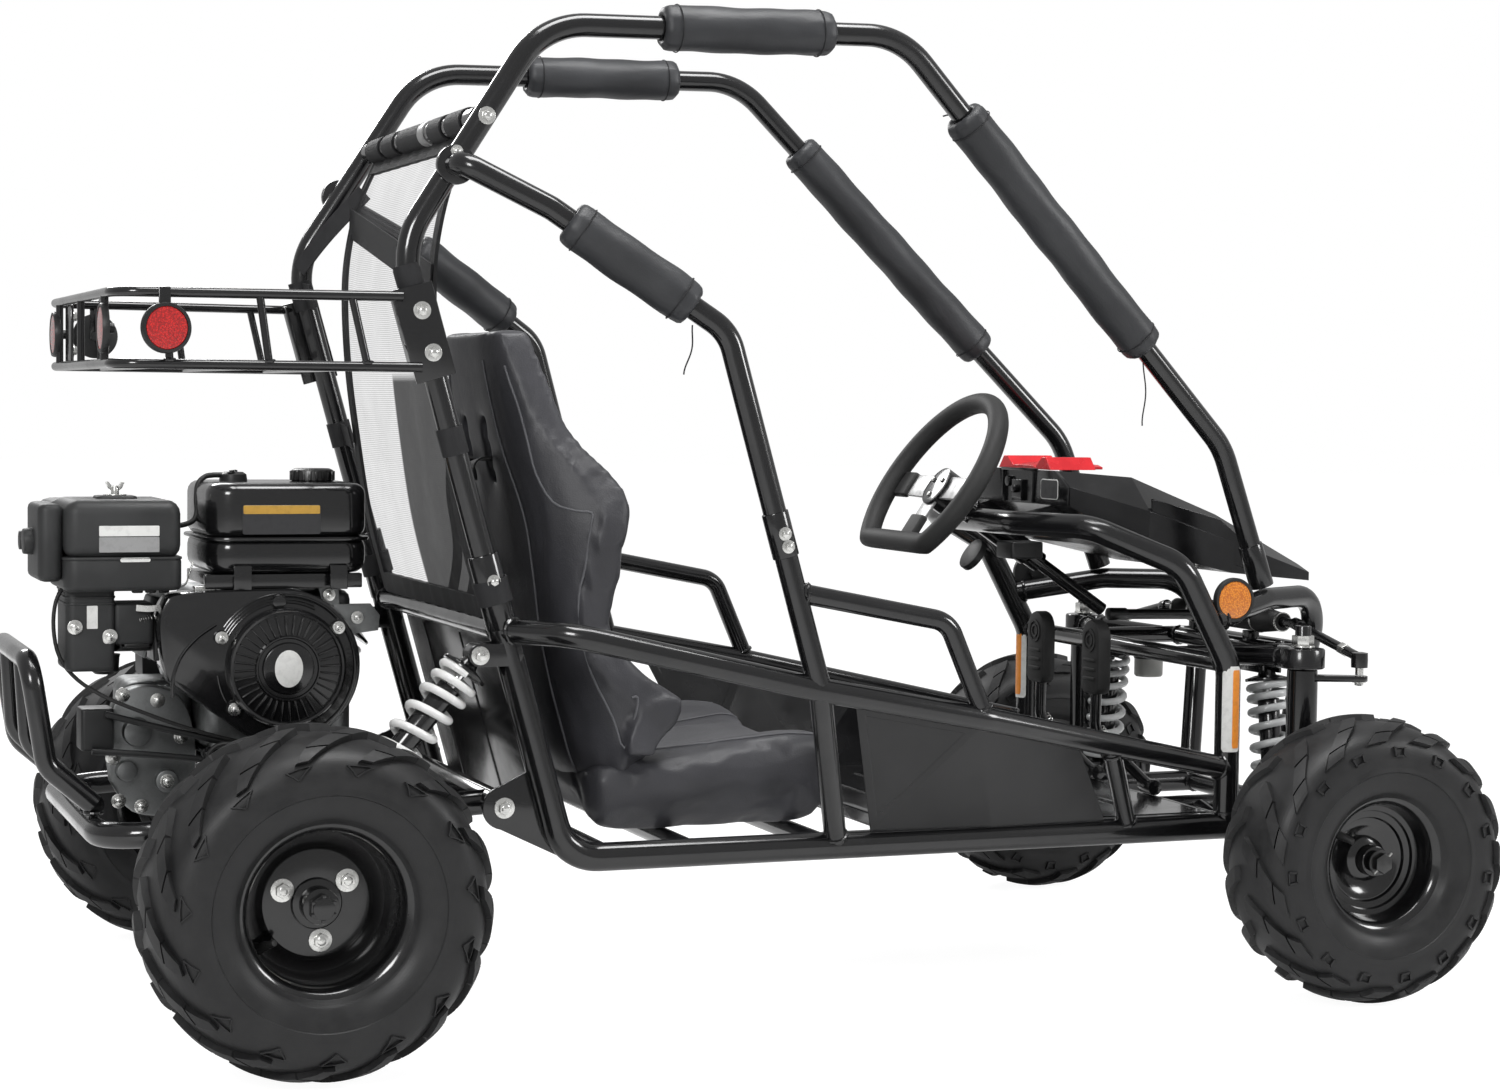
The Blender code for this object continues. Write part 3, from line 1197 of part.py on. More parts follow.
def swing_arm():
    """The rear swing arm: pivot tube, side tubes, engine plate and the axle's bearing housings."""
    pivot = place(PIVOT_STATION, SWING_HALF_WIDTH, PIVOT_HEIGHT)
    inner = RAIL_HALF_WIDTH - 1.5 * PLATE_THICKNESS - FIT_GAP
    pieces = [rod(across(pivot, -inner), across(pivot, inner), PIVOT_RADIUS, ROUND_SIDES)]
    pieces.append(tube(swing_line(), SWING_RADIUS))
    axle = place(0, 0, REAR_TYRE_RADIUS)
    for side in (1, -1):
        y = side * SWING_HALF_WIDTH
        hang = block(across(axle, y) + Vector((0, 0, BEARING_RADIUS * 0.7)), (0.06, BEARING_WIDTH, 0.06))
        start = across(axle, y - BEARING_WIDTH / 2)
        pieces += [hang, rod(start, across(axle, y + BEARING_WIDTH / 2), BEARING_RADIUS, ROUND_SIDES)]
        foot = place(REAR_SHOCK_FOOT_STATION, y, REAR_SHOCK_FOOT_HEIGHT)
        ear_y = side * (REAR_SHOCK_HALF_WIDTH - EYE_WIDTH / 2 - FIT_GAP)
        pieces.append(rod(foot, across(foot, ear_y), EYE_RADIUS))
        pieces.append(rod(foot, foot - Vector((0, 0, REAR_SHOCK_FOOT_HEIGHT - SWING_HEIGHT)), EYE_RADIUS))
    deck_top = engine_base() - FIT_GAP
    case_middle = CRANK_STATION + CRANKCASE_FRONT - CRANKCASE_LENGTH / 2
    deck_centre = place(case_middle, 0, deck_top - PLATE_THICKNESS / 2)
    deck = block(deck_centre, (CRANKCASE_LENGTH, 2 * SWING_HALF_WIDTH * 0.62, PLATE_THICKNESS))
    pieces.append(deck)
    for end in (-0.46, 0.4):
        for side in (1, -1):
            y = side * SWING_HALF_WIDTH * 0.55
            top = deck_centre + Vector((CRANKCASE_LENGTH * end, y, 0))
            low = Vector((top.x, side * SWING_HALF_WIDTH, SWING_HEIGHT))
            pieces.append(tube([low, top], SWING_RADIUS * 0.7))
    cut_half = SWING_HALF_WIDTH + BEARING_WIDTH
    bore = rod(across(axle, -cut_half), across(axle, cut_half), AXLE_RADIUS + AXLE_PLAY, ROUND_SIDES)
    pieces.append(block(place(CALIPER_STATION, DISC_Y, CALIPER_HEIGHT), CALIPER_SIZE, bevel=SHEET_THICKNESS))
    half = DISC_THICKNESS / 2 + CALIPER_PLAY
    reach = DISC_RADIUS + CALIPER_PLAY
    slot = rod(across(axle, DISC_Y - half), across(axle, DISC_Y + half), reach, 2 * WHEEL_STEPS)
    return weld("swing_arm", gloss_black(), pieces, [bore, slot])


def gearbox():
    """The cast reduction gearbox behind the engine, hung from the engine's deck."""
    centre = place(gearbox_station(), 0, GEARBOX_CENTRE_HEIGHT)
    case = block(centre, (GEARBOX_LENGTH, GEARBOX_WIDTH, GEARBOX_HEIGHT), bevel=0.016, segments=2)
    shaft = drive_shaft_centre()
    far = SPROCKET_Y + SPROCKET_THICKNESS / 2
    near = SPROCKET_Y - SPROCKET_THICKNESS / 2
    pieces = [case, rod(across(shaft, 0), across(shaft, far - FIT_GAP), DRIVE_SHAFT_RADIUS)]
    pieces.append(rod(across(shaft, near), across(shaft, far), DRIVE_SPROCKET_RADIUS, ROUND_SIDES))
    return weld("gearbox", cast_aluminium(), pieces)


def gearbox_station():
    return CRANK_STATION + CRANKCASE_FRONT - CRANKCASE_LENGTH - FIT_GAP - GEARBOX_LENGTH / 2


def drive_shaft_centre():
    return place(gearbox_station(), SPROCKET_Y, DRIVE_SHAFT_HEIGHT)


def drive_chain():
    """The chain round the axle's sprocket and the gearbox's small one, as one closed run."""
    axle = place(0, SPROCKET_Y, REAR_TYRE_RADIUS)
    shaft = drive_shaft_centre()
    large = SPROCKET_RADIUS + CHAIN_RADIUS + CHAIN_PLAY
    small = DRIVE_SPROCKET_RADIUS + CHAIN_RADIUS + CHAIN_PLAY / 4
    along = shaft - axle
    lean = math.degrees(math.atan2(along.z, along.x))
    wrap = 90 + math.degrees(math.asin((large - small) / along.length))
    line = arc((axle.x, axle.z), large, lean + 180 - wrap, lean + 180 + wrap, WHEEL_STEPS // 2)
    line += arc((shaft.x, shaft.z), small, lean - 180 + wrap, lean + 180 - wrap, 4)
    points = [Vector((x, SPROCKET_Y, z)) for x, z in line]
    return weld("drive_chain", bright_steel(), [tube(points, CHAIN_RADIUS, 0, cyclic=True)])


def rear_axle():
    """The live axle with its hubs, sprocket and brake disc, which turn together."""
    axle = place(0, 0, REAR_TYRE_RADIUS)
    hub_face = REAR_HALF_TRACK + REAR_RIM_WIDTH / 2 - REAR_DISH_DEPTH - RIM_WALL - FIT_GAP
    end = hub_face + AXLE_OVERHANG
    pieces = [rod(across(axle, -end), across(axle, end), AXLE_RADIUS, ROUND_SIDES)]
    for side in (1, -1):
        face = across(axle, side * hub_face)
        flange_back = across(axle, side * (hub_face - HUB_FLANGE_THICKNESS))
        hub_back = across(axle, side * (hub_face - HUB_LENGTH))
        pieces += [rod(flange_back, face, HUB_FLANGE_RADIUS, ROUND_SIDES)]
        pieces += [rod(hub_back, face - Vector((0, side * WELD_DEPTH / 2, 0)), HUB_RADIUS, ROUND_SIDES)]
    for y, radius, thickness in (
        (SPROCKET_Y, SPROCKET_RADIUS, SPROCKET_THICKNESS),
        (DISC_Y, DISC_RADIUS, DISC_THICKNESS),
    ):
        boss = HUB_RADIUS / 2
        pieces.append(rod(across(axle, y - boss), across(axle, y + boss), HUB_RADIUS, ROUND_SIDES))
        half = thickness / 2
        pieces.append(rod(across(axle, y - half), across(axle, y + half), radius, WHEEL_STEPS))
    return set_origin(weld("rear_axle", bright_steel(), pieces), axle)


def rim_profile(radius, width, dish, bore):
    """A dished steel rim: its half sections from the outer lip in to the bore and back."""
    half = width / 2
    outer = radius + RIM_FLANGE
    face = half - dish
    back = face - RIM_WALL
    drop = radius - RIM_FLANGE
    return [
        (outer, half),
        (outer, half - RIM_WALL),
        (drop, half - RIM_WALL - RIM_FLANGE),
        (drop, -half + RIM_WALL + RIM_FLANGE),
        (outer, -half + RIM_WALL),
        (outer, -half),
        (drop - RIM_WALL, -half + RIM_FLANGE),
        (drop - RIM_WALL, back),
        (bore, back),
        (bore, face),
        (drop - RIM_WALL, face),
        (drop - RIM_WALL, half - RIM_FLANGE),
    ]


def tyre_profile(radius, width, rim_radius, rim_width, lug):
    """Half a tyre's section from its crown out over the shoulder to the bead, under its lugs."""
    half = width / 2
    flats = math.cos(math.pi / (2 * LUG_COUNT))
    lip = (rim_radius + RIM_FLANGE) / flats
    seat = (rim_radius - RIM_FLANGE + FIT_GAP) / flats
    bead = rim_width / 2 - RIM_WALL - FIT_GAP
    height = radius - lug - rim_radius
    return [
        (radius - lug, half * 0.08),
        (rim_radius + height * 0.95, half * 0.50),
        (rim_radius + height * 0.78, half - lug),
        (rim_radius + height * 0.42, half),
        (lip, bead),
        (seat, bead - RIM_FLANGE),
    ]


def lugged_tyre(name, centre, profile, lug):
    """A closed tyre whose two rings of slanted lugs stand out of its tread in turn."""
    steps = 2 * LUG_COUNT
    shape = bmesh.new()
    rows = []
    for side in (1, -1):
        for row, (radius, half) in enumerate(profile):
            swept = LUG_SWEEP * min(row, 2) / 2
            ring_points = []
            for i in range(steps):
                angle = 2 * math.pi * i / steps - math.pi / 2 + swept
                point = Vector((radius * math.cos(angle), side * half, radius * math.sin(angle)))
                ring_points.append(shape.verts.new(centre + point))
            rows.append(ring_points)
    count = len(profile)
    order = list(reversed(range(count))) + list(range(count, 2 * count))
    lugs = []
    for near, far in zip(order, order[1:] + order[:1]):
        for i in range(steps):
            after = (i + 1) % steps
            face = shape.faces.new((rows[near][i], rows[near][after], rows[far][after], rows[far][i]))
            on_left = near < count and far < count
            outer = max(near % count, far % count)
            if near // count == far // count and outer <= 2 and i % 2 == (0 if on_left else 1):
                lugs.append(face)
    bmesh.ops.recalc_face_normals(shape, faces=shape.faces)
    grown = bmesh.ops.extrude_face_region(shape, geom=lugs)
    tops = [item for item in grown["geom"] if isinstance(item, bmesh.types.BMVert)]
    crown = profile[0][0]
    for vert in tops:
        from_centre = vert.co - centre
        radius = math.hypot(from_centre.x, from_centre.z)
        lift = lug if radius > crown - lug else lug * LUG_SHOULDER_SHARE
        scale = (radius + lift) / radius
        vert.co = centre + from_centre * Vector((scale, 1, scale))
        if radius < crown - 2 * lug:
            vert.co.y += math.copysign(lug / 2, from_centre.y)
    bmesh.ops.delete(shape, geom=lugs, context="FACES")
    bmesh.ops.recalc_face_normals(shape, faces=shape.faces)
    mesh = bpy.data.meshes.new(name)
    shape.to_mesh(mesh)
    shape.free()
    return new_object(name, mesh, None, CUTTERS)


def wheel(kind, centre, tyre, rim, dish, bore):
    """A right-hand tyre and rim."""
    axis = Vector((0, -1, 0))
    radius, width, lug = tyre
    rim_radius, rim_width = rim
    profile = tyre_profile(radius, width, rim_radius, rim_width, lug)
    casing = lugged_tyre(kind + "_casing", centre, profile, lug)
    shell = ring(rim_profile(rim_radius, rim_width, dish, bore), centre, axis, WHEEL_STEPS)
    rubber_part = set_origin(weld(kind + "_tyre_right", rubber(), [casing]), centre)
    steel_part = set_origin(weld(kind + "_rim_right", gloss_black(), [shell]), centre)
    return [rubber_part, steel_part]


def helix(start, end, radius, turns, steps=COIL_STEPS):
    """The points of a coil round the line between two points."""
    along = end - start
    turn = along.to_track_quat("Z", "Y").to_matrix()
    count = int(turns * steps)
    points = []
    for i in range(count + 1):
        angle = 2 * math.pi * turns * i / count
        spoke = turn @ Vector((radius * math.cos(angle), radius * math.sin(angle), 0))
        points.append(start + along * (i / count) + spoke)
    return points


def shock(name, top, foot, eye_axis):
    """A damper with eyes at both ends and a coil spring between its seats."""
    along = (foot - top).normalized()
    seat_top = top + along * EYE_RADIUS * 1.6
    seat_foot = foot - along * EYE_RADIUS * 1.8
    pieces = [rod(top, foot, ROD_RADIUS)]
    pieces.append(rod(seat_top.lerp(seat_foot, 0.40), seat_foot, DAMPER_RADIUS))
    for end in (top, foot):
        pieces.append(rod(end - eye_axis * EYE_WIDTH / 2, end + eye_axis * EYE_WIDTH / 2, EYE_RADIUS))
    for near, step in ((seat_top, along), (seat_foot, -along)):
        pieces.append(rod(near, near + step * COIL_WIRE_RADIUS, COIL_RADIUS + COIL_WIRE_RADIUS))
    coil_start = seat_top + along * COIL_WIRE_RADIUS
    coil_end = seat_foot - along * COIL_WIRE_RADIUS
    pieces.append(tube(helix(coil_start, coil_end, COIL_RADIUS, COIL_TURNS), COIL_WIRE_RADIUS, 0))
    return weld(name, spring_white(), pieces)


def shocks():
    flip = Vector((1, -1, 1))
    top = place(REAR_SHOCK_TOP_STATION, REAR_SHOCK_HALF_WIDTH, REAR_SHOCK_TOP_HEIGHT)
    foot = place(REAR_SHOCK_FOOT_STATION, REAR_SHOCK_HALF_WIDTH, REAR_SHOCK_FOOT_HEIGHT)
    rear = shock("rear_shock_right", top * flip, foot * flip, Vector((0, 1, 0)))
    top = place(WHEELBASE, FRONT_SHOCK_TOP_HALF_WIDTH, FRONT_SHOCK_TOP_HEIGHT)
    foot = place(WHEELBASE, FRONT_SHOCK_FOOT_HALF_WIDTH, FRONT_SHOCK_FOOT_HEIGHT)
    front = shock("front_shock_right", top * flip, foot * flip, Vector((1, 0, 0)))
    return [rear, mirrored(rear, "rear_shock_left"), front, mirrored(front, "front_shock_left")]


def kingpin(height):
    """The point of the right kingpin's upright axis at this height."""
    return place(WHEELBASE, -KINGPIN_HALF_WIDTH, height)


def wishbone(name, ring_bottom, pivot_half_width, pivot_height, rail_radius, with_shock):
    """A right-hand wishbone: the ring round the kingpin's stud and two legs to the frame."""
    low = kingpin(ring_bottom)
    middle = kingpin(ring_bottom + ARM_RING_HEIGHT / 2)
    bore = KINGPIN_STUD_RADIUS + STUD_PLAY
    top = ARM_RING_HEIGHT
    profile = [(ARM_RING_RADIUS, top), (ARM_RING_RADIUS, 0), (bore, 0), (bore, top)]
    pieces = [ring(profile, low, Vector((0, 0, 1)), ROUND_SIDES)]
    inner = pivot_half_width + rail_radius + FIT_GAP
    for end in (-1, 1):
        pivot = place(WHEELBASE + end * ARM_PIVOT_SPREAD, -inner, pivot_height)
        pieces.append(rod(pivot, middle.lerp(pivot, 0.12), ARM_RADIUS))
    extras = shock_seat(middle, pivot_half_width, pivot_height) if with_shock else []
    start = place(WHEELBASE - 2 * ARM_PIVOT_SPREAD, -pivot_half_width, pivot_height)
    end = place(WHEELBASE + 2 * ARM_PIVOT_SPREAD, -pivot_half_width, pivot_height)
    rail = rod(start, end, (rail_radius + FIT_GAP) / math.cos(math.pi / ROUND_SIDES), ROUND_SIDES)
    return weld(name, gloss_black(), pieces + extras, [rail])


def shock_seat(ring_middle, pivot_half_width, pivot_height):
    """The cross bar of a lower wishbone with two ears round the shock absorber's eye."""
    eye = place(WHEELBASE, -FRONT_SHOCK_FOOT_HALF_WIDTH, FRONT_SHOCK_FOOT_HEIGHT)
    share = (FRONT_SHOCK_FOOT_HALF_WIDTH - pivot_half_width) / (KINGPIN_HALF_WIDTH - pivot_half_width)
    bar_height = pivot_height + (ring_middle.z - pivot_height) * share
    bar = Vector((eye.x, eye.y, bar_height))
    reach = ARM_PIVOT_SPREAD * (1 - share) + ARM_RADIUS
    spread = Vector((reach, 0, 0))
    made = [rod(bar - spread, bar + spread, ARM_RADIUS * 0.8)]
    for side in (-1, 1):
        shift = side * (EYE_WIDTH / 2 + FIT_GAP + PLATE_THICKNESS / 2)
        middle = Vector((eye.x + shift, eye.y, (bar_height + eye.z + EYE_RADIUS) / 2))
        height = eye.z + EYE_RADIUS - bar_height
        made.append(block(middle, (PLATE_THICKNESS, 2 * EYE_RADIUS, height)))
    return made


def arms():
    upper = wishbone(
        "upper_arm_right", KINGPIN_TOP + STUD_PLAY, UPPER_BOX_HALF_WIDTH, UPPER_BOX_HEIGHT, STUB_RADIUS, False
    )
    ring_bottom = KINGPIN_BOTTOM - LOWER_STUD_LENGTH - ARM_RING_HEIGHT
    lower = wishbone("lower_arm_right", ring_bottom, BOX_HALF_WIDTH, RAIL_HEIGHT, SIDE_RADIUS, True)
    return [upper, mirrored(upper, "upper_arm_left"), lower, mirrored(lower, "lower_arm_left")]


def knuckle():
    """The right upright with its studs, spindle and steering arm."""
    stud_low = kingpin(KINGPIN_BOTTOM - LOWER_STUD_LENGTH - ARM_RING_HEIGHT - STUD_PLAY)
    nut_low = kingpin(KINGPIN_TOP + ARM_RING_HEIGHT + 2 * STUD_PLAY)
    nut_high = nut_low + Vector((0, 0, KINGPIN_NUT_HEIGHT))
    head = Vector((0, 0, KINGPIN_STUD_RADIUS))
    turned_parts = (
        (kingpin(KINGPIN_BOTTOM), kingpin(KINGPIN_TOP), KINGPIN_RADIUS),
        (stud_low - head / 2, nut_high, KINGPIN_STUD_RADIUS),
        (nut_low, nut_high + Vector((0, 0, STUD_PLAY)), KINGPIN_NUT_RADIUS),
        (stud_low - head, stud_low, KINGPIN_NUT_RADIUS),
    )
    pieces = [rod(start, end, radius, ROUND_SIDES) for start, end, radius in turned_parts]
    spindle = kingpin(FRONT_TYRE_RADIUS)
    pieces.append(rod(spindle, spindle - Vector((0, SPINDLE_LENGTH, 0)), SPINDLE_RADIUS, ROUND_SIDES))
    collar = FRONT_HALF_TRACK - KINGPIN_HALF_WIDTH - FRONT_HUB_LENGTH / 2 - STUD_PLAY
    pieces.append(rod(spindle, spindle - Vector((0, collar, 0)), SPINDLE_RADIUS * 1.6, ROUND_SIDES))
    centre = kingpin(0)
    tip = (centre.x + STEER_ARM_REACH, centre.y - STEER_ARM_SPREAD)
    outline = arc(tip, ROD_END_RADIUS, -90, 90, 4)
    outline += [(centre.x, centre.y + KINGPIN_RADIUS * 0.8), (centre.x, centre.y - KINGPIN_RADIUS * 0.8)]
    level = Matrix.Translation((0, 0, STEER_ARM_HEIGHT + STEER_ARM_THICKNESS / 2))
    pieces.append(plate(outline, STEER_ARM_THICKNESS, level))
    return set_origin(weld("knuckle_right", gloss_black(), pieces), kingpin(FRONT_TYRE_RADIUS))


def rod_end_point():
    return place(WHEELBASE + STEER_ARM_REACH, -KINGPIN_HALF_WIDTH - STEER_ARM_SPREAD, RACK_HEIGHT)


def steering_rack():
    """The rack's housing on the frame with a bellows at each end."""
    centre = place(WHEELBASE + STEER_ARM_REACH, 0, RACK_HEIGHT)
    end = across(centre, RACK_HALF_LENGTH)
    pieces = [rod(across(centre, -end.y), end, RACK_HOUSING_RADIUS, ROUND_SIDES)]
    reach = RACK_HALF_LENGTH + BELLOWS_LENGTH
    for side in (1, -1):
        start = across(centre, side * (RACK_HALF_LENGTH - WELD_DEPTH))
        tip = across(centre, side * reach)
        pieces.append(rod(start, tip, BELLOWS_RADIUS, ROUND_SIDES, BELLOWS_RADIUS * 0.7))
    bore_end = across(centre, reach + CUT_OVERRUN)
    bore = rod(across(centre, -bore_end.y), bore_end, TIE_ROD_RADIUS + BELLOWS_PLAY, ROUND_SIDES)
    return weld("steering_rack", satin_black(), pieces, [bore])


def rack_bar():
    """The sliding rack bar with a tie rod and rod end on each side."""
    centre = place(WHEELBASE + STEER_ARM_REACH, 0, RACK_HEIGHT)
    out = RACK_HALF_LENGTH + BELLOWS_LENGTH + RACK_TRAVEL + 2 * TIE_ROD_RADIUS
    pieces = [rod(across(centre, -out), across(centre, out), TIE_ROD_RADIUS)]
    stud_bottom = STEER_ARM_HEIGHT + STEER_ARM_THICKNESS + STUD_PLAY
    for side in (1, -1):
        flip = Vector((1, -side, 1))
        end = rod_end_point()
        end.z = stud_bottom + ROD_END_HEIGHT
        end = end * flip
        pieces.append(tube([across(centre, side * (out - TIE_ROD_RADIUS)), end], TIE_ROD_RADIUS))
        low = Vector((end.x, end.y, stud_bottom + ROD_END_HEIGHT * 0.35))
        pieces.append(rod(low, low + Vector((0, 0, ROD_END_HEIGHT)), ROD_END_RADIUS, ROUND_SIDES))
        stud = Vector((end.x, end.y, stud_bottom))
        pieces.append(rod(stud, low + Vector((0, 0, WELD_DEPTH)), ROD_END_RADIUS / 2))
    return weld("steering_rods", gloss_black(), pieces)


def steering_wheel():
    """The flat-bottomed wheel on its column."""
    axis = column_axis()
    centre = wheel_centre()
    side = Vector((0, 1, 0))
    up = axis.cross(side)
    if up.z < 0:
        up = -up
    flat = math.degrees(math.asin(STEERING_FLAT_SHARE))
    start = -flat
    end = 180 + flat
    ring_line = arc((0, 0), STEERING_WHEEL_RADIUS, start, end, WHEEL_STEPS)
    loop = [centre + side * x + up * y for x, y in ring_line]
    rim = tube(loop, STEERING_RIM_RADIUS, 2, cyclic=True)
    column = rod(centre, centre + axis * COLUMN_LENGTH, COLUMN_RADIUS, ROUND_SIDES)
    spokes = axis * SPOKE_SETBACK
    hub_end = spokes + axis * STEERING_HUB_LENGTH
    hub = rod(centre + spokes, centre + hub_end, COLUMN_RADIUS * 2.8, ROUND_SIDES)
    pieces = [rim, column, hub]
    reach = STEERING_WHEEL_RADIUS
    for angle in (0, 180, 270):
        share = STEERING_FLAT_SHARE if angle == 270 else 1
        turn = math.radians(angle)
        out = side * math.cos(turn) + up * math.sin(turn)
        cross = axis.cross(out)
        frame = Matrix((out, cross, axis)).transposed()
        length = reach * share
        middle = centre + spokes + out * length / 2
        pieces.append(block(middle, (length, SPOKE_WIDTH, SPOKE_THICKNESS), frame))
    return set_origin(weld("steering_wheel", satin_black(), pieces), centre)


def link_shaft():
    """The short shaft between the column's universal joint and the rack's pinion."""
    top = wheel_centre() + column_axis() * (COLUMN_LENGTH + COLUMN_RADIUS + FIT_GAP)
    centre = place(WHEELBASE + STEER_ARM_REACH, 0, RACK_HEIGHT)
    housing = RACK_HOUSING_RADIUS * math.cos(math.pi / ROUND_SIDES)
    end = centre - (centre - top).normalized() * (housing + 2 * FIT_GAP)
    shaft = rod(top, end, COLUMN_RADIUS, ROUND_SIDES)
    return set_origin(weld("steering_link_shaft", bright_steel(), [shaft]), top)


def pedal(name, y, material_of):
    """A pedal: an oval pad on a stem that stands on the pedal cross tube."""
    pad = place(PEDAL_STATION, y, PEDAL_PAD_CENTRE)
    outline = arc((0, PEDAL_PAD_HEIGHT / 2 - PEDAL_PAD_WIDTH / 2), PEDAL_PAD_WIDTH / 2, 0, 180, 8)
    half = PEDAL_PAD_WIDTH / 2
    outline += [(-half, -PEDAL_PAD_HEIGHT / 2), (half, -PEDAL_PAD_HEIGHT / 2)]
    upright = Matrix.Rotation(math.pi / 2, 4, "Z") @ Matrix.Rotation(math.pi / 2, 4, "X")
    frame = Matrix.Translation(pad) @ upright
    face = plate(outline, PEDAL_PAD_THICKNESS, frame)
    foot = place(FRONT_POST_STATION, y, RAIL_HEIGHT + CAGE_RADIUS + FIT_GAP + PEDAL_BARREL_RADIUS)
    stem = tube([pad, pad - Vector((0, 0, PEDAL_PAD_HEIGHT)), foot], PEDAL_STEM_RADIUS)
    reach = Vector((0, PEDAL_PAD_WIDTH / 3, 0))
    barrel = rod(foot - reach, foot + reach, PEDAL_BARREL_RADIUS)
    return weld(name, material_of(), [face, stem, barrel])


def brake_pedal():
    return pedal("brake_pedal", BRAKE_Y, satin_black)


def throttle_pedal():
    return pedal("throttle_pedal", THROTTLE_Y, satin_black)


def fairing_rear_bottom():
    return ARCH_HEIGHT + FAIRING_RISE


def fairing_fall():
    """How far the fairing's underside comes down from the dash to its tip on the nose tube."""
    return fairing_rear_bottom() - (NOSE_FRONT_HEIGHT + SIDE_RADIUS + FAIRING_SEAT_GAP)


def fairing_bottom(station):
    """The height of the fairing's underside between its dash and its widest section."""
    _, (along, _, _, under) = FAIRING_SHARES[:2]
    share = (station - FAIRING_REAR_STATION) / (along * (FAIRING_TIP_STATION - FAIRING_REAR_STATION))
    return fairing_rear_bottom() - fairing_fall() * under * share


def fairing_section(station, half, bottom, top):
    """A six-sided cross-section of the nose fairing."""
    shoulder = (top - bottom) * 0.45
    rows = ((-1, bottom), (-1, top - shoulder), (-0.72, top), (0.72, top), (1, top - shoulder), (1, bottom))
    return [place(station, half * share, height) for share, height in rows]


def loft(name, sections):
    """A closed solid through cross-sections with the same number of points."""
    count = len(sections[0])
    faces = [tuple(range(count)), tuple(reversed(range(count * (len(sections) - 1), count * len(sections))))]
    for i in range(len(sections) - 1):
        for j in range(count):
            a = i * count + j
            b = i * count + (j + 1) % count
            faces.append((a, a + count, b + count, b))
    data = bpy.data.meshes.new(name)
    data.from_pydata([point for section in sections for point in section], [], faces)
    shape = bmesh.new()
    shape.from_mesh(data)
    bmesh.ops.recalc_face_normals(shape, faces=shape.faces)
    shape.to_mesh(data)
    shape.free()
    return new_object(name, data, None, CUTTERS)


def nose_fairing():
    """The faceted nose with the dash at its rear end."""
    half = FAIRING_HALF_WIDTH
    length = FAIRING_TIP_STATION - FAIRING_REAR_STATION
    fall = fairing_fall() + FAIRING_DEPTH - FAIRING_TIP_DEPTH
    sections = []
    for along, width, down, under in FAIRING_SHARES:
        station = FAIRING_REAR_STATION + length * along
        bottom = fairing_rear_bottom() - fairing_fall() * under
        top = fairing_rear_bottom() + FAIRING_DEPTH - fall * down
        sections.append(fairing_section(station, half * width, bottom, top))
    return weld("nose_fairing", satin_black(), [loft("fairing", sections)])


def nose_top():
    """The red ridge that lies on the nose fairing."""
    base = fairing_rear_bottom() + FAIRING_DEPTH + FIT_GAP
    length = FAIRING_TIP_STATION - FAIRING_REAR_STATION
    sections = []
    for along, width, height in RIDGE_SHARES:
        half = FAIRING_HALF_WIDTH * width
        station = FAIRING_REAR_STATION + length * along
        sections.append(fairing_section(station, half, base, base + RIDGE_HEIGHT * height))
    return weld("nose_top", red_plastic(), [loft("ridge", sections)])


def build():
    made = [main_frame(), cage_cross(), seat(), rear_net(), luggage_rack(), rear_guard()]
    hoop = cage_hoop()
    bar = mid_bar()
    made += [hoop, mirrored(hoop, "cage_hoop_left"), bar, mirrored(bar, "mid_bar_left"), *pads()]
    made += [engine(), fan_shroud(), fuel_tank(), air_cleaner(), muffler(), drive_cover(), gearbox()]
    made += [swing_arm(), rear_axle(), drive_chain(), *shocks(), *arms()]
    rear_centre = place(0, -REAR_HALF_TRACK, REAR_TYRE_RADIUS)
    front_centre = place(WHEELBASE, -FRONT_HALF_TRACK, FRONT_TYRE_RADIUS)
    rear_tyre = (REAR_TYRE_RADIUS, REAR_TYRE_WIDTH, REAR_LUG_DEPTH)
    front_tyre = (FRONT_TYRE_RADIUS, FRONT_TYRE_WIDTH, FRONT_LUG_DEPTH)
    rear_rim = (REAR_RIM_RADIUS, REAR_RIM_WIDTH)
    front_rim = (FRONT_RIM_RADIUS, FRONT_RIM_WIDTH)
    wheels = wheel("rear", rear_centre, rear_tyre, rear_rim, REAR_DISH_DEPTH, REAR_BORE_RADIUS)
    front_bore = SPINDLE_RADIUS + STUD_PLAY
    wheels += wheel("front", front_centre, front_tyre, front_rim, FRONT_DISH_DEPTH, front_bore)
    steer = knuckle()
    made.append(floor_pan())
    for piece in (*wheels, steer, side_panel()):
        made += [piece, mirrored(piece, piece.name.replace("right", "left"))]
    made += [steering_rack(), rack_bar(), steering_wheel(), link_shaft()]
    made += [brake_pedal(), throttle_pedal(), nose_fairing(), nose_top()]
    return made


for old in list(bpy.data.objects):
    bpy.data.objects.remove(old)
PARTS = bpy.data.collections.new("off_road_go_kart")
CUTTERS = bpy.data.collections.new("cutters")
CUTTERS.hide_render = True
bpy.context.scene.collection.children.link(PARTS)
bpy.context.scene.collection.children.link(CUTTERS)
build()
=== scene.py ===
"""Off-road go-kart: finishes, tubes, tyres, soft goods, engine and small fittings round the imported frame.

Metres. A station is a distance ahead of the rear axle; pairs are given for the left side, y positive.
"""

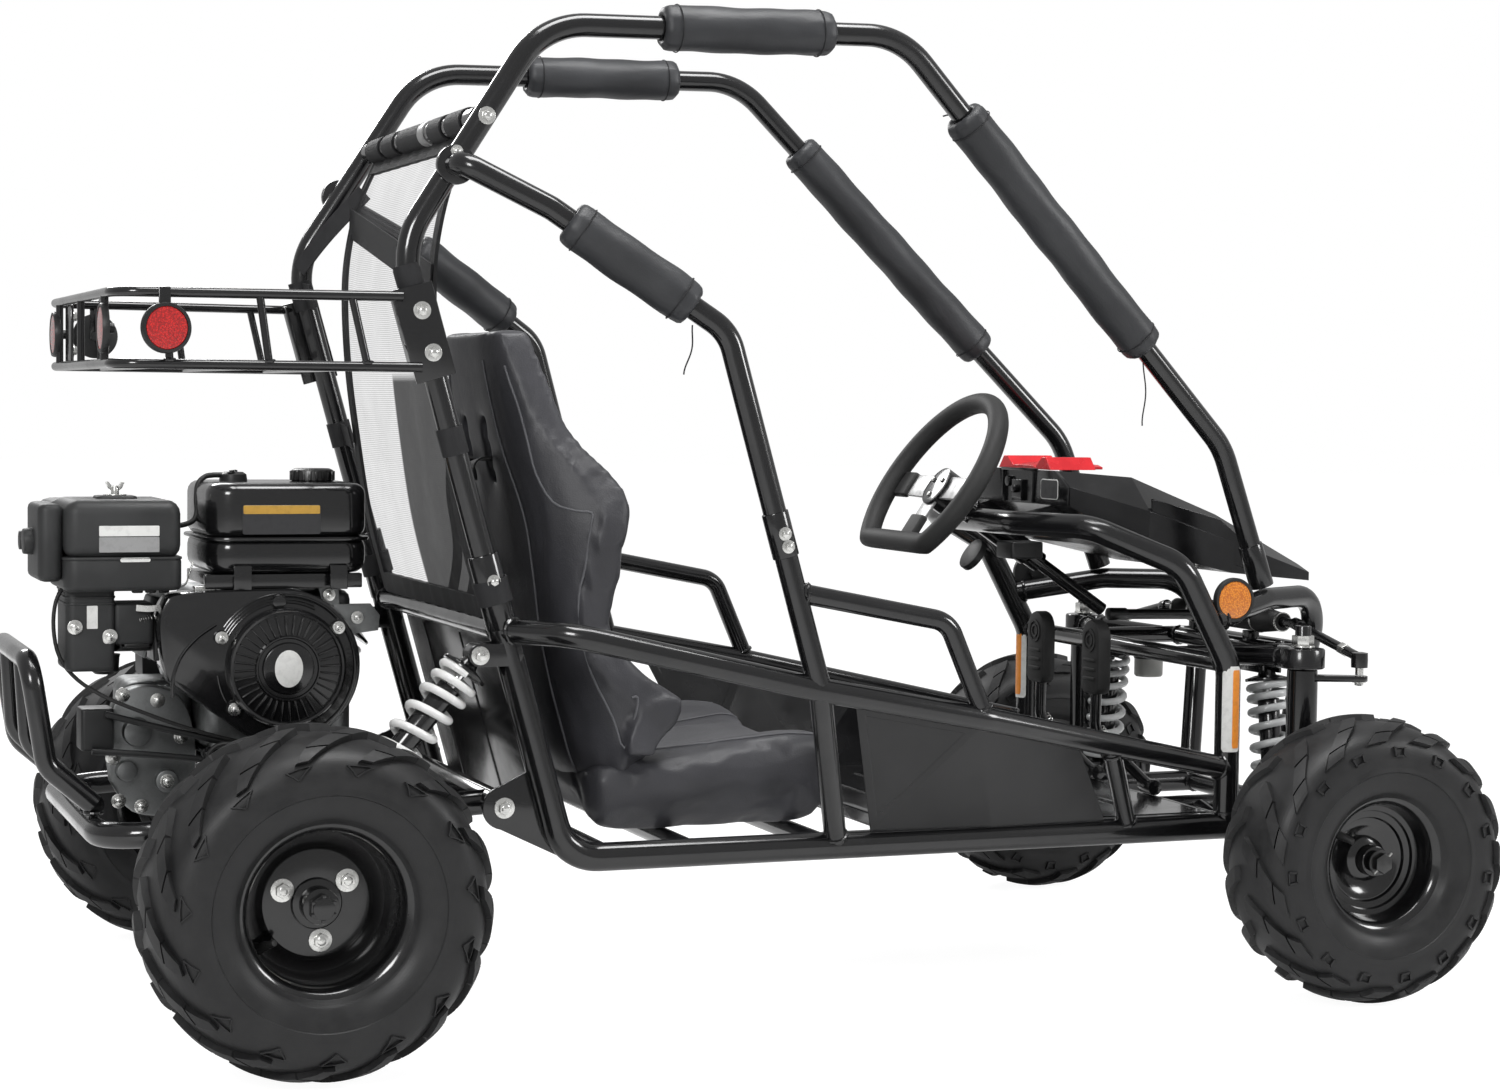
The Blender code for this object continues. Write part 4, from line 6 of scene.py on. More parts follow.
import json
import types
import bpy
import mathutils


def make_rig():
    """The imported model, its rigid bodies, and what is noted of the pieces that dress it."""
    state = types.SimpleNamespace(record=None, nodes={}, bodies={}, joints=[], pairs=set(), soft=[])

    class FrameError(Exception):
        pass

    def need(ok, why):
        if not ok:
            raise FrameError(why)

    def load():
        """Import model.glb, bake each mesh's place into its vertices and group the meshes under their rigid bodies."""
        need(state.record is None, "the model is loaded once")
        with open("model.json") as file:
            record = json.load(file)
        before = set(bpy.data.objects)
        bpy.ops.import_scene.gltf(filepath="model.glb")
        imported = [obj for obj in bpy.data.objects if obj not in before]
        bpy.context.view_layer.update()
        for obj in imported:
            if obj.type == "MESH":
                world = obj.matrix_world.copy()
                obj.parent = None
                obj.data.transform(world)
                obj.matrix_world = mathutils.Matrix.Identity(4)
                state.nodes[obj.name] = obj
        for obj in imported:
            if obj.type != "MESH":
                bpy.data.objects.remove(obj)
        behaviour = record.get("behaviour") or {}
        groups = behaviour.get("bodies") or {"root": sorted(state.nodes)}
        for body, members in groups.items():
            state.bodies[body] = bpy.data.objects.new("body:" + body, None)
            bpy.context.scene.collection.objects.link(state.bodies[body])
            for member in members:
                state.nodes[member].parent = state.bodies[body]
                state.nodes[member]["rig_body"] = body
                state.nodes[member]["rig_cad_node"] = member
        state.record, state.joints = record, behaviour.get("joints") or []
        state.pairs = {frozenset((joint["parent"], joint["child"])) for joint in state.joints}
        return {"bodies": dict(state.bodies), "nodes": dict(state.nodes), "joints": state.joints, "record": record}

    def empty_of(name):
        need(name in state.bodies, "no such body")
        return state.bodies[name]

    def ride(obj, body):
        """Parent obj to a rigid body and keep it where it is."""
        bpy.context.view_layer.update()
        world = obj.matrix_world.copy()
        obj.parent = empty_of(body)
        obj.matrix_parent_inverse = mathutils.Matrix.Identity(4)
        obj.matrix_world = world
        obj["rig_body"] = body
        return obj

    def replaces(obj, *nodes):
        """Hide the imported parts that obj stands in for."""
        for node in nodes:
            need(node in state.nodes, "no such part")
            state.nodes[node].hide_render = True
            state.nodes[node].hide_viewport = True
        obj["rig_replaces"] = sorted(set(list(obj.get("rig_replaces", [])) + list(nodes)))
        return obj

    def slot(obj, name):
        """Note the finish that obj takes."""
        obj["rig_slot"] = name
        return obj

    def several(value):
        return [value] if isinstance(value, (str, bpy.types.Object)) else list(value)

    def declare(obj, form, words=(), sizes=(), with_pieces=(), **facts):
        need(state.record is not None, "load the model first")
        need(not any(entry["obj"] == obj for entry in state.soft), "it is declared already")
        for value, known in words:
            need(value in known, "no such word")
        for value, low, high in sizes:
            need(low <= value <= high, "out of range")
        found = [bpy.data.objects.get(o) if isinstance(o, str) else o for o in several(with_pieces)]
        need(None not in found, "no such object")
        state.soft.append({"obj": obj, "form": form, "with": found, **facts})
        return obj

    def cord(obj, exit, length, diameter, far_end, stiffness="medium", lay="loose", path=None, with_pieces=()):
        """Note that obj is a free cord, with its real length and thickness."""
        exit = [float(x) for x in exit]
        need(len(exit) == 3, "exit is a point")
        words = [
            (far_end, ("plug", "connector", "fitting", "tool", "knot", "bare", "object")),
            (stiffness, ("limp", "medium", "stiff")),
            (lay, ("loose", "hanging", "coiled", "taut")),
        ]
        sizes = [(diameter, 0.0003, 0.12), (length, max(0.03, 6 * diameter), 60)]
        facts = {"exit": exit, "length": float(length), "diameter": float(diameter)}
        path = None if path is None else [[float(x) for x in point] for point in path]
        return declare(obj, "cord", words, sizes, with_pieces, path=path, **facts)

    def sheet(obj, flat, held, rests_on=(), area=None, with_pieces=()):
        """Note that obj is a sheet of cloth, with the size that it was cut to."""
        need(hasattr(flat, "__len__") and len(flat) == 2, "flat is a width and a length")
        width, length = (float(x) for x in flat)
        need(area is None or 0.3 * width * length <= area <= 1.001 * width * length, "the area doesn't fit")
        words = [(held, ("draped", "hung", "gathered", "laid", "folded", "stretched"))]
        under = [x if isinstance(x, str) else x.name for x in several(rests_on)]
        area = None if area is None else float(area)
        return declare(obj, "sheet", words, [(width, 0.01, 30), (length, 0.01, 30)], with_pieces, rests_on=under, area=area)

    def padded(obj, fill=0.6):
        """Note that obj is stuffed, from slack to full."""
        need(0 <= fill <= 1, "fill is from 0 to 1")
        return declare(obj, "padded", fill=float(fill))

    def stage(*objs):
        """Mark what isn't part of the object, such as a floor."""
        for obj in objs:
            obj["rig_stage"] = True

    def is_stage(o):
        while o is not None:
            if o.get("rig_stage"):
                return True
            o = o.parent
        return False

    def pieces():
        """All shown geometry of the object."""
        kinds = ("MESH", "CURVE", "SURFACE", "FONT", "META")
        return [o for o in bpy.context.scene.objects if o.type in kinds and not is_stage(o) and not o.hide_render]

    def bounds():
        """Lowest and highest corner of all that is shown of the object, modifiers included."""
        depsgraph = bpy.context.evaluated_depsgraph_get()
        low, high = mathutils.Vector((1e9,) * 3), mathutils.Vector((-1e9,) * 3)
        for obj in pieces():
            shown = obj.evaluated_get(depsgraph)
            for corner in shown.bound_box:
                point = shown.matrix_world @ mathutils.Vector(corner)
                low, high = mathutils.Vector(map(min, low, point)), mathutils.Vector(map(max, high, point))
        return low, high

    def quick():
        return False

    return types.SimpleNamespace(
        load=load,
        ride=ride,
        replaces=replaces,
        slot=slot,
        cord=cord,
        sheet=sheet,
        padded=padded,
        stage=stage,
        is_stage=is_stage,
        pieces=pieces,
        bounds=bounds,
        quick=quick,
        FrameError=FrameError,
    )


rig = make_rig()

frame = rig.load()
CAD_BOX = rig.bounds()

import json
from math import asin, atan2, copysign, cos, pi, radians, sin, tan, tau
import random

import bmesh
import bpy
from mathutils import Matrix, Vector, bvhtree, kdtree

MIDDLE_STATION = 0.6425
UP = Vector((0, 0, 1))
FORWARD = Vector((1, 0, 0))
LEFT = Vector((0, 1, 0))
SIDES = ("left", 1), ("right", -1)

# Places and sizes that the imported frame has
WHEELBASE = 1.391
REAR_TRACK = 0.448
FRONT_TRACK = 0.470
REAR_RADIUS = 0.203
FRONT_RADIUS = 0.189
RAIL_RADIUS = 0.018
POST_RADIUS = 0.017
CAGE_RADIUS = 0.0145
SIDE_RADIUS = 0.0155
STUB_RADIUS = 0.0125
RAIL_ACROSS = 0.300
RAIL_HEIGHT = 0.212
SIDE_ACROSS = 0.420
FRONT_POST = 1.284
ARM_ACROSS = 0.235
KINGPIN_ACROSS = 0.315
DASH_STATION = 1.116
COLUMN_LEAN = radians(34)

# Degrees past which an edge stays sharp, and how near two points are one
SMOOTH_ANGLE = 38
DRESSED_ANGLE = 32
FULLY_SMOOTH = 180
SAME_PLACE = 1e-6
QUARTER = pi / 2


def at(station, across, height):
    """A point by station, distance to the left and height."""
    return Vector((station - MIDDLE_STATION, across, height))


def flipped(point, side):
    """A point of the left side, on the side that is asked for."""
    return Vector((point[0], point[1] * side, point[2]))


def around(reach, angle):
    """A point at a distance and an angle round z."""
    return Vector((reach * cos(angle), reach * sin(angle), 0))


def spoke(reach, angle):
    """A point at a distance and an angle round y."""
    return Vector((reach * cos(angle), 0, reach * sin(angle)))


def turns(count):
    """Angles that share a full turn."""
    return [tau * i / count for i in range(count)]


class Value:
    """A number or colour in a finish's nodes; arithmetic on it adds Math nodes."""

    def __init__(self, finish, socket):
        self.finish = finish
        self.socket = socket

    def maths(self, operation, first, second=0.0):
        return self.finish.add("ShaderNodeMath", {"operation": operation}, {0: first, 1: second})

    def __add__(self, other):
        return self.maths("ADD", self, other)

    def __radd__(self, other):
        return self.maths("ADD", other, self)

    def __sub__(self, other):
        return self.maths("SUBTRACT", self, other)

    def __rsub__(self, other):
        return self.maths("SUBTRACT", other, self)

    def __mul__(self, other):
        return self.maths("MULTIPLY", self, other)

    def __rmul__(self, other):
        return self.maths("MULTIPLY", other, self)

    def __pow__(self, other):
        return self.maths("POWER", self, other)

    def __gt__(self, other):
        return self.maths("GREATER_THAN", self, other)


class Finish:
    """A procedural material round one Principled shader."""

    def __init__(self, name, colour, roughness, metallic=0.0, **sockets):
        self.material = bpy.data.materials.new(name)
        self.material.use_nodes = True
        self.tree = self.material.node_tree
        self.shader = self.tree.nodes["Principled BSDF"]
        self.material.diffuse_color = (*colour, 1.0)
        self.set(base_color=(*colour, 1.0), roughness=roughness, metallic=metallic, **sockets)

    def set(self, **sockets):
        """Gives the shader's sockets their values or links, by name."""
        for name, value in sockets.items():
            words = name.replace("_", " ").title().replace("Ior", "IOR")
            self.put(self.shader.inputs[words], value)
        return self

    def put(self, socket, value):
        if isinstance(value, Value):
            self.tree.links.new(value.socket, socket)
        else:
            socket.default_value = value

    def add(self, kind, settings=None, sockets=None, out=0):
        """A node with its settings made first, then the values or links of its sockets."""
        node = self.tree.nodes.new(kind)
        for name, value in (settings or {}).items():
            if name == "stops":
                self.fill_ramp(node.color_ramp, value)
            else:
                setattr(node, name, value)
        for key, value in (sockets or {}).items():
            self.put(node.inputs[key], value)
        return Value(self, node.outputs[out])

    @staticmethod
    def fill_ramp(ramp, stops):
        while len(ramp.elements) < len(stops):
            ramp.elements.new(1.0)
        for element, (place, colour) in zip(ramp.elements, stops):
            element.position = place
            element.color = (*colour, 1.0) if len(colour) == 3 else colour

    def place(self, centre=(0, 0, 0), turn=(0, 0, 0)):
        """Object coordinates about a centre."""
        point = self.add("ShaderNodeTexCoord", out=3)
        return self.add(
            "ShaderNodeMapping",
            {"vector_type": "TEXTURE"},
            {"Vector": point, "Location": centre, "Rotation": turn},
        )

    def noise(self, scale, detail=3.0, roughness=0.5, distortion=0.0):
        where = self.add("ShaderNodeTexCoord", out=3)
        sockets = {"Vector": where, "Scale": scale, "Detail": detail, "Roughness": roughness, "Distortion": distortion}
        return self.add("ShaderNodeTexNoise", None, sockets)

    def cells(self, scale, feature="F1", vector=None):
        where = vector or self.add("ShaderNodeTexCoord", out=3)
        return self.add("ShaderNodeTexVoronoi", {"feature": feature}, {"Vector": where, "Scale": scale})

    def steps(self, value, low, high):
        """The value's range from low to high spread over 0 to 1."""
        return self.add("ShaderNodeMapRange", None, {"Value": value, "From Min": low, "From Max": high})

    def mix(self, share, first, second):
        """A colour between two colours."""
        node = self.tree.nodes.new("ShaderNodeMix")
        node.data_type = "RGBA"
        for index, value in ((0, share), (6, first), (7, second)):
            if isinstance(value, tuple) and len(value) == 3:
                value = (*value, 1.0)
            self.put(node.inputs[index], value)
        return Value(self, node.outputs[2])

    def bump(self, height, strength, distance=0.001, under=None):
        sockets = {"Height": height, "Strength": strength, "Distance": distance}
        if under:
            sockets["Normal"] = under
        return self.add("ShaderNodeBump", None, sockets)


def enamel(name, colour, roughness, peel=0.05):
    """Sprayed gloss paint with a little orange peel, settled dust and handling haze."""
    made = Finish(name, colour, roughness, coat_roughness=0.06, specular_ior_level=0.42)
    haze = made.steps(made.noise(9, 4, 0.6), 0.42, 0.72)
    dust = made.steps(made.noise(140, 2, 0.6), 0.55, 0.80)
    pale = tuple(channel * 1.5 + 0.004 for channel in colour)
    made.set(base_color=made.mix(haze * 0.5 + dust * 0.3, colour, pale))
    made.set(roughness=roughness + haze * 0.10 + dust * 0.05, coat_weight=0.55 - haze * 0.25)
    return made.set(normal=made.bump(made.noise(650, 2, 0.4), peel, 0.0006))


def moulded(name, colour, roughness, grain=1400, depth=0.12):
    """Moulded plastic with a fine eroded grain."""
    made = Finish(name, colour, roughness, specular_ior_level=0.4)
    blotch = made.steps(made.noise(14, 3, 0.6), 0.40, 0.70)
    pale = tuple(channel * 1.45 + 0.003 for channel in colour)
    made.set(base_color=made.mix(blotch, colour, pale), roughness=roughness + blotch * 0.08)
    return made.set(normal=made.bump(made.cells(grain) + made.noise(grain / 2, 2) * 0.6, depth, 0.0004))


def metal(name, colour, roughness, grain=420, depth=0.06, metallic=1.0):
    """Plated or cast metal with fine grain and faint stains."""
    made = Finish(name, colour, roughness, metallic)
    stain = made.steps(made.noise(60, 4, 0.65), 0.45, 0.75)
    dark = tuple(channel * 0.62 for channel in colour)
    made.set(base_color=made.mix(stain * 0.7, colour, dark), roughness=roughness + stain * 0.18)
    return made.set(normal=made.bump(made.noise(grain, 4, 0.6), depth, 0.0006))


def leatherette(name, colour, roughness, grain=620, depth=0.30):
    """Coated upholstery cloth: pebbled grain, soft creases and a rubbed sheen."""
    made = Finish(name, colour, roughness, specular_ior_level=0.45)
    pebble = made.cells(grain, "SMOOTH_F1")
    crease = made.noise(26, 5, 0.62, distortion=0.6)
    rubbed = made.steps(made.noise(7, 3, 0.6), 0.38, 0.70)
    pale = tuple(channel * 1.35 + 0.004 for channel in colour)
    deep = tuple(channel * 0.80 for channel in colour)
    made.set(base_color=made.mix(rubbed * 0.8 + pebble * 0.3, deep, pale))
    made.set(roughness=roughness - rubbed * 0.10 + pebble * 0.08)
    fine = made.bump(pebble, depth, 0.0005)
    return made.set(normal=made.bump(crease, 0.22, 0.004, fine))


def tyre_rubber(name, centre, radius):
    """Moulded tyre rubber: dusty lug faces, dull sidewalls, fine mould rings."""
    made = Finish(name, (0.014, 0.014, 0.0145), 0.50, specular_ior_level=0.35)
    across_axis = made.add("ShaderNodeVectorMath", {"operation": "MULTIPLY"}, {0: made.place(centre), 1: (1, 0, 1)})
    reach = made.add("ShaderNodeVectorMath", {"operation": "LENGTH"}, {0: across_axis}, 1)
    tread = made.steps(reach, radius * 0.90, radius * 0.985)
    cloudy = made.steps(made.noise(22, 5, 0.65), 0.38, 0.72)
    base = made.mix(cloudy, (0.010, 0.010, 0.0105), (0.018, 0.018, 0.0185))
    made.set(base_color=made.mix(tread * cloudy, base, (0.026, 0.026, 0.0265)))
    made.set(roughness=0.42 + cloudy * 0.16 + tread * 0.10)
    rings = made.add("ShaderNodeMath", {"operation": "SINE"}, {0: reach * 2600})
    fine = made.bump(made.noise(420, 4, 0.6), 0.16, 0.0008)
    return made.set(normal=made.bump(rings * (1 - tread), 0.035, 0.0004, fine))


def webbing_cloth(name, colour, roughness):
    """Woven strap cloth: fine ribs with a duller weave between them."""
    made = Finish(name, colour, roughness, specular_ior_level=0.3)
    where = made.place()
    weave = made.add(
        "ShaderNodeTexWave", {"bands_direction": "DIAGONAL"}, {"Vector": where, "Scale": 900, "Distortion": 1.5}
    )
    worn = made.steps(made.noise(30, 4, 0.6), 0.4, 0.7)
    pale = tuple(channel * 1.6 + 0.003 for channel in colour)
    made.set(base_color=made.mix(worn * 0.6 + weave * 0.3, colour, pale), roughness=roughness + weave * 0.08)
    return made.set(normal=made.bump(weave, 0.35, 0.0005))


def net_cloth():
    """Fine mesh: see-through threads painted paler over the far half and the top, a painted light where the bright
    surround shows through, and painted shade over the near lower part as opaque black cloth.
    """
    made = Finish("rear_net_cloth", (0.030, 0.030, 0.032), 0.7, specular_ior_level=0.25)
    height = made.add("ShaderNodeSeparateXYZ", None, {0: made.place()}, 2)
    across = made.add("ShaderNodeSeparateXYZ", None, {0: made.place()}, 1)
    level = made.add("ShaderNodeMath", {"operation": "SINE"}, {0: height * 2400})
    thread = made.steps(level, -0.2, 1.0)
    other = made.steps(made.add("ShaderNodeMath", {"operation": "SINE"}, {0: across * 2400}), 0.5, 1.0)
    far = made.steps(across, -0.004, 0.004)
    high = made.steps(height, 0.800, 0.812)
    # Painted light and shade: 1 over the far half and the top, painted paler and see-through; 0 over the near lower
    # part, painted opaque black shade
    painted_light_share = 1 - (1 - far) * (1 - high)
    cloudy = made.steps(made.noise(18, 4, 0.6), 0.35, 0.75)
    open_share = 0.16 + thread * 0.22 + other * 0.10 + cloudy * 0.06
    # The painted shade is opaque and black, the painted light see-through and paler
    made.set(alpha=made.add("ShaderNodeMix", {"data_type": "FLOAT"}, {0: painted_light_share, 2: 0.93, 3: open_share}))
    made.set(base_color=made.mix(painted_light_share, (0.012, 0.012, 0.013), (0.10, 0.10, 0.105)))
    made.set(roughness=0.62 + cloudy * 0.15)
    return made.set(normal=made.bump(thread + other * 0.6 + cloudy * 0.8, 0.25, 0.0006))


def lens(name, colour, deep):
    """A prismatic reflector lens: small cells under a clear gloss skin."""
    made = Finish(name, colour, 0.12, coat_roughness=0.05, specular_ior_level=0.6)
    prisms = made.cells(420, "F1", made.place(turn=(0, 0, 0.6)))
    streak = made.steps(made.noise(40, 3, 0.6), 0.4, 0.7)
    made.set(base_color=made.mix(made.steps(prisms, 0.1, 0.7), colour, deep), coat_weight=0.8)
    made.set(roughness=0.10 + streak * 0.06)
    return made.set(normal=made.bump(prisms, 0.45, 0.0008))


def printed(name, colour):
    """A blank vinyl label: faint mottling and scuffed edges."""
    made = Finish(name, colour, 0.38, specular_ior_level=0.45)
    scuff = made.steps(made.noise(120, 4, 0.65), 0.46, 0.78)
    tired = tuple(channel * 0.80 for channel in colour)
    made.set(base_color=made.mix(scuff, colour, tired), roughness=0.38 + scuff * 0.14)
    return made.set(normal=made.bump(made.noise(380, 3), 0.05, 0.0003))


class Paints:
    """The kart's finishes by the maker's names, each with the record's slot that it belongs to."""

    frame_black = enamel("gloss_black_frame_enamel", (0.0045, 0.0045, 0.0050), 0.16), "gloss_black_paint"
    engine_black = enamel("gloss_black_engine_enamel", (0.0050, 0.0050, 0.0054), 0.17, 0.06), "gloss_black_paint"
    rim_black = enamel("gloss_black_rim_enamel", (0.0045, 0.0045, 0.0048), 0.18, 0.03), "gloss_black_paint"
    plastic = moulded("satin_black_moulded_plastic", (0.010, 0.0103, 0.0106), 0.38), "satin_black_plastic"
    gloss_plastic = moulded(
        "gloss_black_moulded_plastic", (0.0060, 0.0060, 0.0066), 0.18, 900, 0.03
    ), "satin_black_plastic"
    dull_plastic = moulded("charcoal_moulded_plastic", (0.018, 0.0186, 0.0190), 0.48, 1100, 0.22), "satin_black_plastic"
    red_plastic = moulded("red_moulded_plastic", (0.48, 0.010, 0.016), 0.26, 900, 0.04), "red_plastic"
    rubber = moulded("moulded_black_rubber", (0.012, 0.012, 0.012), 0.52, 700, 0.25), "black_rubber"
    grip = moulded("soft_grip_foam", (0.014, 0.014, 0.014), 0.62, 900, 0.40), "satin_black_plastic"
    cast = metal("sand_cast_aluminium", (0.20, 0.206, 0.206), 0.40, 900, 0.28, 0.9), "cast_aluminium"
    zinc = metal("bright_zinc_plate", (0.68, 0.68, 0.66), 0.24), "bright_steel"
    chrome = metal("polished_chrome", (0.80, 0.80, 0.80), 0.10, 300, 0.02), "bright_steel"
    dark_steel = metal("oiled_dark_steel", (0.075, 0.075, 0.075), 0.32), "bright_steel"
    brushed = metal("brushed_spoke_alloy", (0.30, 0.30, 0.30), 0.40, 240, 0.10), "bright_steel"
    white_coat = enamel("white_spring_coat", (0.78, 0.78, 0.77), 0.30), "white_spring"
    grey_coat = enamel("pale_grey_spring_coat", (0.50, 0.51, 0.51), 0.34), "white_spring"
    seat = leatherette("grey_seat_leatherette", (0.036, 0.036, 0.041), 0.47), "seat_leatherette"
    pad = leatherette("charcoal_pad_leatherette", (0.021, 0.022, 0.0245), 0.50, 800, 0.22), "pad_leatherette"
    seat_seam = leatherette("grey_seam_thread", (0.095, 0.096, 0.104), 0.52, 900), "seat_leatherette"
    webbing = webbing_cloth("black_woven_webbing", (0.014, 0.014, 0.015), 0.62), "net_cloth"
    net = net_cloth(), "net_cloth"
    amber_lens = lens("amber_lens", (0.86, 0.30, 0.015), (0.52, 0.13, 0.004)), None
    red_lens = lens("red_lens", (0.62, 0.012, 0.010), (0.28, 0.003, 0.004)), None
    label_white = printed("blank_white_label", (0.74, 0.74, 0.72)), None
    label_grey = printed("blank_grey_label", (0.30, 0.30, 0.30)), None
    label_dark = printed("blank_dark_label", (0.030, 0.030, 0.032)), None
    label_gold = printed("blank_gold_label", (0.52, 0.30, 0.05)), None
    label_orange = printed("blank_orange_label", (0.80, 0.27, 0.03)), None
    panel_black = moulded("gloss_black_side_panel", (0.0075, 0.0075, 0.008), 0.16, 500, 0.02), "satin_black_plastic"
    grey_cup = moulded("milky_reservoir_cup", (0.42, 0.42, 0.40), 0.30, 500, 0.05), None


SENSOR_WIDTH = 36
FOCAL_PIXELS = 2817.74
PHOTO_PIXELS = 1500


def camera():
    """The photograph's viewpoint."""
    yaw, pitch, roll = (radians(angle) for angle in (21.172, -2.934, 0.646))
    aim = Vector((sin(yaw) * cos(pitch), cos(yaw) * cos(pitch), sin(pitch)))
    level = Vector((cos(yaw), -sin(yaw), 0))
    rise = level.cross(aim)
    right = level * cos(roll) + rise * sin(roll)
    top = rise * cos(roll) - level * sin(roll)
    data = bpy.data.cameras.new("camera")
    data.sensor_width = SENSOR_WIDTH
    data.lens = SENSOR_WIDTH * FOCAL_PIXELS / PHOTO_PIXELS
    made = bpy.data.objects.new("camera", data)
    turn = Matrix((right, top, -aim)).transposed().to_4x4()
    made.matrix_world = Matrix.Translation(at(-0.6946, -3.6106, 0.7808)) @ turn
    bpy.context.scene.collection.objects.link(made)
    bpy.context.scene.camera = made


def seen(tree):
    """Light Path's camera ray, or a weaker share for glossy and transmitted rays."""
    path = tree.nodes.new("ShaderNodeLightPath")
    total = path.outputs["Is Camera Ray"]
    for name, share in (("Is Glossy Ray", 0.30), ("Is Transmission Ray", 0.9)):
        node = tree.nodes.new("ShaderNodeMath")
        node.operation = "MULTIPLY_ADD"
        node.use_clamp = True
        tree.links.new(path.outputs[name], node.inputs[0])
        node.inputs[1].default_value = share
        tree.links.new(total, node.inputs[2])
        total = node.outputs[0]
    return total


def surround():
    """The white surround, weaker as a light and in reflections."""
    world = bpy.data.worlds.new("studio")
    bpy.context.scene.world = world
    world.use_nodes = True
    tree = world.node_tree
    background = tree.nodes["Background"]
    strength = tree.nodes.new("ShaderNodeMapRange")
    tree.links.new(seen(tree), strength.inputs["Value"])
    strength.inputs["To Min"].default_value = 0.26
    strength.inputs["To Max"].default_value = 1.0
    tree.links.new(strength.outputs[0], background.inputs["Strength"])
    background.inputs["Color"].default_value = (1, 1, 1, 1)


def floor():
    """The pale round floor, which keeps the kart's shadow."""
    shape = bmesh.new()
    bmesh.ops.create_circle(shape, cap_ends=True, segments=96, radius=30)
    mesh = bpy.data.meshes.new("studio_floor")
    shape.to_mesh(mesh)
    shape.free()
    made = bpy.data.objects.new("studio_floor", mesh)
    bpy.context.scene.collection.objects.link(made)
    made.location.z = -0.0005
    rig.stage(made)
    white = bpy.data.materials.new("white_floor")
    white.use_nodes = True
    tree = white.node_tree
    matt = tree.nodes["Principled BSDF"]
    matt.inputs["Base Color"].default_value = (0.86, 0.86, 0.86, 1)
    matt.inputs["Roughness"].default_value = 0.8
    glow = tree.nodes.new("ShaderNodeEmission")
    glow.inputs["Strength"].default_value = 1.32
    both = tree.nodes.new("ShaderNodeMixShader")
    scaled = tree.nodes.new("ShaderNodeMath")
    scaled.operation = "MULTIPLY"
    scaled.inputs[1].default_value = 0.72
    tree.links.new(seen(tree), scaled.inputs[0])
    tree.links.new(scaled.outputs[0], both.inputs[0])
    tree.links.new(matt.outputs[0], both.inputs[1])
    tree.links.new(glow.outputs[0], both.inputs[2])
    tree.links.new(both.outputs[0], tree.nodes["Material Output"].inputs[0])
    mesh.materials.append(white)


def lamps():
    """Four soft lamps: each one's place, target, width, height and power."""
    for name, spot, target, width, height, power in (
        ("top_lamp", (0.1, -0.6, 3.4), (0.0, 0.0, 0.4), 2.2, 1.1, 92),
        ("near_lamp", (-2.6, -3.2, 2.2), (0.0, 0.0, 0.5), 1.1, 1.1, 76),
        ("front_lamp", (3.2, -2.2, 2.0), (0.3, 0.0, 0.5), 1.0, 1.0, 52),
        ("back_lamp", (-0.8, 3.4, 2.6), (0.0, 0.0, 0.6), 1.6, 0.9, 62),
    ):
        data = bpy.data.lights.new(name, "AREA")
        data.shape = "RECTANGLE"
        data.size = width
        data.size_y = height
        data.energy = power
        lamp = bpy.data.objects.new(name, data)
        lamp.location = spot
        lamp.rotation_euler = (Vector(target) - Vector(spot)).to_track_quat("-Z", "Y").to_euler()
        bpy.context.scene.collection.objects.link(lamp)


def studio():
    """The surround, the floor and the lamps."""
    surround()
    floor()
    lamps()
    bpy.context.scene.view_settings.view_transform = "Standard"


def rounded(points, radius, step=radians(7)):
    """The points of a line with each corner turned into an arc."""
    line = [points[0]]
    for before, corner, after in zip(points, points[1:], points[2:]):
        back = (before - corner).normalized()
        ahead = (after - corner).normalized()
        half = back.angle(ahead) / 2
        room = 0.48 * min((before - corner).length, (after - corner).length)
        used = min(radius / tan(half), room)
        centre = corner + (back + ahead).normalized() * used / cos(half)
        start = corner + back * used - centre
        turn = pi - 2 * half
        count = max(2, round(turn / step))
        axis = start.cross(corner + ahead * used - centre).normalized()
        line += [centre + Matrix.Rotation(turn * i / count, 3, axis) @ start for i in range(count + 1)]
    return line + [points[-1]]


def curved(points, steps=6):
    """A smooth line through all the points."""
    ends = [points[0] * 2 - points[1], *points, points[-1] * 2 - points[-2]]
    line = [points[0]]
    for a, b, c, d in zip(ends, ends[1:], ends[2:], ends[3:]):
        for i in range(1, steps + 1):
            t = i / steps
            line.append(
                (b * 2 + (c - a) * t + (a * 2 - b * 5 + c * 4 - d) * t**2 + (b * 3 - a - c * 3 + d) * t**3) / 2
            )
    return line


def on_line(start, end, height):
    """The point at a height on the line through two points."""
    return start.lerp(end, (height - start.z) / (end.z - start.z))


def facing(axis):
    """A turn that takes z to this direction."""
    return axis.to_track_quat("Z", "Y").to_matrix().to_4x4()


def bevelled(made, edges, width):
    """Rounds the edges of a mesh in the making."""
    bmesh.ops.bevel(made, geom=edges, offset=width, segments=2, affect="EDGES", profile=0.5, material=-1)


def is_level(edge):
    """Whether an edge lies level."""
    return abs(edge.verts[0].co.z - edge.verts[1].co.z) < SAME_PLACE


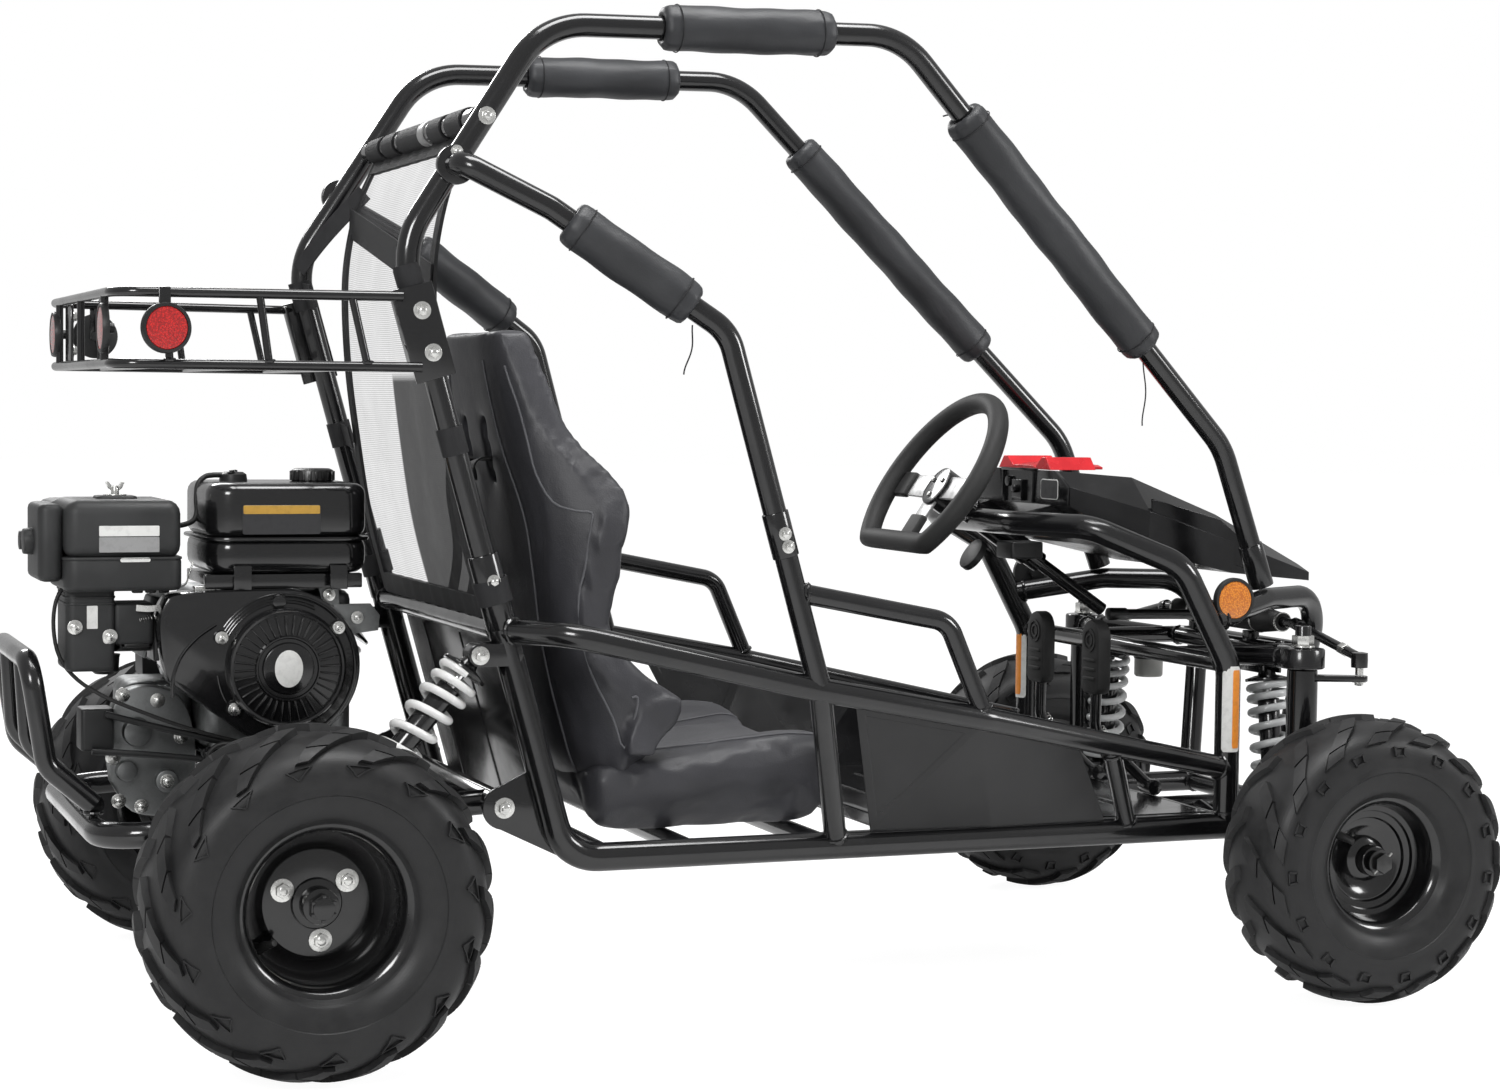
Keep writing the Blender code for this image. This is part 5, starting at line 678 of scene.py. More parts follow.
class Shape:
    """A mesh in the making: each method adds a closed solid, and piece() hands it over."""

    def __init__(self):
        self.mesh = bmesh.new()

    def take(self, made, frame=None):
        """Adds another bmesh, placed by a matrix."""
        if frame is not None:
            bmesh.ops.transform(made, matrix=frame, verts=made.verts)
        data = bpy.data.meshes.new("part")
        made.to_mesh(data)
        made.free()
        self.mesh.from_mesh(data)
        bpy.data.meshes.remove(data)
        return self

    def block(self, centre, size, turn=None, bevel=0.0):
        made = bmesh.new()
        bmesh.ops.create_cube(made, size=1.0)
        bmesh.ops.scale(made, vec=size, verts=made.verts)
        if bevel:
            bevelled(made, made.edges[:], bevel)
        return self.take(made, Matrix.Translation(centre) @ (turn.to_4x4() if turn else Matrix()))

    def rod(self, start, end, radius, end_radius=None, sides=24, bevel=0.0):
        made = bmesh.new()
        far = radius if end_radius is None else end_radius
        depth = (end - start).length
        bmesh.ops.create_cone(made, cap_ends=True, segments=sides, radius1=radius, radius2=far, depth=depth)
        if bevel:
            bevelled(made, [edge for edge in made.edges if is_level(edge)], bevel)
        return self.take(made, Matrix.Translation((start + end) / 2) @ facing(end - start))

    def tube(self, points, radius, sides=16, closed=False):
        """A round bar along a line of points."""
        data = bpy.data.curves.new("line", "CURVE")
        data.dimensions = "3D"
        spline = data.splines.new("POLY")
        spline.points.add(len(points) - 1)
        for point, spot in zip(spline.points, points):
            point.co = (*spot, 1.0)
        spline.use_cyclic_u = closed
        data.bevel_depth = radius
        data.bevel_resolution = (sides - 4) // 2
        data.use_fill_caps = not closed
        holder = bpy.data.objects.new("line", data)
        bpy.context.scene.collection.objects.link(holder)
        made = bmesh.new()
        found = bpy.data.meshes.new_from_object(holder)
        made.from_mesh(found)
        bpy.data.objects.remove(holder)
        bpy.data.meshes.remove(found)
        bmesh.ops.remove_doubles(made, verts=made.verts, dist=SAME_PLACE)
        bmesh.ops.recalc_face_normals(made, faces=made.faces)
        return self.take(made)

    def turned(self, profile, centre, axis, steps=64, closed=False):
        """A turned form of pairs of radius and place along the axis."""
        made = bmesh.new()
        points = [made.verts.new((radius, 0, along)) for radius, along in profile]
        edges = [made.edges.new(pair) for pair in zip(points, points[1:])]
        if closed:
            edges.append(made.edges.new((points[-1], points[0])))
        bmesh.ops.spin(
            made, geom=points + edges, cent=(0, 0, 0), axis=(0, 0, 1), angle=tau, steps=steps, use_merge=True
        )
        bmesh.ops.remove_doubles(made, verts=made.verts, dist=SAME_PLACE)
        bmesh.ops.recalc_face_normals(made, faces=made.faces)
        return self.take(made, Matrix.Translation(centre) @ facing(axis))

    def plate(self, outline, thickness, frame, bevel=0.0):
        """A flat sheet whose outline lies in the frame's xy plane, half its thickness on each side."""
        made = bmesh.new()
        corners = [made.verts.new((x, y, -thickness / 2)) for x, y in outline]
        face = made.faces.new(corners)
        grown = bmesh.ops.extrude_face_region(made, geom=[face])
        top = [item for item in grown["geom"] if isinstance(item, bmesh.types.BMVert)]
        bmesh.ops.translate(made, vec=(0, 0, thickness), verts=top)
        bmesh.ops.recalc_face_normals(made, faces=made.faces)
        if bevel:
            bevelled(made, [edge for edge in made.edges if is_level(edge)], bevel)
        return self.take(made, frame)

    def bolt(self, spot, axis, size=0.006, washer=True, length=0.0):
        """A hexagon bolt head with its washer, and the end of its thread behind it."""
        axis = axis.normalized()
        if washer:
            self.rod(spot - axis * size * 0.1, spot + axis * size * 0.25, size * 1.75, sides=20, bevel=size * 0.06)
        top = spot + axis * size * 1.05
        self.rod(spot, top, size * 1.15, sides=6, bevel=size * 0.14)
        self.rod(top - axis * size * 0.05, top + axis * size * 0.10, size * 0.75, size * 0.55, sides=16)
        if length:
            self.rod(spot - axis * length, spot, size * 0.62, sides=12)
        return self

    def stack(self, rings, frame=None, looped=False):
        """A closed solid through rings with the same number of points."""
        made = bmesh.new()
        loops = []
        for ring in rings:
            points = [made.verts.new(point) for point in ring]
            loops.append([made.edges.new(pair) for pair in zip(points, points[1:] + points[:1])])
        for low, high in zip(loops, loops[1:] + (loops[:1] if looped else [])):
            bmesh.ops.bridge_loops(made, edges=low + high)
        if not looped:
            for end in (loops[0], loops[-1]):
                bmesh.ops.edgeloop_fill(made, edges=end)
        bmesh.ops.recalc_face_normals(made, faces=made.faces)
        self.take(made, frame)

    def case(self, centre, size, corner, edge, turn=None, steps=5, rim=3):
        """A box with round upright corners and rounded rims."""
        half = Vector(size) / 2
        levels = []
        for i in range(rim + 1):
            angle = QUARTER * i / rim
            levels.append((-half.z + edge * (1 - cos(angle)), edge * (1 - sin(angle))))
        levels += [(-height, inset) for height, inset in reversed(levels)]
        rings = []
        for height, inset in levels:
            ring = []
            for quarter, (x, y) in enumerate(((1, 1), (-1, 1), (-1, -1), (1, -1))):
                for i in range(steps + 1):
                    angle = QUARTER * (quarter + i / steps)
                    middle = Vector((x * (half.x - corner), y * (half.y - corner), height))
                    ring.append(middle + around(max(corner - inset, 0.0003), angle))
            rings.append(ring)
        self.stack(rings, Matrix.Translation(centre) @ (turn.to_4x4() if turn else Matrix()))

    def strap(self, points, across, width, thickness=0.0016):
        """A flat strap along a line; across is the direction of its width, or one for each point."""
        rings = []
        last = len(points) - 1
        for i, point in enumerate(points):
            ahead = (points[min(i + 1, last)] - points[max(i - 1, 0)]).normalized()
            side = across[i] if isinstance(across, list) else across
            side = (side - ahead * side.dot(ahead)).normalized()
            normal = side.cross(ahead) * thickness / 2
            half = side * width / 2
            rings.append([point - half - normal, point + half - normal, point + half + normal, point - half + normal])
        self.stack(rings)

    def band(self, centre, axis, radius, width, thickness=0.0016):
        """Webbing wrapped round a tube."""
        axis = axis.normalized()
        turn = facing(axis)
        points = [centre + turn @ around(radius, tau * i / 40) for i in range(41)]
        self.strap(points, axis, width, thickness)

    def bead(self, spot, axis, radius):
        """The weld's rippled fillet where a tube meets another."""
        turn = facing(axis)
        ring = [spot + turn @ around(radius + 0.0004 * sin(13 * angle), angle) for angle in turns(40)]
        self.tube(ring, 0.0026, 8, closed=True)

    def piece(self, name, paint, body="chassis", replaces=None, smooth=SMOOTH_ANGLE):
        """Hands the mesh over as a piece of the kart that rides on a body."""
        data = bpy.data.meshes.new(name)
        self.mesh.to_mesh(data)
        self.mesh.free()
        return settle(name, data, paint, body, replaces, smooth)


def settle(name, data, paint, body="chassis", replaces=None, smooth=SMOOTH_ANGLE, subdivide=0):
    """Turns a finished mesh into a piece that rides on a body, with its finish and slot."""
    made = bpy.data.objects.new(name, data)
    bpy.context.scene.collection.objects.link(made)
    finish, slot = paint
    data.materials.clear()
    data.materials.append(finish.material)
    data.shade_smooth()
    if smooth < FULLY_SMOOTH:
        data.set_sharp_from_angle(angle=radians(smooth))
    if subdivide:
        step = made.modifiers.new("round", "SUBSURF")
        step.levels = step.render_levels = subdivide
    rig.ride(made, body)
    if slot:
        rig.slot(made, slot)
    if replaces:
        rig.replaces(made, replaces)
    return made


def dressed(node, paint, bevel=0.0007):
    """A finer copy of a node's own shape: joined, its edges rounded, with a finish."""
    data = frame["nodes"][node].data.copy()
    shape = bmesh.new()
    shape.from_mesh(data)
    bmesh.ops.remove_doubles(shape, verts=shape.verts, dist=2e-5)
    bmesh.ops.dissolve_limit(shape, angle_limit=radians(1), verts=shape.verts, edges=shape.edges)
    shape.to_mesh(data)
    shape.free()
    made = settle(node + "_body", data, paint, "chassis", node, DRESSED_ANGLE)
    softened(made, bevel, 2, DRESSED_ANGLE)
    return made


# Centres and axes of the engine and the steering
NEAR = -LEFT
CRANK = at(0.023, 0, 0.446)
COLUMN_AXIS = Vector((cos(COLUMN_LEAN), 0, -sin(COLUMN_LEAN)))
WHEEL_CENTRE = at(0.979, 0, 0.668)
RACK_CENTRE = at(1.462, 0, 0.474)

# Lines of the tubes, left side
POST_FOOT = at(0.345, RAIL_ACROSS, RAIL_HEIGHT)
POST_BEND = at(0.135, RAIL_ACROSS, 0.960)
RAIL_FRONT = at(FRONT_POST, RAIL_ACROSS, RAIL_HEIGHT)
SIDE_MIDDLE = at(0.636, SIDE_ACROSS, 0.426)
MID_CORNER = at(0.514, 0.410, 0.863)
MID_SHOULDER = at(0.303, 0.365, 1.008)
NOSE = [at(1.259, RAIL_ACROSS, 0.490), at(1.380, 0.235, 0.514), at(1.512, 0.165, 0.514), at(1.470, 0.120, RAIL_HEIGHT)]


def on_post(height):
    """The point at a height on the left rear post."""
    return on_line(POST_FOOT, POST_BEND, height)


def hoop_line():
    """The left hoop's corners, from the post to the nose."""
    top_rear = at(0.312, 0.293, 1.236)
    top_front = at(0.789, 0.293, 1.248)
    knee = at(1.303, 0.240, 0.724)
    foot = NOSE[1] + (knee - NOSE[1]).normalized() * (SIDE_RADIUS + 0.004)
    return [on_post(0.5603), POST_BEND, top_rear, top_front, knee, foot]


def cross_spot():
    """Where the cage's cross tube meets the left hoop."""
    points = hoop_line()
    return points[1].lerp(points[2], 0.58)


def mirrored_line(points):
    """A line that runs on along its own mirror image."""
    return points + [flipped(point, -1) for point in reversed(points)]


def mid_line():
    """The left side bar's corners, from the hoop to the side rail."""
    points = hoop_line()
    joint = points[1].lerp(points[2], 0.36) + LEFT * CAGE_RADIUS
    splice = on_line(MID_CORNER, SIDE_MIDDLE, 0.5903)
    return [joint, joint + LEFT * 0.035, MID_SHOULDER, MID_CORNER, splice]


def main_frame():
    """The welded frame: rails, posts, arch, nose and cross tubes, with their weld beads."""
    shape = Shape()
    side_rail = [
        on_post(0.497), at(0.325, 0.385, 0.497), SIDE_MIDDLE, at(0.862, SIDE_ACROSS, 0.383),
        at(FRONT_POST, RAIL_ACROSS, 0.290)
    ]
    splice = on_line(MID_CORNER, SIDE_MIDDLE, 0.590)
    grab = on_line(MID_CORNER, SIDE_MIDDLE, 0.547)
    upper_front = on_line(NOSE[2], NOSE[3], 0.432)
    upper_front.y = 0.160
    arch = [
        RAIL_FRONT,
        at(FRONT_POST, RAIL_ACROSS, 0.430),
        at(1.210, RAIL_ACROSS, 0.566),
        at(1.100, 0.245, 0.616),
        at(1.048, 0.1225, 0.616),
    ]
    shape.tube(rounded(mirrored_line(arch), 0.060), POST_RADIUS, 20)
    bay_foot = at(1.135, RAIL_ACROSS, RAIL_HEIGHT)
    stay_foot = at(0.711, RAIL_ACROSS, RAIL_HEIGHT)
    grab_end = at(0.808, SIDE_ACROSS, 0.507)
    bay_top = side_rail[3].lerp(side_rail[4], 0.5)
    runs = (
        ([on_post(0.560), POST_FOOT, RAIL_FRONT], 0.060, RAIL_RADIUS),
        (side_rail, 0.060, SIDE_RADIUS),
        ([stay_foot, SIDE_MIDDLE, splice], 0.035, CAGE_RADIUS),
        ([grab, grab_end, side_rail[3]], 0.035, STUB_RADIUS),
        ([bay_foot, bay_top], 0, STUB_RADIUS),
        (NOSE, 0.060, SIDE_RADIUS),
        ([at(1.000, 0.120, RAIL_HEIGHT), NOSE[3]], 0, SIDE_RADIUS),
        ([at(FRONT_POST, 0.160, 0.432), upper_front], 0, STUB_RADIUS),
    )
    for _, side in SIDES:
        for points, bend, radius in runs:
            line = [flipped(point, side) for point in points]
            line = rounded(line, bend) if bend else line
            shape.tube(line, radius, 20)
        joints = (
            (side_rail[0], side_rail[1] - side_rail[0], SIDE_RADIUS, POST_RADIUS),
            (side_rail[4], side_rail[3] - side_rail[4], SIDE_RADIUS, POST_RADIUS),
            (stay_foot, SIDE_MIDDLE - stay_foot, CAGE_RADIUS, RAIL_RADIUS),
            (grab, grab_end - grab, STUB_RADIUS, CAGE_RADIUS),
            (side_rail[3], grab_end - side_rail[3], STUB_RADIUS, SIDE_RADIUS),
            (bay_foot, bay_top - bay_foot, STUB_RADIUS, RAIL_RADIUS),
            (bay_top, bay_foot - bay_top, STUB_RADIUS, SIDE_RADIUS),
            (RAIL_FRONT, UP, POST_RADIUS, RAIL_RADIUS),
            (NOSE[0], NOSE[1] - NOSE[0], SIDE_RADIUS, POST_RADIUS),
        )
        for spot, axis, radius, onto in joints:
            axis = flipped(axis, side).normalized()
            shape.bead(flipped(spot, side) + axis * (onto * 0.97), axis, radius)
    crosses = (
        (on_post(0.497), CAGE_RADIUS),
        *((at(station, RAIL_ACROSS, RAIL_HEIGHT), STUB_RADIUS) for station in (0.405, 0.520, 0.700, 1.000)),
        (RAIL_FRONT, CAGE_RADIUS),
        (at(FRONT_POST, RAIL_ACROSS, 0.432), STUB_RADIUS),
        (NOSE[3], STUB_RADIUS),
        (upper_front, STUB_RADIUS),
        (at(1.462, 0.160, 0.432), STUB_RADIUS),
    )
    for end, radius in crosses:
        inner = flipped(end, 1) - LEFT * 0.004
        shape.rod(inner, flipped(inner, -1), radius, sides=20)
        for _, side in SIDES:
            shape.bead(flipped(end - LEFT * RAIL_RADIUS * 0.95, side), LEFT, radius)
    frame_plates(shape)
    shape.piece("frame_tubes", Paints.frame_black, replaces="main_frame")


def outline_arc(centre, radius, start, end, steps):
    angles = [radians(start + (end - start) * i / steps) for i in range(steps + 1)]
    return [(centre[0] + radius * cos(a), centre[1] + radius * sin(a)) for a in angles]


def upright_plane(across):
    """A frame whose x is forward and whose y is up."""
    return Matrix.Translation((0, across, 0)) @ Matrix.Rotation(QUARTER, 4, "X")


def crossways(centre):
    """A frame at a point whose x is to the left and whose y is up."""
    return Matrix.Translation(centre) @ Matrix.Rotation(QUARTER, 4, "Z") @ Matrix.Rotation(QUARTER, 4, "X")


def frame_plates(shape):
    """The plates, ears and brackets that are welded to the frame, and the column's housing."""
    pivot = at(0.269, 0, 0.278)
    post = on_post(0.329)
    foot = POST_FOOT
    top = at(0.232, RAIL_ACROSS, 0.468)
    top_post = on_post(0.468)
    outline = outline_arc((pivot.x, pivot.z), 0.0272, 100, 260, 14)
    outline += [(foot.x, foot.z), (foot.x, pivot.z), (post.x, post.z)]
    for _, side in SIDES:
        shape.plate(outline, 0.005, upright_plane(side * 0.295), 0.0008)
        for ear in (-1, 1):
            shift = ear * 0.0138
            ear_line = outline_arc((top.x, top.z), 0.014, 90, 270, 12)
            ear_line += outline_arc((top_post.x, top.z), 0.014, -90, 90, 4)
            shape.plate(ear_line, 0.005, upright_plane(side * (0.300 + shift)), 0.0008)
            middle = at(WHEELBASE, side * (0.164 + 0.236) / 2, 0.425) + FORWARD * shift
            shape.block(middle, (0.005, 0.072, 0.028), bevel=0.0008)
        saddle = at(WHEELBASE + 0.071, side * 0.063, 0.4438)
        shape.block(saddle, (0.018, 0.018, 0.0236), bevel=0.001)
    rear = at(1.048, 0, 0.616)
    edge = at(1.116, 0, 0.6397)
    nose = at(1.161, 0, 0.6134)
    outline = [(rear.x, rear.z - 0.0085), (rear.x, rear.z + 0.0085), (edge.x, edge.z), (nose.x, nose.z)]
    outline.append((nose.x, rear.z - 0.0085))
    for _, side in SIDES:
        shape.plate(outline, 0.005, upright_plane(side * 0.098), 0.0006)
    profile = [(0.0102, 0), (0.018, 0), (0.018, 0.110), (0.0102, 0.110)]
    shape.turned(profile, WHEEL_CENTRE + COLUMN_AXIS * 0.070, COLUMN_AXIS, 32, closed=True)


def cage():
    """The two hoops, the tube between them and the two side bars, with their bolted ends."""
    points = hoop_line()
    bolts = Shape()
    for name, side in SIDES:
        shape = Shape()
        line = rounded([flipped(point, side) for point in points], 0.105, radians(4))
        shape.tube(line, CAGE_RADIUS, 24)
        sleeve = [on_post(0.500), on_post(0.590)]
        shape.rod(
            flipped(points[-1], side), flipped(points[-1].lerp(points[-2], 0.30), side), 0.0168, sides=24, bevel=0.001
        )
        shape.piece("cage_hoop_tube_" + name, Paints.frame_black, replaces="cage_hoop_" + name)
        collar = Shape()
        collar.rod(flipped(sleeve[0], side), flipped(sleeve[1], side), 0.0192, sides=28, bevel=0.0012)
        collar.piece("post_sleeve_" + name, Paints.frame_black)
        bar = Shape()
        run = [flipped(point, side) for point in mid_line()]
        bar.tube(rounded(run, 0.060, radians(5)), CAGE_RADIUS, 24)
        out = LEFT * side
        bar.rod(run[0] - out * 0.004, run[0] + out * 0.006, 0.024, sides=32, bevel=0.0012)
        lower = run[4]
        upper = run[4].lerp(run[3], 0.20)
        bar.rod(lower, upper, 0.0166, sides=24, bevel=0.001)
        bar.piece("mid_bar_tube_" + name, Paints.frame_black, replaces="mid_bar_" + name)
        for share in (0.16, 0.42):
            spot = on_line(MID_CORNER, SIDE_MIDDLE, 0.590 + share * 0.060 + 0.004)
            bolts.bolt(flipped(spot, side) + out * 0.0166, out, 0.0048)
        post_bolt = on_post(0.558)
        bolts.bolt(flipped(post_bolt, side) + out * 0.019, out, 0.0048)
        bolts.bolt(flipped(cross_spot(), side) + out * CAGE_RADIUS, out, 0.0062)
        bolts.bolt(run[0] + out * 0.0062 + Vector((0.0, 0, 0.016)), out, 0.0042)
        bolts.bolt(flipped(at(0.269, 0.2976, 0.278), side), out, 0.0075, length=0.02)
        bolts.bolt(flipped(at(0.232, 0.3166, 0.468), side), out, 0.0066)
    tube = Shape()
    end = cross_spot() - LEFT * CAGE_RADIUS
    tube.rod(end, flipped(end, -1), CAGE_RADIUS, sides=24)
    tube.piece("cage_cross_bar", Paints.frame_black, replaces="cage_cross_tube")
    bolts.piece("cage_bolts", Paints.zinc)


class Tyre:
    """The rounded carcass of a tyre: a superellipse in section, from crown to bead."""

    def __init__(self, side, station, track, radius, width, lug, seat, bead_angle):
        self.side = side
        self.centre = at(station, side * track, radius)
        self.half = width / 2 - 0.0015
        self.waist = seat + (radius - seat) * 0.46
        self.rise = radius - lug - self.waist
        self.bead_angle = bead_angle
        self.fall = (self.waist - seat) / abs(cos(radians(bead_angle))) ** 0.77
        self.lug = lug

    def spot(self, angle, lean, height=0.0):
        """A point by the angle round the axle, the lean from the crown in degrees, and the height off it."""
        tilt = radians(abs(lean))
        share = cos(tilt)
        drop = self.rise if share > 0 else self.fall
        reach = self.waist + drop * copysign(abs(share) ** 0.77, share)
        across = self.half * sin(tilt) ** 0.77
        across = copysign(across + height * sin(tilt), lean)
        reach += height * cos(tilt)
        turn = radians(angle)
        return self.centre + Vector((reach * cos(turn), self.side * across, reach * sin(turn)))


def tyre_patch(shape, tyre, corners, height, across=4, along=4):
    """A raised block on the tyre over a four-cornered patch; corners hold angle and lean."""
    made = bmesh.new()
    bmesh.ops.create_grid(made, x_segments=across, y_segments=along, size=0.5)
    a, b, c, d = (Vector(corner) for corner in corners)
    for vert in made.verts:
        u, v = vert.co.x + 0.5, vert.co.y + 0.5
        vert.co = Vector((*(a.lerp(b, u)).lerp(d.lerp(c, u), v), 0))
    middle = sum((vert.co for vert in made.verts), Vector()) / len(made.verts)
    grown = bmesh.ops.extrude_face_region(made, geom=made.faces[:])
    top = [item for item in grown["geom"] if isinstance(item, bmesh.types.BMVert)]
    raised = set(top)
    for vert in made.verts:
        if vert in raised:
            vert.co = middle + (vert.co - middle) * 0.90
            vert.co = tyre.spot(vert.co.x, vert.co.y, height)
        else:
            vert.co = tyre.spot(vert.co.x, vert.co.y, -0.002)
    bmesh.ops.recalc_face_normals(made, faces=made.faces)
    shape.take(made)


LUG_ROWS = 15
REAR_BARS = (0, 7.0, 2), (8.5, 7.5, 24), (18.5, 8.5, 47), (27.0, 5.0, 66)
FRONT_BARS = (0, 6.5, 2), (7.5, 8.5, 26), (17.0, 10.0, 48), (22.0, 11.5, 64)


def tread(shape, tyre, bends, mark, mark_place):
    """Chevron bars, each through bends of start, width and lean, with a mark by each on the shoulder."""
    step = 360 / LUG_ROWS
    for i in range(LUG_ROWS):
        for half in (1, -1):
            base = i * step + (step / 2 if half < 0 else 0)
            for (start, width, near), (after, next_width, far) in zip(bends, bends[1:]):
                corners = [
                    (base + start, half * near),
                    (base + start + width, half * near),
                    (base + after + next_width, half * far),
                    (base + after, half * far),
                ]
                tyre_patch(shape, tyre, corners, tyre.lug, 3, 4)
            mark(shape, tyre, base + mark_place, half)


def triangle_mark(shape, tyre, place, half):
    """A raised triangle's outline on the rear tyre's shoulder."""
    tips = [Vector((place + along, half * lean)) for along, lean in ((-5.5, 70), (5.5, 72), (1.0, 86))]
    for first, second in zip(tips, tips[1:] + tips[:1]):
        along = second - first
        thick = Vector((-along.y / 8, along.x)).normalized() * 1.1
        tyre_patch(shape, tyre, [first, second, second + thick, first + thick], 0.0036, 2, 1)


def square_mark(shape, tyre, place, half):
    """A raised square's outline on the front tyre's shoulder."""
    middle = Vector((place, half * 79))
    tips = [Vector((place + along, half * lean)) for along, lean in ((-3.4, 72), (3.4, 72), (3.0, 86), (-3.0, 86))]
    for first, second in zip(tips, tips[1:] + tips[:1]):
        corners = [first, second, second.lerp(middle, 0.34), first.lerp(middle, 0.34)]
        tyre_patch(shape, tyre, corners, 0.0034, 2, 1)


def tyre(kind, name, side, body):
    """A tyre with its carcass, bead rings, lugs and shoulder marks."""
    if kind == "rear":
        radius = REAR_RADIUS
        carcass = Tyre(side, 0, REAR_TRACK, radius, 0.190, 0.0085, 0.104, 126)
    else:
        radius = FRONT_RADIUS
        carcass = Tyre(side, WHEELBASE, FRONT_TRACK, radius, 0.140, 0.0075, 0.0915, 128)
    leans = [i * 6 for i in range(15)] + [88, 92, 95, 97, 98, 99, 101, 105, 109, 113, 117, 121, carcass.bead_angle]
    profile = []
    for lean in leans:
        ridge = 0.0014 if lean in (97, 98) else 0.0
        spot = carcass.spot(0, max(lean, 0.01), ridge) - carcass.centre
        profile.append((spot.x, spot.y * side))
    outer = [(radius, -place) for radius, place in reversed(profile[1:])] + profile
    bead_radius, bead_place = profile[-1]
    lip = [(bead_radius - 0.002, bead_place - 0.004), (bead_radius - 0.011, bead_place - 0.010)]
    lip += [(bead_radius - 0.011, -bead_place + 0.010), (bead_radius - 0.002, -bead_place + 0.004)]
    shape = Shape()
    shape.turned(outer + lip, carcass.centre, LEFT, 120, closed=True)
    if kind == "rear":
        tread(shape, carcass, REAR_BARS, triangle_mark, 31.0)
    else:
        tread(shape, carcass, FRONT_BARS, square_mark, 39.28)
    finish = tyre_rubber(f"{kind}_{name}_tyre_rubber", carcass.centre, radius)
    shape.piece(f"{kind}_tyre_tread_{name}", (finish, "tyre_rubber"), body, f"{kind}_tyre_{name}", 30)


def rear_rim(name, side):
    centre = at(0, side * REAR_TRACK, REAR_RADIUS)
    out = LEFT * side
    face = 0.075 - 0.062
    profile = [
        (0.1040, 0.0750), (0.1060, 0.0742), (0.1060, 0.0724), (0.1030, 0.0712), (0.0975, 0.0690), (0.0920, 0.0640),
        (0.0905, 0.0560), (0.0905, -0.0560), (0.0920, -0.0640), (0.0975, -0.0690), (0.1030, -0.0712), (0.1060, -0.0724),
        (0.1060, -0.0742), (0.1040, -0.0750), (0.0990, -0.0735), (0.0930, -0.0700), (0.0875, -0.0640),
        (0.0870, -0.0500),
        (0.0870, face - 0.030), (0.0820, face - 0.016), (0.0660, face - 0.010), (0.0635, face - 0.003),
        (0.030, face - 0.003),
        (0.030, face), (0.0610, face), (0.0640, face - 0.001), (0.0665, face - 0.0065), (0.0700, face - 0.0085),
        (0.0820, face - 0.0100), (0.0862, face - 0.0040), (0.0870, face + 0.0060), (0.0870, 0.0500), (0.0885, 0.0610),
        (0.0930, 0.0695), (0.0990, 0.0735),
    ]
    shape = Shape()
    shape.turned(profile, centre, out, 96, closed=True)
    shape.piece("rear_rim_steel_" + name, Paints.rim_black, "rear_wheels", "rear_rim_" + name, 50)
    hub = Shape()
    hub.rod(centre + out * (face - 0.045), centre + out * (face + 0.026), 0.021, sides=32, bevel=0.0012)
    hub.rod(centre + out * (face + 0.026), centre + out * (face + 0.038), 0.0165, sides=6, bevel=0.0008)
    hub.rod(centre + out * (face + 0.038), centre + out * (face + 0.041), 0.0125, sides=24, bevel=0.0006)
    hub.rod(centre + out * (face - 0.001), centre + out * (face + 0.004), 0.0285, sides=32, bevel=0.0010)
    for angle in turns(6):
        place = centre + out * (face + 0.038) + facing(out) @ around(0.014, angle + 0.5)
        hub.block(place, (0.0045, 0.005, 0.0045), bevel=0.0006)
    hub.piece("rear_hub_nut_" + name, Paints.rim_black, "rear_wheels")
    steel = Shape()
    for i in range(3):
        steel.bolt(centre + out * face + spoke(0.043, radians(157 + 119 * i)), out, 0.0078)
    steel.piece("rear_wheel_bolts_" + name, Paints.zinc, "rear_wheels")
    valve(f"rear_valve_{name}", centre, out, 0.0760, 216, 0.012, "rear_wheels")


def valve(name, centre, out, reach, angle, depth, body):
    """A rubber valve stem with its cap, through the rim's well."""
    away = spoke(1, radians(angle))
    foot = centre + away * (reach + 0.008) + out * depth
    aim = (out * 0.8 - away * 0.6).normalized()
    shape = Shape()
    profile = [
        (0, -0.004), (0.0085, -0.004), (0.0085, 0), (0.0062, 0.003), (0.0052, 0.018), (0.0046, 0.022), (0, 0.022)
    ]
    shape.turned(profile, foot, aim, 24)
    shape.rod(foot + aim * 0.020, foot + aim * 0.031, 0.0044, 0.0040, sides=16, bevel=0.0004)
    shape.piece(name, Paints.rubber, body)


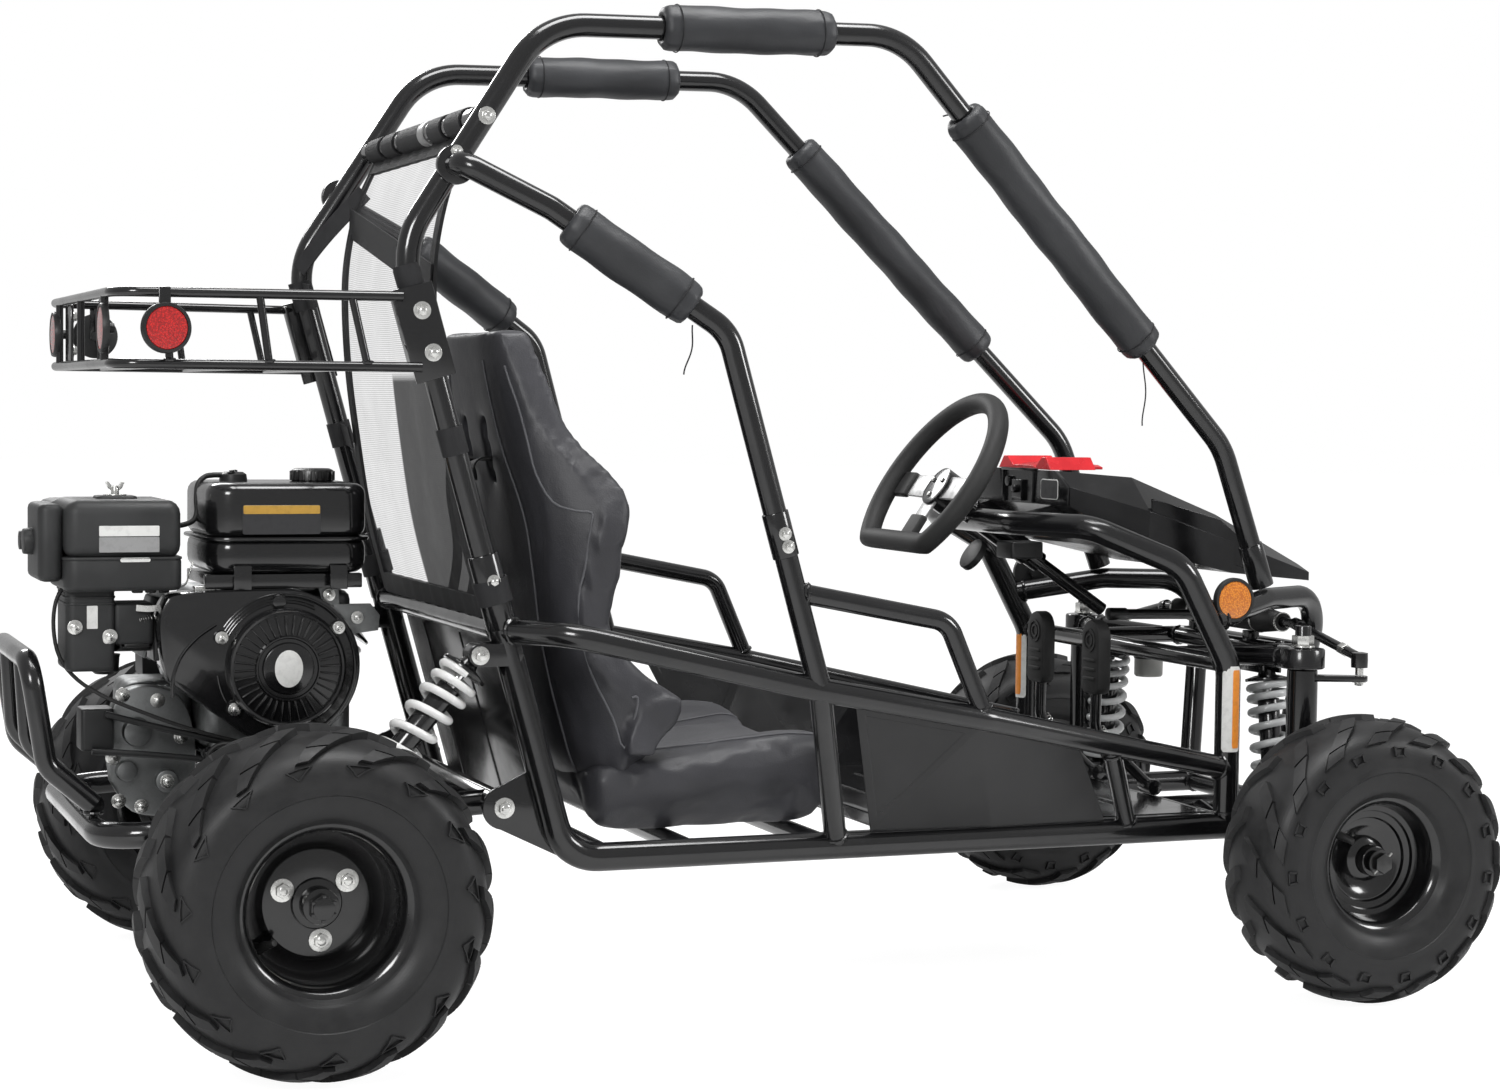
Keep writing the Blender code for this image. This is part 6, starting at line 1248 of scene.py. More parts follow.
def front_rim(name, side):
    centre = at(WHEELBASE, side * FRONT_TRACK, FRONT_RADIUS)
    out = LEFT * side
    body = "front_wheel_" + name
    face = 0.052 - 0.048
    profile = [
        (0.0915, 0.0520), (0.0930, 0.0514), (0.0930, 0.0500), (0.0900, 0.0490), (0.0845, 0.0470), (0.0800, 0.0420),
        (0.0785, 0.0340), (0.0785, -0.0340), (0.0800, -0.0420), (0.0845, -0.0470), (0.0900, -0.0490), (0.0930, -0.0500),
        (0.0930, -0.0514), (0.0915, -0.0520), (0.0860, -0.0508), (0.0800, -0.0470), (0.0755, -0.0410),
        (0.0755, -0.0200),
        (0.0700, -0.0120), (0.0560, -0.0060), (0.0400, -0.0020), (0.0240, face - 0.003), (0.0109, face - 0.003),
        (0.0109, face), (0.0240, face), (0.0420, face + 0.0005), (0.0440, face + 0.0030), (0.0540, face + 0.0035),
        (0.0560, face + 0.0075), (0.0640, face + 0.0085), (0.0655, face + 0.0130), (0.0720, face + 0.0140),
        (0.0735, face + 0.0200), (0.0755, face + 0.0240), (0.0760, 0.0400), (0.0800, 0.0470), (0.0860, 0.0508),
    ]
    shape = Shape()
    shape.turned(profile, centre, out, 96, closed=True)
    shape.rod(centre - out * 0.030, centre + out * 0.030, 0.0200, sides=32, bevel=0.0012)
    shape.turned([(0, 0.0), (0.029, 0.0), (0.029, 0.004), (0.021, 0.009), (0, 0.009)], centre + out * face, out, 40)
    shape.piece("front_rim_steel_" + name, Paints.rim_black, body, "front_rim_" + name, 50)
    nut = Shape()
    nut.rod(centre + out * 0.0385, centre + out * 0.041, 0.0165, sides=24, bevel=0.0005)
    nut.rod(centre + out * 0.041, centre + out * 0.051, 0.0135, sides=6, bevel=0.0010)
    nut.piece("front_hub_nut_" + name, Paints.dark_steel, body)
    pin = Shape()
    side_way = FORWARD * 0.5 + UP * 0.5
    pin.rod(centre + out * 0.047 - side_way * 0.026, centre + out * 0.047 + side_way * 0.026, 0.0014, sides=8)
    pin.piece("front_split_pin_" + name, Paints.zinc, body)
    valve("front_valve_" + name, centre, out, 0.0640, 146, 0.020, body)


def wheels():
    for name, side in SIDES:
        tyre("rear", name, side, "rear_wheels")
        tyre("front", name, side, "front_wheel_" + name)
        rear_rim(name, side)
        front_rim(name, side)


def sheet_through(name, rows):
    """A thin sheet through rows of points."""
    made = bmesh.new()
    wide, high = len(rows[0]) - 1, len(rows) - 1
    bmesh.ops.create_grid(made, x_segments=wide, y_segments=high, size=0.5)
    for vert in made.verts:
        vert.co = rows[round((vert.co.y + 0.5) * high)][round((vert.co.x + 0.5) * wide)]
    data = bpy.data.meshes.new(name)
    made.to_mesh(data)
    made.free()
    return data


def inflated(name, source, voxel, pressure, reach, held=None, frames=16):
    """A closed mesh filled out as a stuffed cloth skin; no point moves further than reach."""
    holder = bpy.data.objects.new(name, source)
    bpy.context.scene.collection.objects.link(holder)
    step = holder.modifiers.new("even", "REMESH")
    step.mode = "VOXEL"
    step.voxel_size = voxel
    graph = bpy.context.evaluated_depsgraph_get()
    skin = bpy.data.meshes.new_from_object(holder.evaluated_get(graph))
    bpy.data.objects.remove(holder)
    rest = [vert.co.copy() for vert in skin.vertices]
    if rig.quick():
        return skin
    holder = bpy.data.objects.new(name + "_skin", skin)
    bpy.context.scene.collection.objects.link(holder)
    group = holder.vertex_groups.new(name="held")
    for i, spot in enumerate(rest):
        weight = held(spot) if held else 0.0
        if weight > 0:
            group.add([i], weight, "REPLACE")
    cloth = holder.modifiers.new("cloth", "CLOTH")
    settings = cloth.settings
    settings.quality = 4
    settings.mass = 0.25
    settings.vertex_group_mass = "held"
    settings.use_pressure = True
    settings.uniform_pressure_force = pressure
    settings.tension_stiffness = settings.compression_stiffness = 12
    settings.effector_weights.gravity = 0
    cloth.point_cache.frame_start = 1
    cloth.point_cache.frame_end = frames
    scene = bpy.context.scene
    for number in range(1, frames + 1):
        scene.frame_set(number)
    graph = bpy.context.evaluated_depsgraph_get()
    made = bpy.data.meshes.new_from_object(holder.evaluated_get(graph))
    bpy.data.objects.remove(holder)
    scene.frame_set(1)
    for vert, spot in zip(made.vertices, rest):
        shift = vert.co - spot
        if shift.length > reach:
            vert.co = spot + shift.normalized() * reach
    return made


# The seat's rows from the cushion's front edge up the back: forward, up, half-width, bolster
SEAT_ROWS = (
    (1, 0.044, 0.86, 0.18), (0.733, 0.024, 1, 0.45), (0.448, 0, 1, 0.77), (0.281, 0.044, 1, 1),
    (0.205, 0.162, 1, 1), (0.167, 0.330, 0.92, 0.32), (0.126, 0.482, 0.98, 0.55), (0.090, 0.616, 0.96, 0.77),
    (0.048, 0.768, 0.72, 0.41), (0.019, 0.886, 0.62, 0.27), (0, 1, 0.52, 0.14),
)
# The row of the seat where the backrest's own cover starts
BACK_START = 16
SEAT_ACROSS = ((-1, 1), (-0.86, 0.92), (-0.62, 0.1), (0, 0), (0.62, 0.1), (0.86, 0.92), (1, 1))


def seat_surface():
    """The seat's face as rows of points with their normals, from the cushion's front to the top."""
    bottom = 0.212 + STUB_RADIUS + 0.0494
    height = 0.868 - bottom
    shares = curved([Vector(row) for row in SEAT_ROWS], 6)
    across = curved([Vector(pair) for pair in SEAT_ACROSS], 5)
    spine = [at(0.332 + 0.420 * along, 0, bottom + height * up) for along, up, _, _ in shares]
    rows = []
    for i, (_, _, width, bolster) in enumerate(shares):
        ahead = spine[min(i + 1, len(spine) - 1)] - spine[max(i - 1, 0)]
        normal = Vector((ahead.z, 0, -ahead.x)).normalized()
        row = []
        for place, rise in across:
            lift = 0.110 * bolster * max(0.0, rise) * min(1.0, max(0.0, (i - 12) / 12)) ** 0.8
            row.append(spine[i] + LEFT * 0.235 * width * place + normal * lift)
        rows.append(row)
    return rows


def seat_slots(holder, rows):
    """Two upright harness slots through the back below the headrest."""
    for side in (-1, 1):
        row = rows[47]
        spot = row[len(row) // 2] + LEFT * side * 0.046
        cutter = Shape()
        cutter.case(spot, (0.26, 0.026, 0.088), 0.010, 0.008, Matrix.Rotation(radians(-6), 3, "Y"))
        data = bpy.data.meshes.new("slot")
        cutter.mesh.to_mesh(data)
        cutter.mesh.free()
        tool = bpy.data.objects.new("slot", data)
        bpy.context.scene.collection.objects.link(tool)
        tool.hide_render = True
        cut = holder.modifiers.new("slot", "BOOLEAN")
        cut.object = tool
        cut.solver = "EXACT"
        yield tool


def back_start(rows):
    """The backrest's skin before it is stuffed, with its harness slots cut."""
    holder = bpy.data.objects.new("seat_start", sheet_through("seat_start", rows[BACK_START:]))
    bpy.context.scene.collection.objects.link(holder)
    shell = holder.modifiers.new("thickness", "SOLIDIFY")
    shell.thickness = 0.040
    shell.offset = -1
    tools = list(seat_slots(holder, rows))
    graph = bpy.context.evaluated_depsgraph_get()
    source = bpy.data.meshes.new_from_object(holder.evaluated_get(graph))
    for spare in [holder, *tools]:
        bpy.data.objects.remove(spare)
    shape = bmesh.new()
    shape.from_mesh(source)
    bmesh.ops.recalc_face_normals(shape, faces=shape.faces)
    shape.to_mesh(source)
    shape.free()
    return source


# The cushion's face over its width, as shares of the half-width and of the drop to its middle
CUSHION_FACE = (0.74, 0.15), (0.50, 0.9), (0, 1), (-0.50, 0.9), (-0.74, 0.15)
CUSHION_SEAM = 0.128


def cushion_rings():
    """The cushion's sections from front to back, each by place, underside, middle, side and half-width."""
    rings = []
    for place, low, middle, side, half in (
        (-0.236, 0.250, 0.300, 0.300, 0.190), (-0.222, 0.238, 0.308, 0.316, 0.212),
        (-0.150, 0.236, 0.300, 0.328, 0.222),
        (-0.050, 0.236, 0.304, 0.342, 0.222), (0.040, 0.236, 0.318, 0.352, 0.216), (0.080, 0.238, 0.322, 0.350, 0.208),
        (0.098, 0.246, 0.314, 0.336, 0.198), (0.103, 0.262, 0.300, 0.312, 0.186),
    ):
        under = [(share, low) for share in (-0.94, -0.5, 0, 0.5, 0.94)]
        face = [(share, side + (middle - side) * drop) for share, drop in CUSHION_FACE]
        flank = [(1, low + 0.012), (1, side - 0.014), (0.94, side)]
        outline = under + flank + face + [(-share, height) for share, height in reversed(flank)]
        rings.append([Vector((place, half * share, height)) for share, height in outline])
    return rings


def cushion():
    """The seat's cushion: a thick stuffed block with raised sides, low under the backrest."""
    block = Shape()
    block.stack(cushion_rings())
    source = bpy.data.meshes.new("cushion_start")
    block.mesh.to_mesh(source)
    block.mesh.free()

    def held(spot):
        return 1.0 if abs(abs(spot.y) - CUSHION_SEAM) < 0.004 and spot.z > 0.27 else 0.0

    made = inflated("seat_cushion", source, 0.0075, 3.4, 0.010, held)
    cover = settle("seat_cushion_cover", made, Paints.seat, "chassis", None, FULLY_SMOOTH, 1)
    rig.padded(cover, fill=0.8)
    near = surface_of(made)
    seams = Shape()
    for y in (-CUSHION_SEAM, CUSHION_SEAM):
        hits = [near.ray_cast(Vector((-0.170 + 0.008 * i, y, 0.5)), -UP, 0.4)[0] for i in range(34)]
        seams.tube([hit + UP * 0.0004 for hit in hits if hit], 0.0014, 8)
    for side in (-1, 1):
        aim = Vector((0, -side, -0.75)).normalized()
        hits = [near.ray_cast(Vector((-0.200 + 0.0078 * i, side * 0.34, 0.450)), aim, 0.5)[0] for i in range(38)]
        run = [hit - aim * 0.0004 for hit in hits if hit]
        if len(run) > 4:
            seams.tube(run, 0.0016, 8)
    seams.piece("seat_cushion_seams", Paints.seat_seam)


def seat():
    """The bucket seat: a stuffed backrest between stitched seams over a thick cushion."""
    rows = seat_surface()
    count = len(rows[0])
    source = back_start(rows)
    tree = kdtree.KDTree(len(rows) * count)
    for i, row in enumerate(rows):
        for j, point in enumerate(row):
            tree.insert(point, i * count + j)
    tree.balance()
    seam_columns = (10, count - 11)

    def held(spot):
        i, j = divmod(tree.find(spot)[1], count)
        on_seam = j in seam_columns or (i in (47, 56) and seam_columns[0] < j < seam_columns[1])
        return 1.0 if on_seam or i in (BACK_START, len(rows) - 1) else 0.0

    made = inflated("seat", source, 0.0075, 3.6, 0.011, held)
    cover = settle("seat_cover", made, Paints.seat, "chassis", "seat", FULLY_SMOOTH, 1)
    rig.padded(cover, fill=0.8)
    near = surface_of(made)
    piping = Shape()
    lines = [(j, way) for j in seam_columns for way in (1, -1)] + [(2, -1), (count - 3, -1)]
    for j, way in lines:
        seam_tube(piping, near, [rows[i][j] for i in range(BACK_START + 3, len(rows) - 2, 2)], way)
    piping.piece("seat_seams", Paints.seat_seam)
    cushion()
    belts(rows, count)


def surface_of(mesh):
    """The mesh as a surface that rays can be cast on."""
    return bvhtree.BVHTree.FromPolygons([v.co for v in mesh.vertices], [p.vertices[:] for p in mesh.polygons])


def seam_tube(shape, near, line, way):
    """Piping laid on the cover along a line, on its face or its back."""
    laid = []
    for i, point in enumerate(line):
        ahead = line[min(i + 1, len(line) - 1)] - line[max(i - 1, 0)]
        normal = Vector((ahead.z, 0, -ahead.x)).normalized() * way
        start = point + normal * 0.12
        hit = near.ray_cast(start, -normal, 0.24)
        if hit[0] is not None:
            laid.append(hit[0] + normal * 0.0006)
    if len(laid) > 3:
        shape.tube(curved(laid, 3), 0.0017, 8)


def belts(rows, count):
    """The harness webbing: through the slots, down the back, and folded on the cushion."""
    middle = count // 2
    webbing = Shape()
    for side in (-1, 1):
        shift = LEFT * side * 0.046
        through = rows[46][middle] + shift
        back = through + FORWARD * -0.062 + UP * -0.006
        drop = [through + FORWARD * 0.018, through - FORWARD * 0.030, back, back - UP * 0.045 - FORWARD * 0.004]
        drop += [back - UP * 0.120 + FORWARD * 0.006, back - UP * 0.190 - FORWARD * 0.003]
        webbing.strap(curved(drop, 6), LEFT * 0.97 + UP * 0.12 * side, 0.040, 0.0022)
        front = [through + FORWARD * 0.012 + UP * 0.004]
        for i in (43, 38, 33, 28, 24, 21):
            row = rows[i]
            ahead = rows[i + 1][middle] - rows[i - 1][middle]
            normal = Vector((ahead.z, 0, -ahead.x)).normalized()
            front.append(row[middle] + LEFT * side * (0.050 - 0.0012 * (43 - i)) + normal * 0.021)
        webbing.strap(curved(front, 5), LEFT, 0.042, 0.0022)
    webbing.piece("harness_webbing", Paints.webbing)
    buckle = Shape()
    spot = rows[21][middle] + UP * 0.004 + FORWARD * 0.052
    buckle.case(spot, (0.050, 0.046, 0.016), 0.010, 0.004)
    buckle.piece("harness_buckle", Paints.plastic)


def net_line():
    """The net's side view: bowed to the rear between the rear cross tube and the cage's cross tube."""
    top = cross_spot()
    stations = (
        (0.256, 0.5125), (0.227, 0.620), (0.208, 0.730), (0.196, 0.820), (0.191, 0.910), (0.195, 0.975), (0.211, 1.045)
    )
    points = [at(station, 0, height) for station, height in stations]
    return curved([*points, Vector((top.x, 0, 1.1046))], 11)


def rear_net():
    """The hung mesh sheet behind the seat, with hems and the straps that tie it to the posts."""
    line = net_line()
    half = 0.258
    across_count = 60
    rows = []
    for i, spine in enumerate(line):
        up = i / (len(line) - 1)
        sag = sin(pi * up)
        row = []
        for j in range(across_count + 1):
            share = j / across_count
            fold = sin(share * 31 + 2.2 * up) * 0.0014 + sin(share * 13 - 3.0 * up) * 0.0020
            pull = 0.010 * sag * (2 * share - 1)
            row.append(spine + LEFT * (half * (2 * share - 1) - pull) - FORWARD * fold * sag)
        rows.append(row)
    net = settle("rear_net_mesh", sheet_through("net", rows), Paints.net, "chassis", "rear_net", FULLY_SMOOTH)
    net_hems(line, half)
    net_ties(line)
    length = sum((b - a).length for a, b in zip(line, line[1:]))
    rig.sheet(net, (2 * half, length), "stretched", ["cage_cross_bar"], with_pieces=["rear_net_hem", "rear_net_ties"])


def net_hems(line, half):
    """The net's sewn edges and the strap that crosses it."""
    hems = Shape()
    for spot, ahead in ((line[1], line[4]), (line[-2], line[-5])):
        run = [spot + LEFT * half * (1 - i / 10) + FORWARD * 0.0012 * (-1) ** i for i in range(21)]
        hems.strap(run, ahead - spot, 0.028, 0.0046)
    for side in (-1, 1):
        run = []
        for i, spine in enumerate(line):
            pull = 0.010 * sin(pi * i / (len(line) - 1))
            run.append(spine + LEFT * side * (half - 0.011 - pull))
        hems.strap(run, LEFT, 0.022, 0.0046)
    near, far = line[46] - LEFT * 0.245, line[62] + LEFT * 0.245
    hems.strap([near.lerp(far, i / 12) - FORWARD * 0.004 for i in range(13)], UP, 0.040, 0.0026)
    hems.piece("rear_net_hem", Paints.webbing)


def net_ties(line):
    """The straps round the posts and the cross tube that hold the net."""
    ties = Shape()
    post_axis = POST_BEND - POST_FOOT
    for _, side in SIDES:
        for height, width in ((0.545, 0.030), (0.728, 0.034), (0.920, 0.040)):
            middle = flipped(on_post(height), side)
            axis = flipped(post_axis, side).normalized()
            ties.band(middle, axis, 0.0156 if height > 0.6 else 0.0208, width)
            edge = Vector((middle.x, side * 0.240, middle.z - 0.004))
            run = [middle - LEFT * side * 0.0156, middle.lerp(edge, 0.7), edge]
            ties.strap(curved(run, 4), axis, width * 0.9, 0.0022)
    cross = cross_spot()
    for y, width in ((-0.205, 0.070), (-0.115, 0.060), (0.020, 0.110), (0.130, 0.060), (0.215, 0.070)):
        ties.band(Vector((cross.x, y, cross.z)), LEFT, CAGE_RADIUS + 0.0012, width, 0.0020)
    for _, side in SIDES:
        high = Vector((line[-9].x, side * 0.235, line[-9].z))
        low = flipped(on_post(0.955), side) + LEFT * side * -0.016
        ties.strap(curved([high, high.lerp(low, 0.5) - FORWARD * 0.004, low], 6), Vector((0.3, 0, 1)), 0.026, 0.0022)
    ties.piece("rear_net_ties", Paints.webbing)
    pale = Shape()
    pale.band(Vector((cross.x, -0.045, cross.z)), LEFT, CAGE_RADIUS + 0.0010, 0.030, 0.0018)
    pale.piece("rear_net_tab", Paints.label_grey)


def helix(start, end, radius, turns, steps=20):
    """A coil whose end turns lie close, as a ground spring's do."""
    along = end - start
    turn = facing(along)
    count = int(turns * steps)
    points = []
    for i in range(count + 1):
        share = i / count
        rise = share - 0.055 * sin(tau * share)
        angle = tau * turns * share
        points.append(start + along * rise + turn @ around(radius, angle))
    return points


def shock(name, side, top, foot, axis, coat, turns):
    """A coil-over damper: spring, seats, body, rod and rubber-bushed eyes with bolts."""
    top, foot, axis = flipped(top, side), flipped(foot, side), flipped(axis, side)
    along = (foot - top).normalized()
    seat_top = top + along * 0.0224
    seat_foot = foot - along * 0.0252
    coil = Shape()
    coil.tube(helix(seat_top + along * 0.006, seat_foot - along * 0.006, 0.0250, turns), 0.0052, 12)
    coil.piece(name + "_coil", coat, "chassis", name)
    body = Shape()
    body.rod(seat_top.lerp(seat_foot, 0.16), seat_foot, 0.0150, sides=28, bevel=0.001)
    for near, step in ((seat_top, along), (seat_foot, -along)):
        profile = [
            (0, -0.004), (0.017, -0.004), (0.0300, 0), (0.0305, 0.0012), (0.0300, 0.0040), (0.0200, 0.0048), (0, 0.0048)
        ]
        body.turned(profile, near, step, 40)
        body.rod(near - step * 0.011, near - step * 0.002, 0.0105, 0.0140, sides=24)
    for end in (top, foot):
        body.turned(
            [(0.0075, -0.0105), (0.0140, -0.0105), (0.0140, 0.0105), (0.0075, 0.0105)], end, axis, 32, closed=True
        )
    body.piece(name + "_damper", Paints.frame_black)
    rod_piece = Shape()
    rod_piece.rod(top, seat_top.lerp(seat_foot, 0.45), 0.0058, sides=20)
    rod_piece.piece(name + "_rod", Paints.chrome)
    ends = Shape()
    out = axis if axis.y * side > 0 or abs(axis.y) < 0.5 else -axis
    for end in (top, foot):
        ends.rod(end - axis * 0.0125, end + axis * 0.0125, 0.0062, sides=20)
        ends.bolt(end + out * 0.0165, out, 0.0058)
    ends.piece(name + "_bolts", Paints.zinc)
    bushes = Shape()
    for end in (top, foot):
        bushes.turned(
            [(0.0062, -0.0112), (0.0112, -0.0112), (0.0112, 0.0112), (0.0062, 0.0112)], end, axis, 28, closed=True
        )
    bushes.piece(name + "_bushes", Paints.rubber)


def shocks():
    for name, side in SIDES:
        rear_top = at(0.232, RAIL_ACROSS, 0.468)
        rear_foot = at(0.085, RAIL_ACROSS, 0.296)
        shock("rear_shock_" + name, side, rear_top, rear_foot, LEFT, Paints.white_coat, 7.5)
        front_top = at(WHEELBASE, 0.222, 0.425)
        front_foot = at(WHEELBASE, 0.255, 0.205)
        shock("front_shock_" + name, side, front_top, front_foot, FORWARD, Paints.grey_coat, 8.5)


def pad_runs():
    points = hoop_line()
    return (
        ("top_pad", points[2:4], 0.32, 0.80),
        ("front_pad", points[3:5], 0.18, 0.745),
        ("mid_pad", [MID_SHOULDER, MID_CORNER], 0.10, 0.80),
    )


def pad(name, start, end, seed):
    """A foam sleeve in a sewn cover, gathered at both ends by a drawstring."""
    rng = random.Random(seed)
    along = end - start
    length = along.length
    turn = facing(along)
    phases = [rng.uniform(0, tau) for _ in range(4)]
    stations = [0, 0.002, 0.005, 0.012, 0.028] + [0.028 + (length - 0.056) * i / 24 for i in range(1, 24)]
    stations += [length - place for place in (0.028, 0.012, 0.005, 0.002, 0)]
    gathered = (0.0205, 0.0240, 0.0268, 0.0280, 0.0285)
    rings = []
    for i, place in enumerate(stations):
        near_end = min(i, len(stations) - 1 - i)
        radius = gathered[near_end] if near_end < 5 else 0.0286
        ring = []
        for angle in turns(48):
            crease = 0.0012 * sin(9 * angle + phases[0]) * max(0.0, 1 - near_end / 6)
            slack = 0.0006 * sin(3 * angle + place * 40 + phases[1]) + 0.0005 * sin(place * 95 + phases[2])
            reach = radius + crease + slack
            ring.append(around(reach, angle) + UP * place)
        rings.append(ring)
    inner = 0.0152
    for place in (length, 0):
        rings.append([around(inner, angle) + UP * place for angle in turns(48)])
    sleeve = Shape()
    sleeve.stack(rings, Matrix.Translation(start) @ turn, looped=True)
    source = bpy.data.meshes.new(name)
    sleeve.mesh.to_mesh(source)
    sleeve.mesh.free()
    axis = along.normalized()

    def held(spot):
        reach = spot - start
        place = reach.dot(axis)
        off = (reach - axis * place).length
        return 1.0 if off < 0.0185 or place < 0.006 or place > length - 0.006 else 0.0

    made = inflated(name, source, 0.0042, 3.2, 0.0026, held, 12)
    cover = settle(name + "_cover", made, Paints.pad, "chassis", name, FULLY_SMOOTH)
    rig.padded(cover, fill=0.75)
    strings = Shape()
    for place in (0.0065, length - 0.0065):
        centre = start + axis * place
        loop = [centre + turn @ around(0.0222 + 0.0006 * sin(9 * angle), angle) for angle in turns(36)]
        strings.tube(loop, 0.0011, 6, closed=True)
    seam = []
    for i in range(25):
        place = 0.014 + (length - 0.028) * i / 24
        reach = 0.0302 - 0.004 * max(0.0, 1 - min(i, 24 - i) / 2)
        seam.append(start + axis * place + turn @ around(reach, 0.7))
    strings.tube(seam, 0.0010, 6)
    for place in (0.020, length - 0.020):
        loop = [start + axis * place + turn @ around(0.0293, angle) for angle in turns(48)]
        strings.tube(loop, 0.0008, 6, closed=True)
    for place, way in ((0.0045, -1), (length - 0.0045, 1)):
        for lean in (-0.5, 0.6):
            knot = start + axis * place + turn @ Vector((0.0225, 0, 0))
            tip = knot + turn @ Vector((0.016, 0.012 * lean, 0)) + axis * way * 0.006 + UP * 0.004
            strings.tube(curved([knot, knot.lerp(tip, 0.5) + UP * 0.003, tip], 5), 0.0011, 6)
    strings.piece(name + "_string", Paints.webbing)


def pads():
    number = 0
    for name, line, first, last in pad_runs():
        for side_name, side in SIDES:
            ends = [flipped(line[0].lerp(line[1], share), side) for share in (first, last)]
            pad(f"{name}_{side_name}", ends[0], ends[1], 40 + number)
            number += 1
    hanging = (
        ("front_pad_right_cord", flipped(hoop_line()[3].lerp(hoop_line()[4], 0.742), -1), 0.085, (0.3, -0.02)),
        ("mid_pad_right_cord", flipped(MID_SHOULDER.lerp(MID_CORNER, 0.795), -1), 0.060, (-0.2, 0.1)),
    )
    for name, spot, length, (lean, twist) in hanging:
        start = spot - UP * 0.0215
        line = []
        for i in range(16):
            share = i / 15
            sway = 0.006 * sin(share * 5) * share
            line.append(start + Vector((lean * 0.02 * share + sway, twist * 0.02 * share, -length * share)))
        shape = Shape()
        shape.tube(line, 0.0010, 8)
        made = shape.piece(name, Paints.webbing)
        run = sum((b - a).length for a, b in zip(line, line[1:]))
        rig.cord(
            made, exit=line[0], length=run, diameter=0.0020, far_end="bare", stiffness="limp", lay="hanging", path=line
        )


def labels(name, paint, *places):
    """Blank labels on the near side, each by station, height, size, distance across and corner."""
    shape = Shape()
    turn = Matrix.Rotation(QUARTER, 3, "X")
    for station, height, size, across, corner in places:
        shape.case(at(station, across, height), (*size, 0.0008), corner, 0.0002, turn, 3, 1)
    shape.piece(name, paint)


def fan_shroud():
    """The fan housing with its duct over the cylinder, the recoil starter and its bolts."""
    radius = 0.096
    outline = outline_arc((CRANK.x, CRANK.z), radius, -120, 90, 40)
    outline += curved_outline([
        (CRANK.x - 0.060, CRANK.z + 0.0955), (CRANK.x - radius * 1.35, CRANK.z + radius * 0.96),
        (CRANK.x - radius * 1.53, CRANK.z + radius * 0.85), (CRANK.x - radius * 1.60, CRANK.z + radius * 0.58),
        (CRANK.x - radius * 1.56, CRANK.z + radius * 0.10), (CRANK.x - radius * 1.48, CRANK.z - radius * 0.16),
    ])
    shape = Shape()
    shape.plate(outline, 0.052, upright_plane(-0.1463), 0.0060)
    face = Vector((CRANK.x, -0.1723, CRANK.z))
    shape.tube([face + spoke(0.0885, radians(angle)) for angle in range(-96, 91, 6)], 0.0022, 10)
    louvres = ((0.0800, 62, 152), (0.0835, 64, 150), (0.0870, 66, 148), (0.0905, 70, 146), (0.083, 186, 232))
    for reach, start, end in louvres:
        arc = [radians(start + (end - start) * i / 24) for i in range(25)]
        shape.tube([face + NEAR * 0.0004 + spoke(reach, angle) for angle in arc], 0.0013, 8)
    rib = [
        at(-0.062, -0.1725, 0.500), at(-0.085, -0.1728, 0.484), at(-0.104, -0.1728, 0.462), at(-0.114, -0.1728, 0.436),
        at(-0.115, -0.1725, 0.412)
    ]
    shape.tube(curved(rib, 6), 0.0022, 10)
    profile = [
        (0, 0.0255), (0.0295, 0.0255), (0.0310, 0.0248), (0.0325, 0.0215), (0.0365, 0.0215), (0.0378, 0.0235),
        (0.0395, 0.0235), (0.0405, 0.0175), (0.0665, 0.0155), (0.0675, 0.0210), (0.0700, 0.0215), (0.0735, 0.0170),
        (0.0740, 0.0120), (0.0740, -0.0060), (0, -0.0060),
    ]
    shape.turned(profile, face, NEAR, 96)
    for angle in turns(36):
        turn = Matrix.Rotation(-angle - 0.04, 3, "Y")
        middle = face + NEAR * 0.0172 + turn @ Vector((0.0535, 0, 0))
        shape.block(middle, (0.0245, 0.0062, 0.0024), turn, 0.0007)
    bosses = ((-0.056, 0.484), (0.089, 0.494), (-0.040, 0.396), (0.015, 0.527))
    for station, height in bosses:
        spot = at(station, -0.170, height)
        shape.rod(spot, spot + NEAR * 0.009, 0.0095, 0.0080, sides=28, bevel=0.0008)
    shape.piece("fan_housing", Paints.engine_black, "chassis", "fan_shroud", 34)
    steel = Shape()
    for station, height in bosses[:3]:
        steel.bolt(at(station, -0.179, height), NEAR, 0.0046)
    for station, height in ((0.122, 0.503), (0.084, 0.556), (0.086, 0.532)):
        steel.bolt(at(station, -0.138, height), NEAR, 0.0046)
    steel.piece("engine_bolts", Paints.zinc)
    plate = Shape()
    oval = [(CRANK.x + 0.0175 * cos(angle), CRANK.z + 0.0230 * sin(angle)) for angle in turns(40)]
    plate.plate(oval, 0.0007, upright_plane(-0.1982), 0.0002)
    plate.piece("recoil_blank_label", Paints.label_white)
    bracket = Shape()
    line = [
        (0.092, 0.520), (0.104, 0.520), (0.140, 0.520), (0.152, 0.505), (0.150, 0.486), (0.118, 0.482), (0.098, 0.496)
    ]
    bracket.plate([(at(s, 0, 0).x, z) for s, z in line], 0.005, upright_plane(-0.132), 0.0010)
    lug = [(0.066, 0.566), (0.098, 0.566), (0.100, 0.520), (0.080, 0.516)]
    bracket.plate([(at(s, 0, 0).x, z) for s, z in lug], 0.006, upright_plane(-0.132), 0.0010)
    bracket.piece("engine_side_bracket", Paints.cast)


def curved_outline(points):
    return [(point.x, point.y) for point in curved([Vector((x, z, 0)) for x, z in points], 5)]


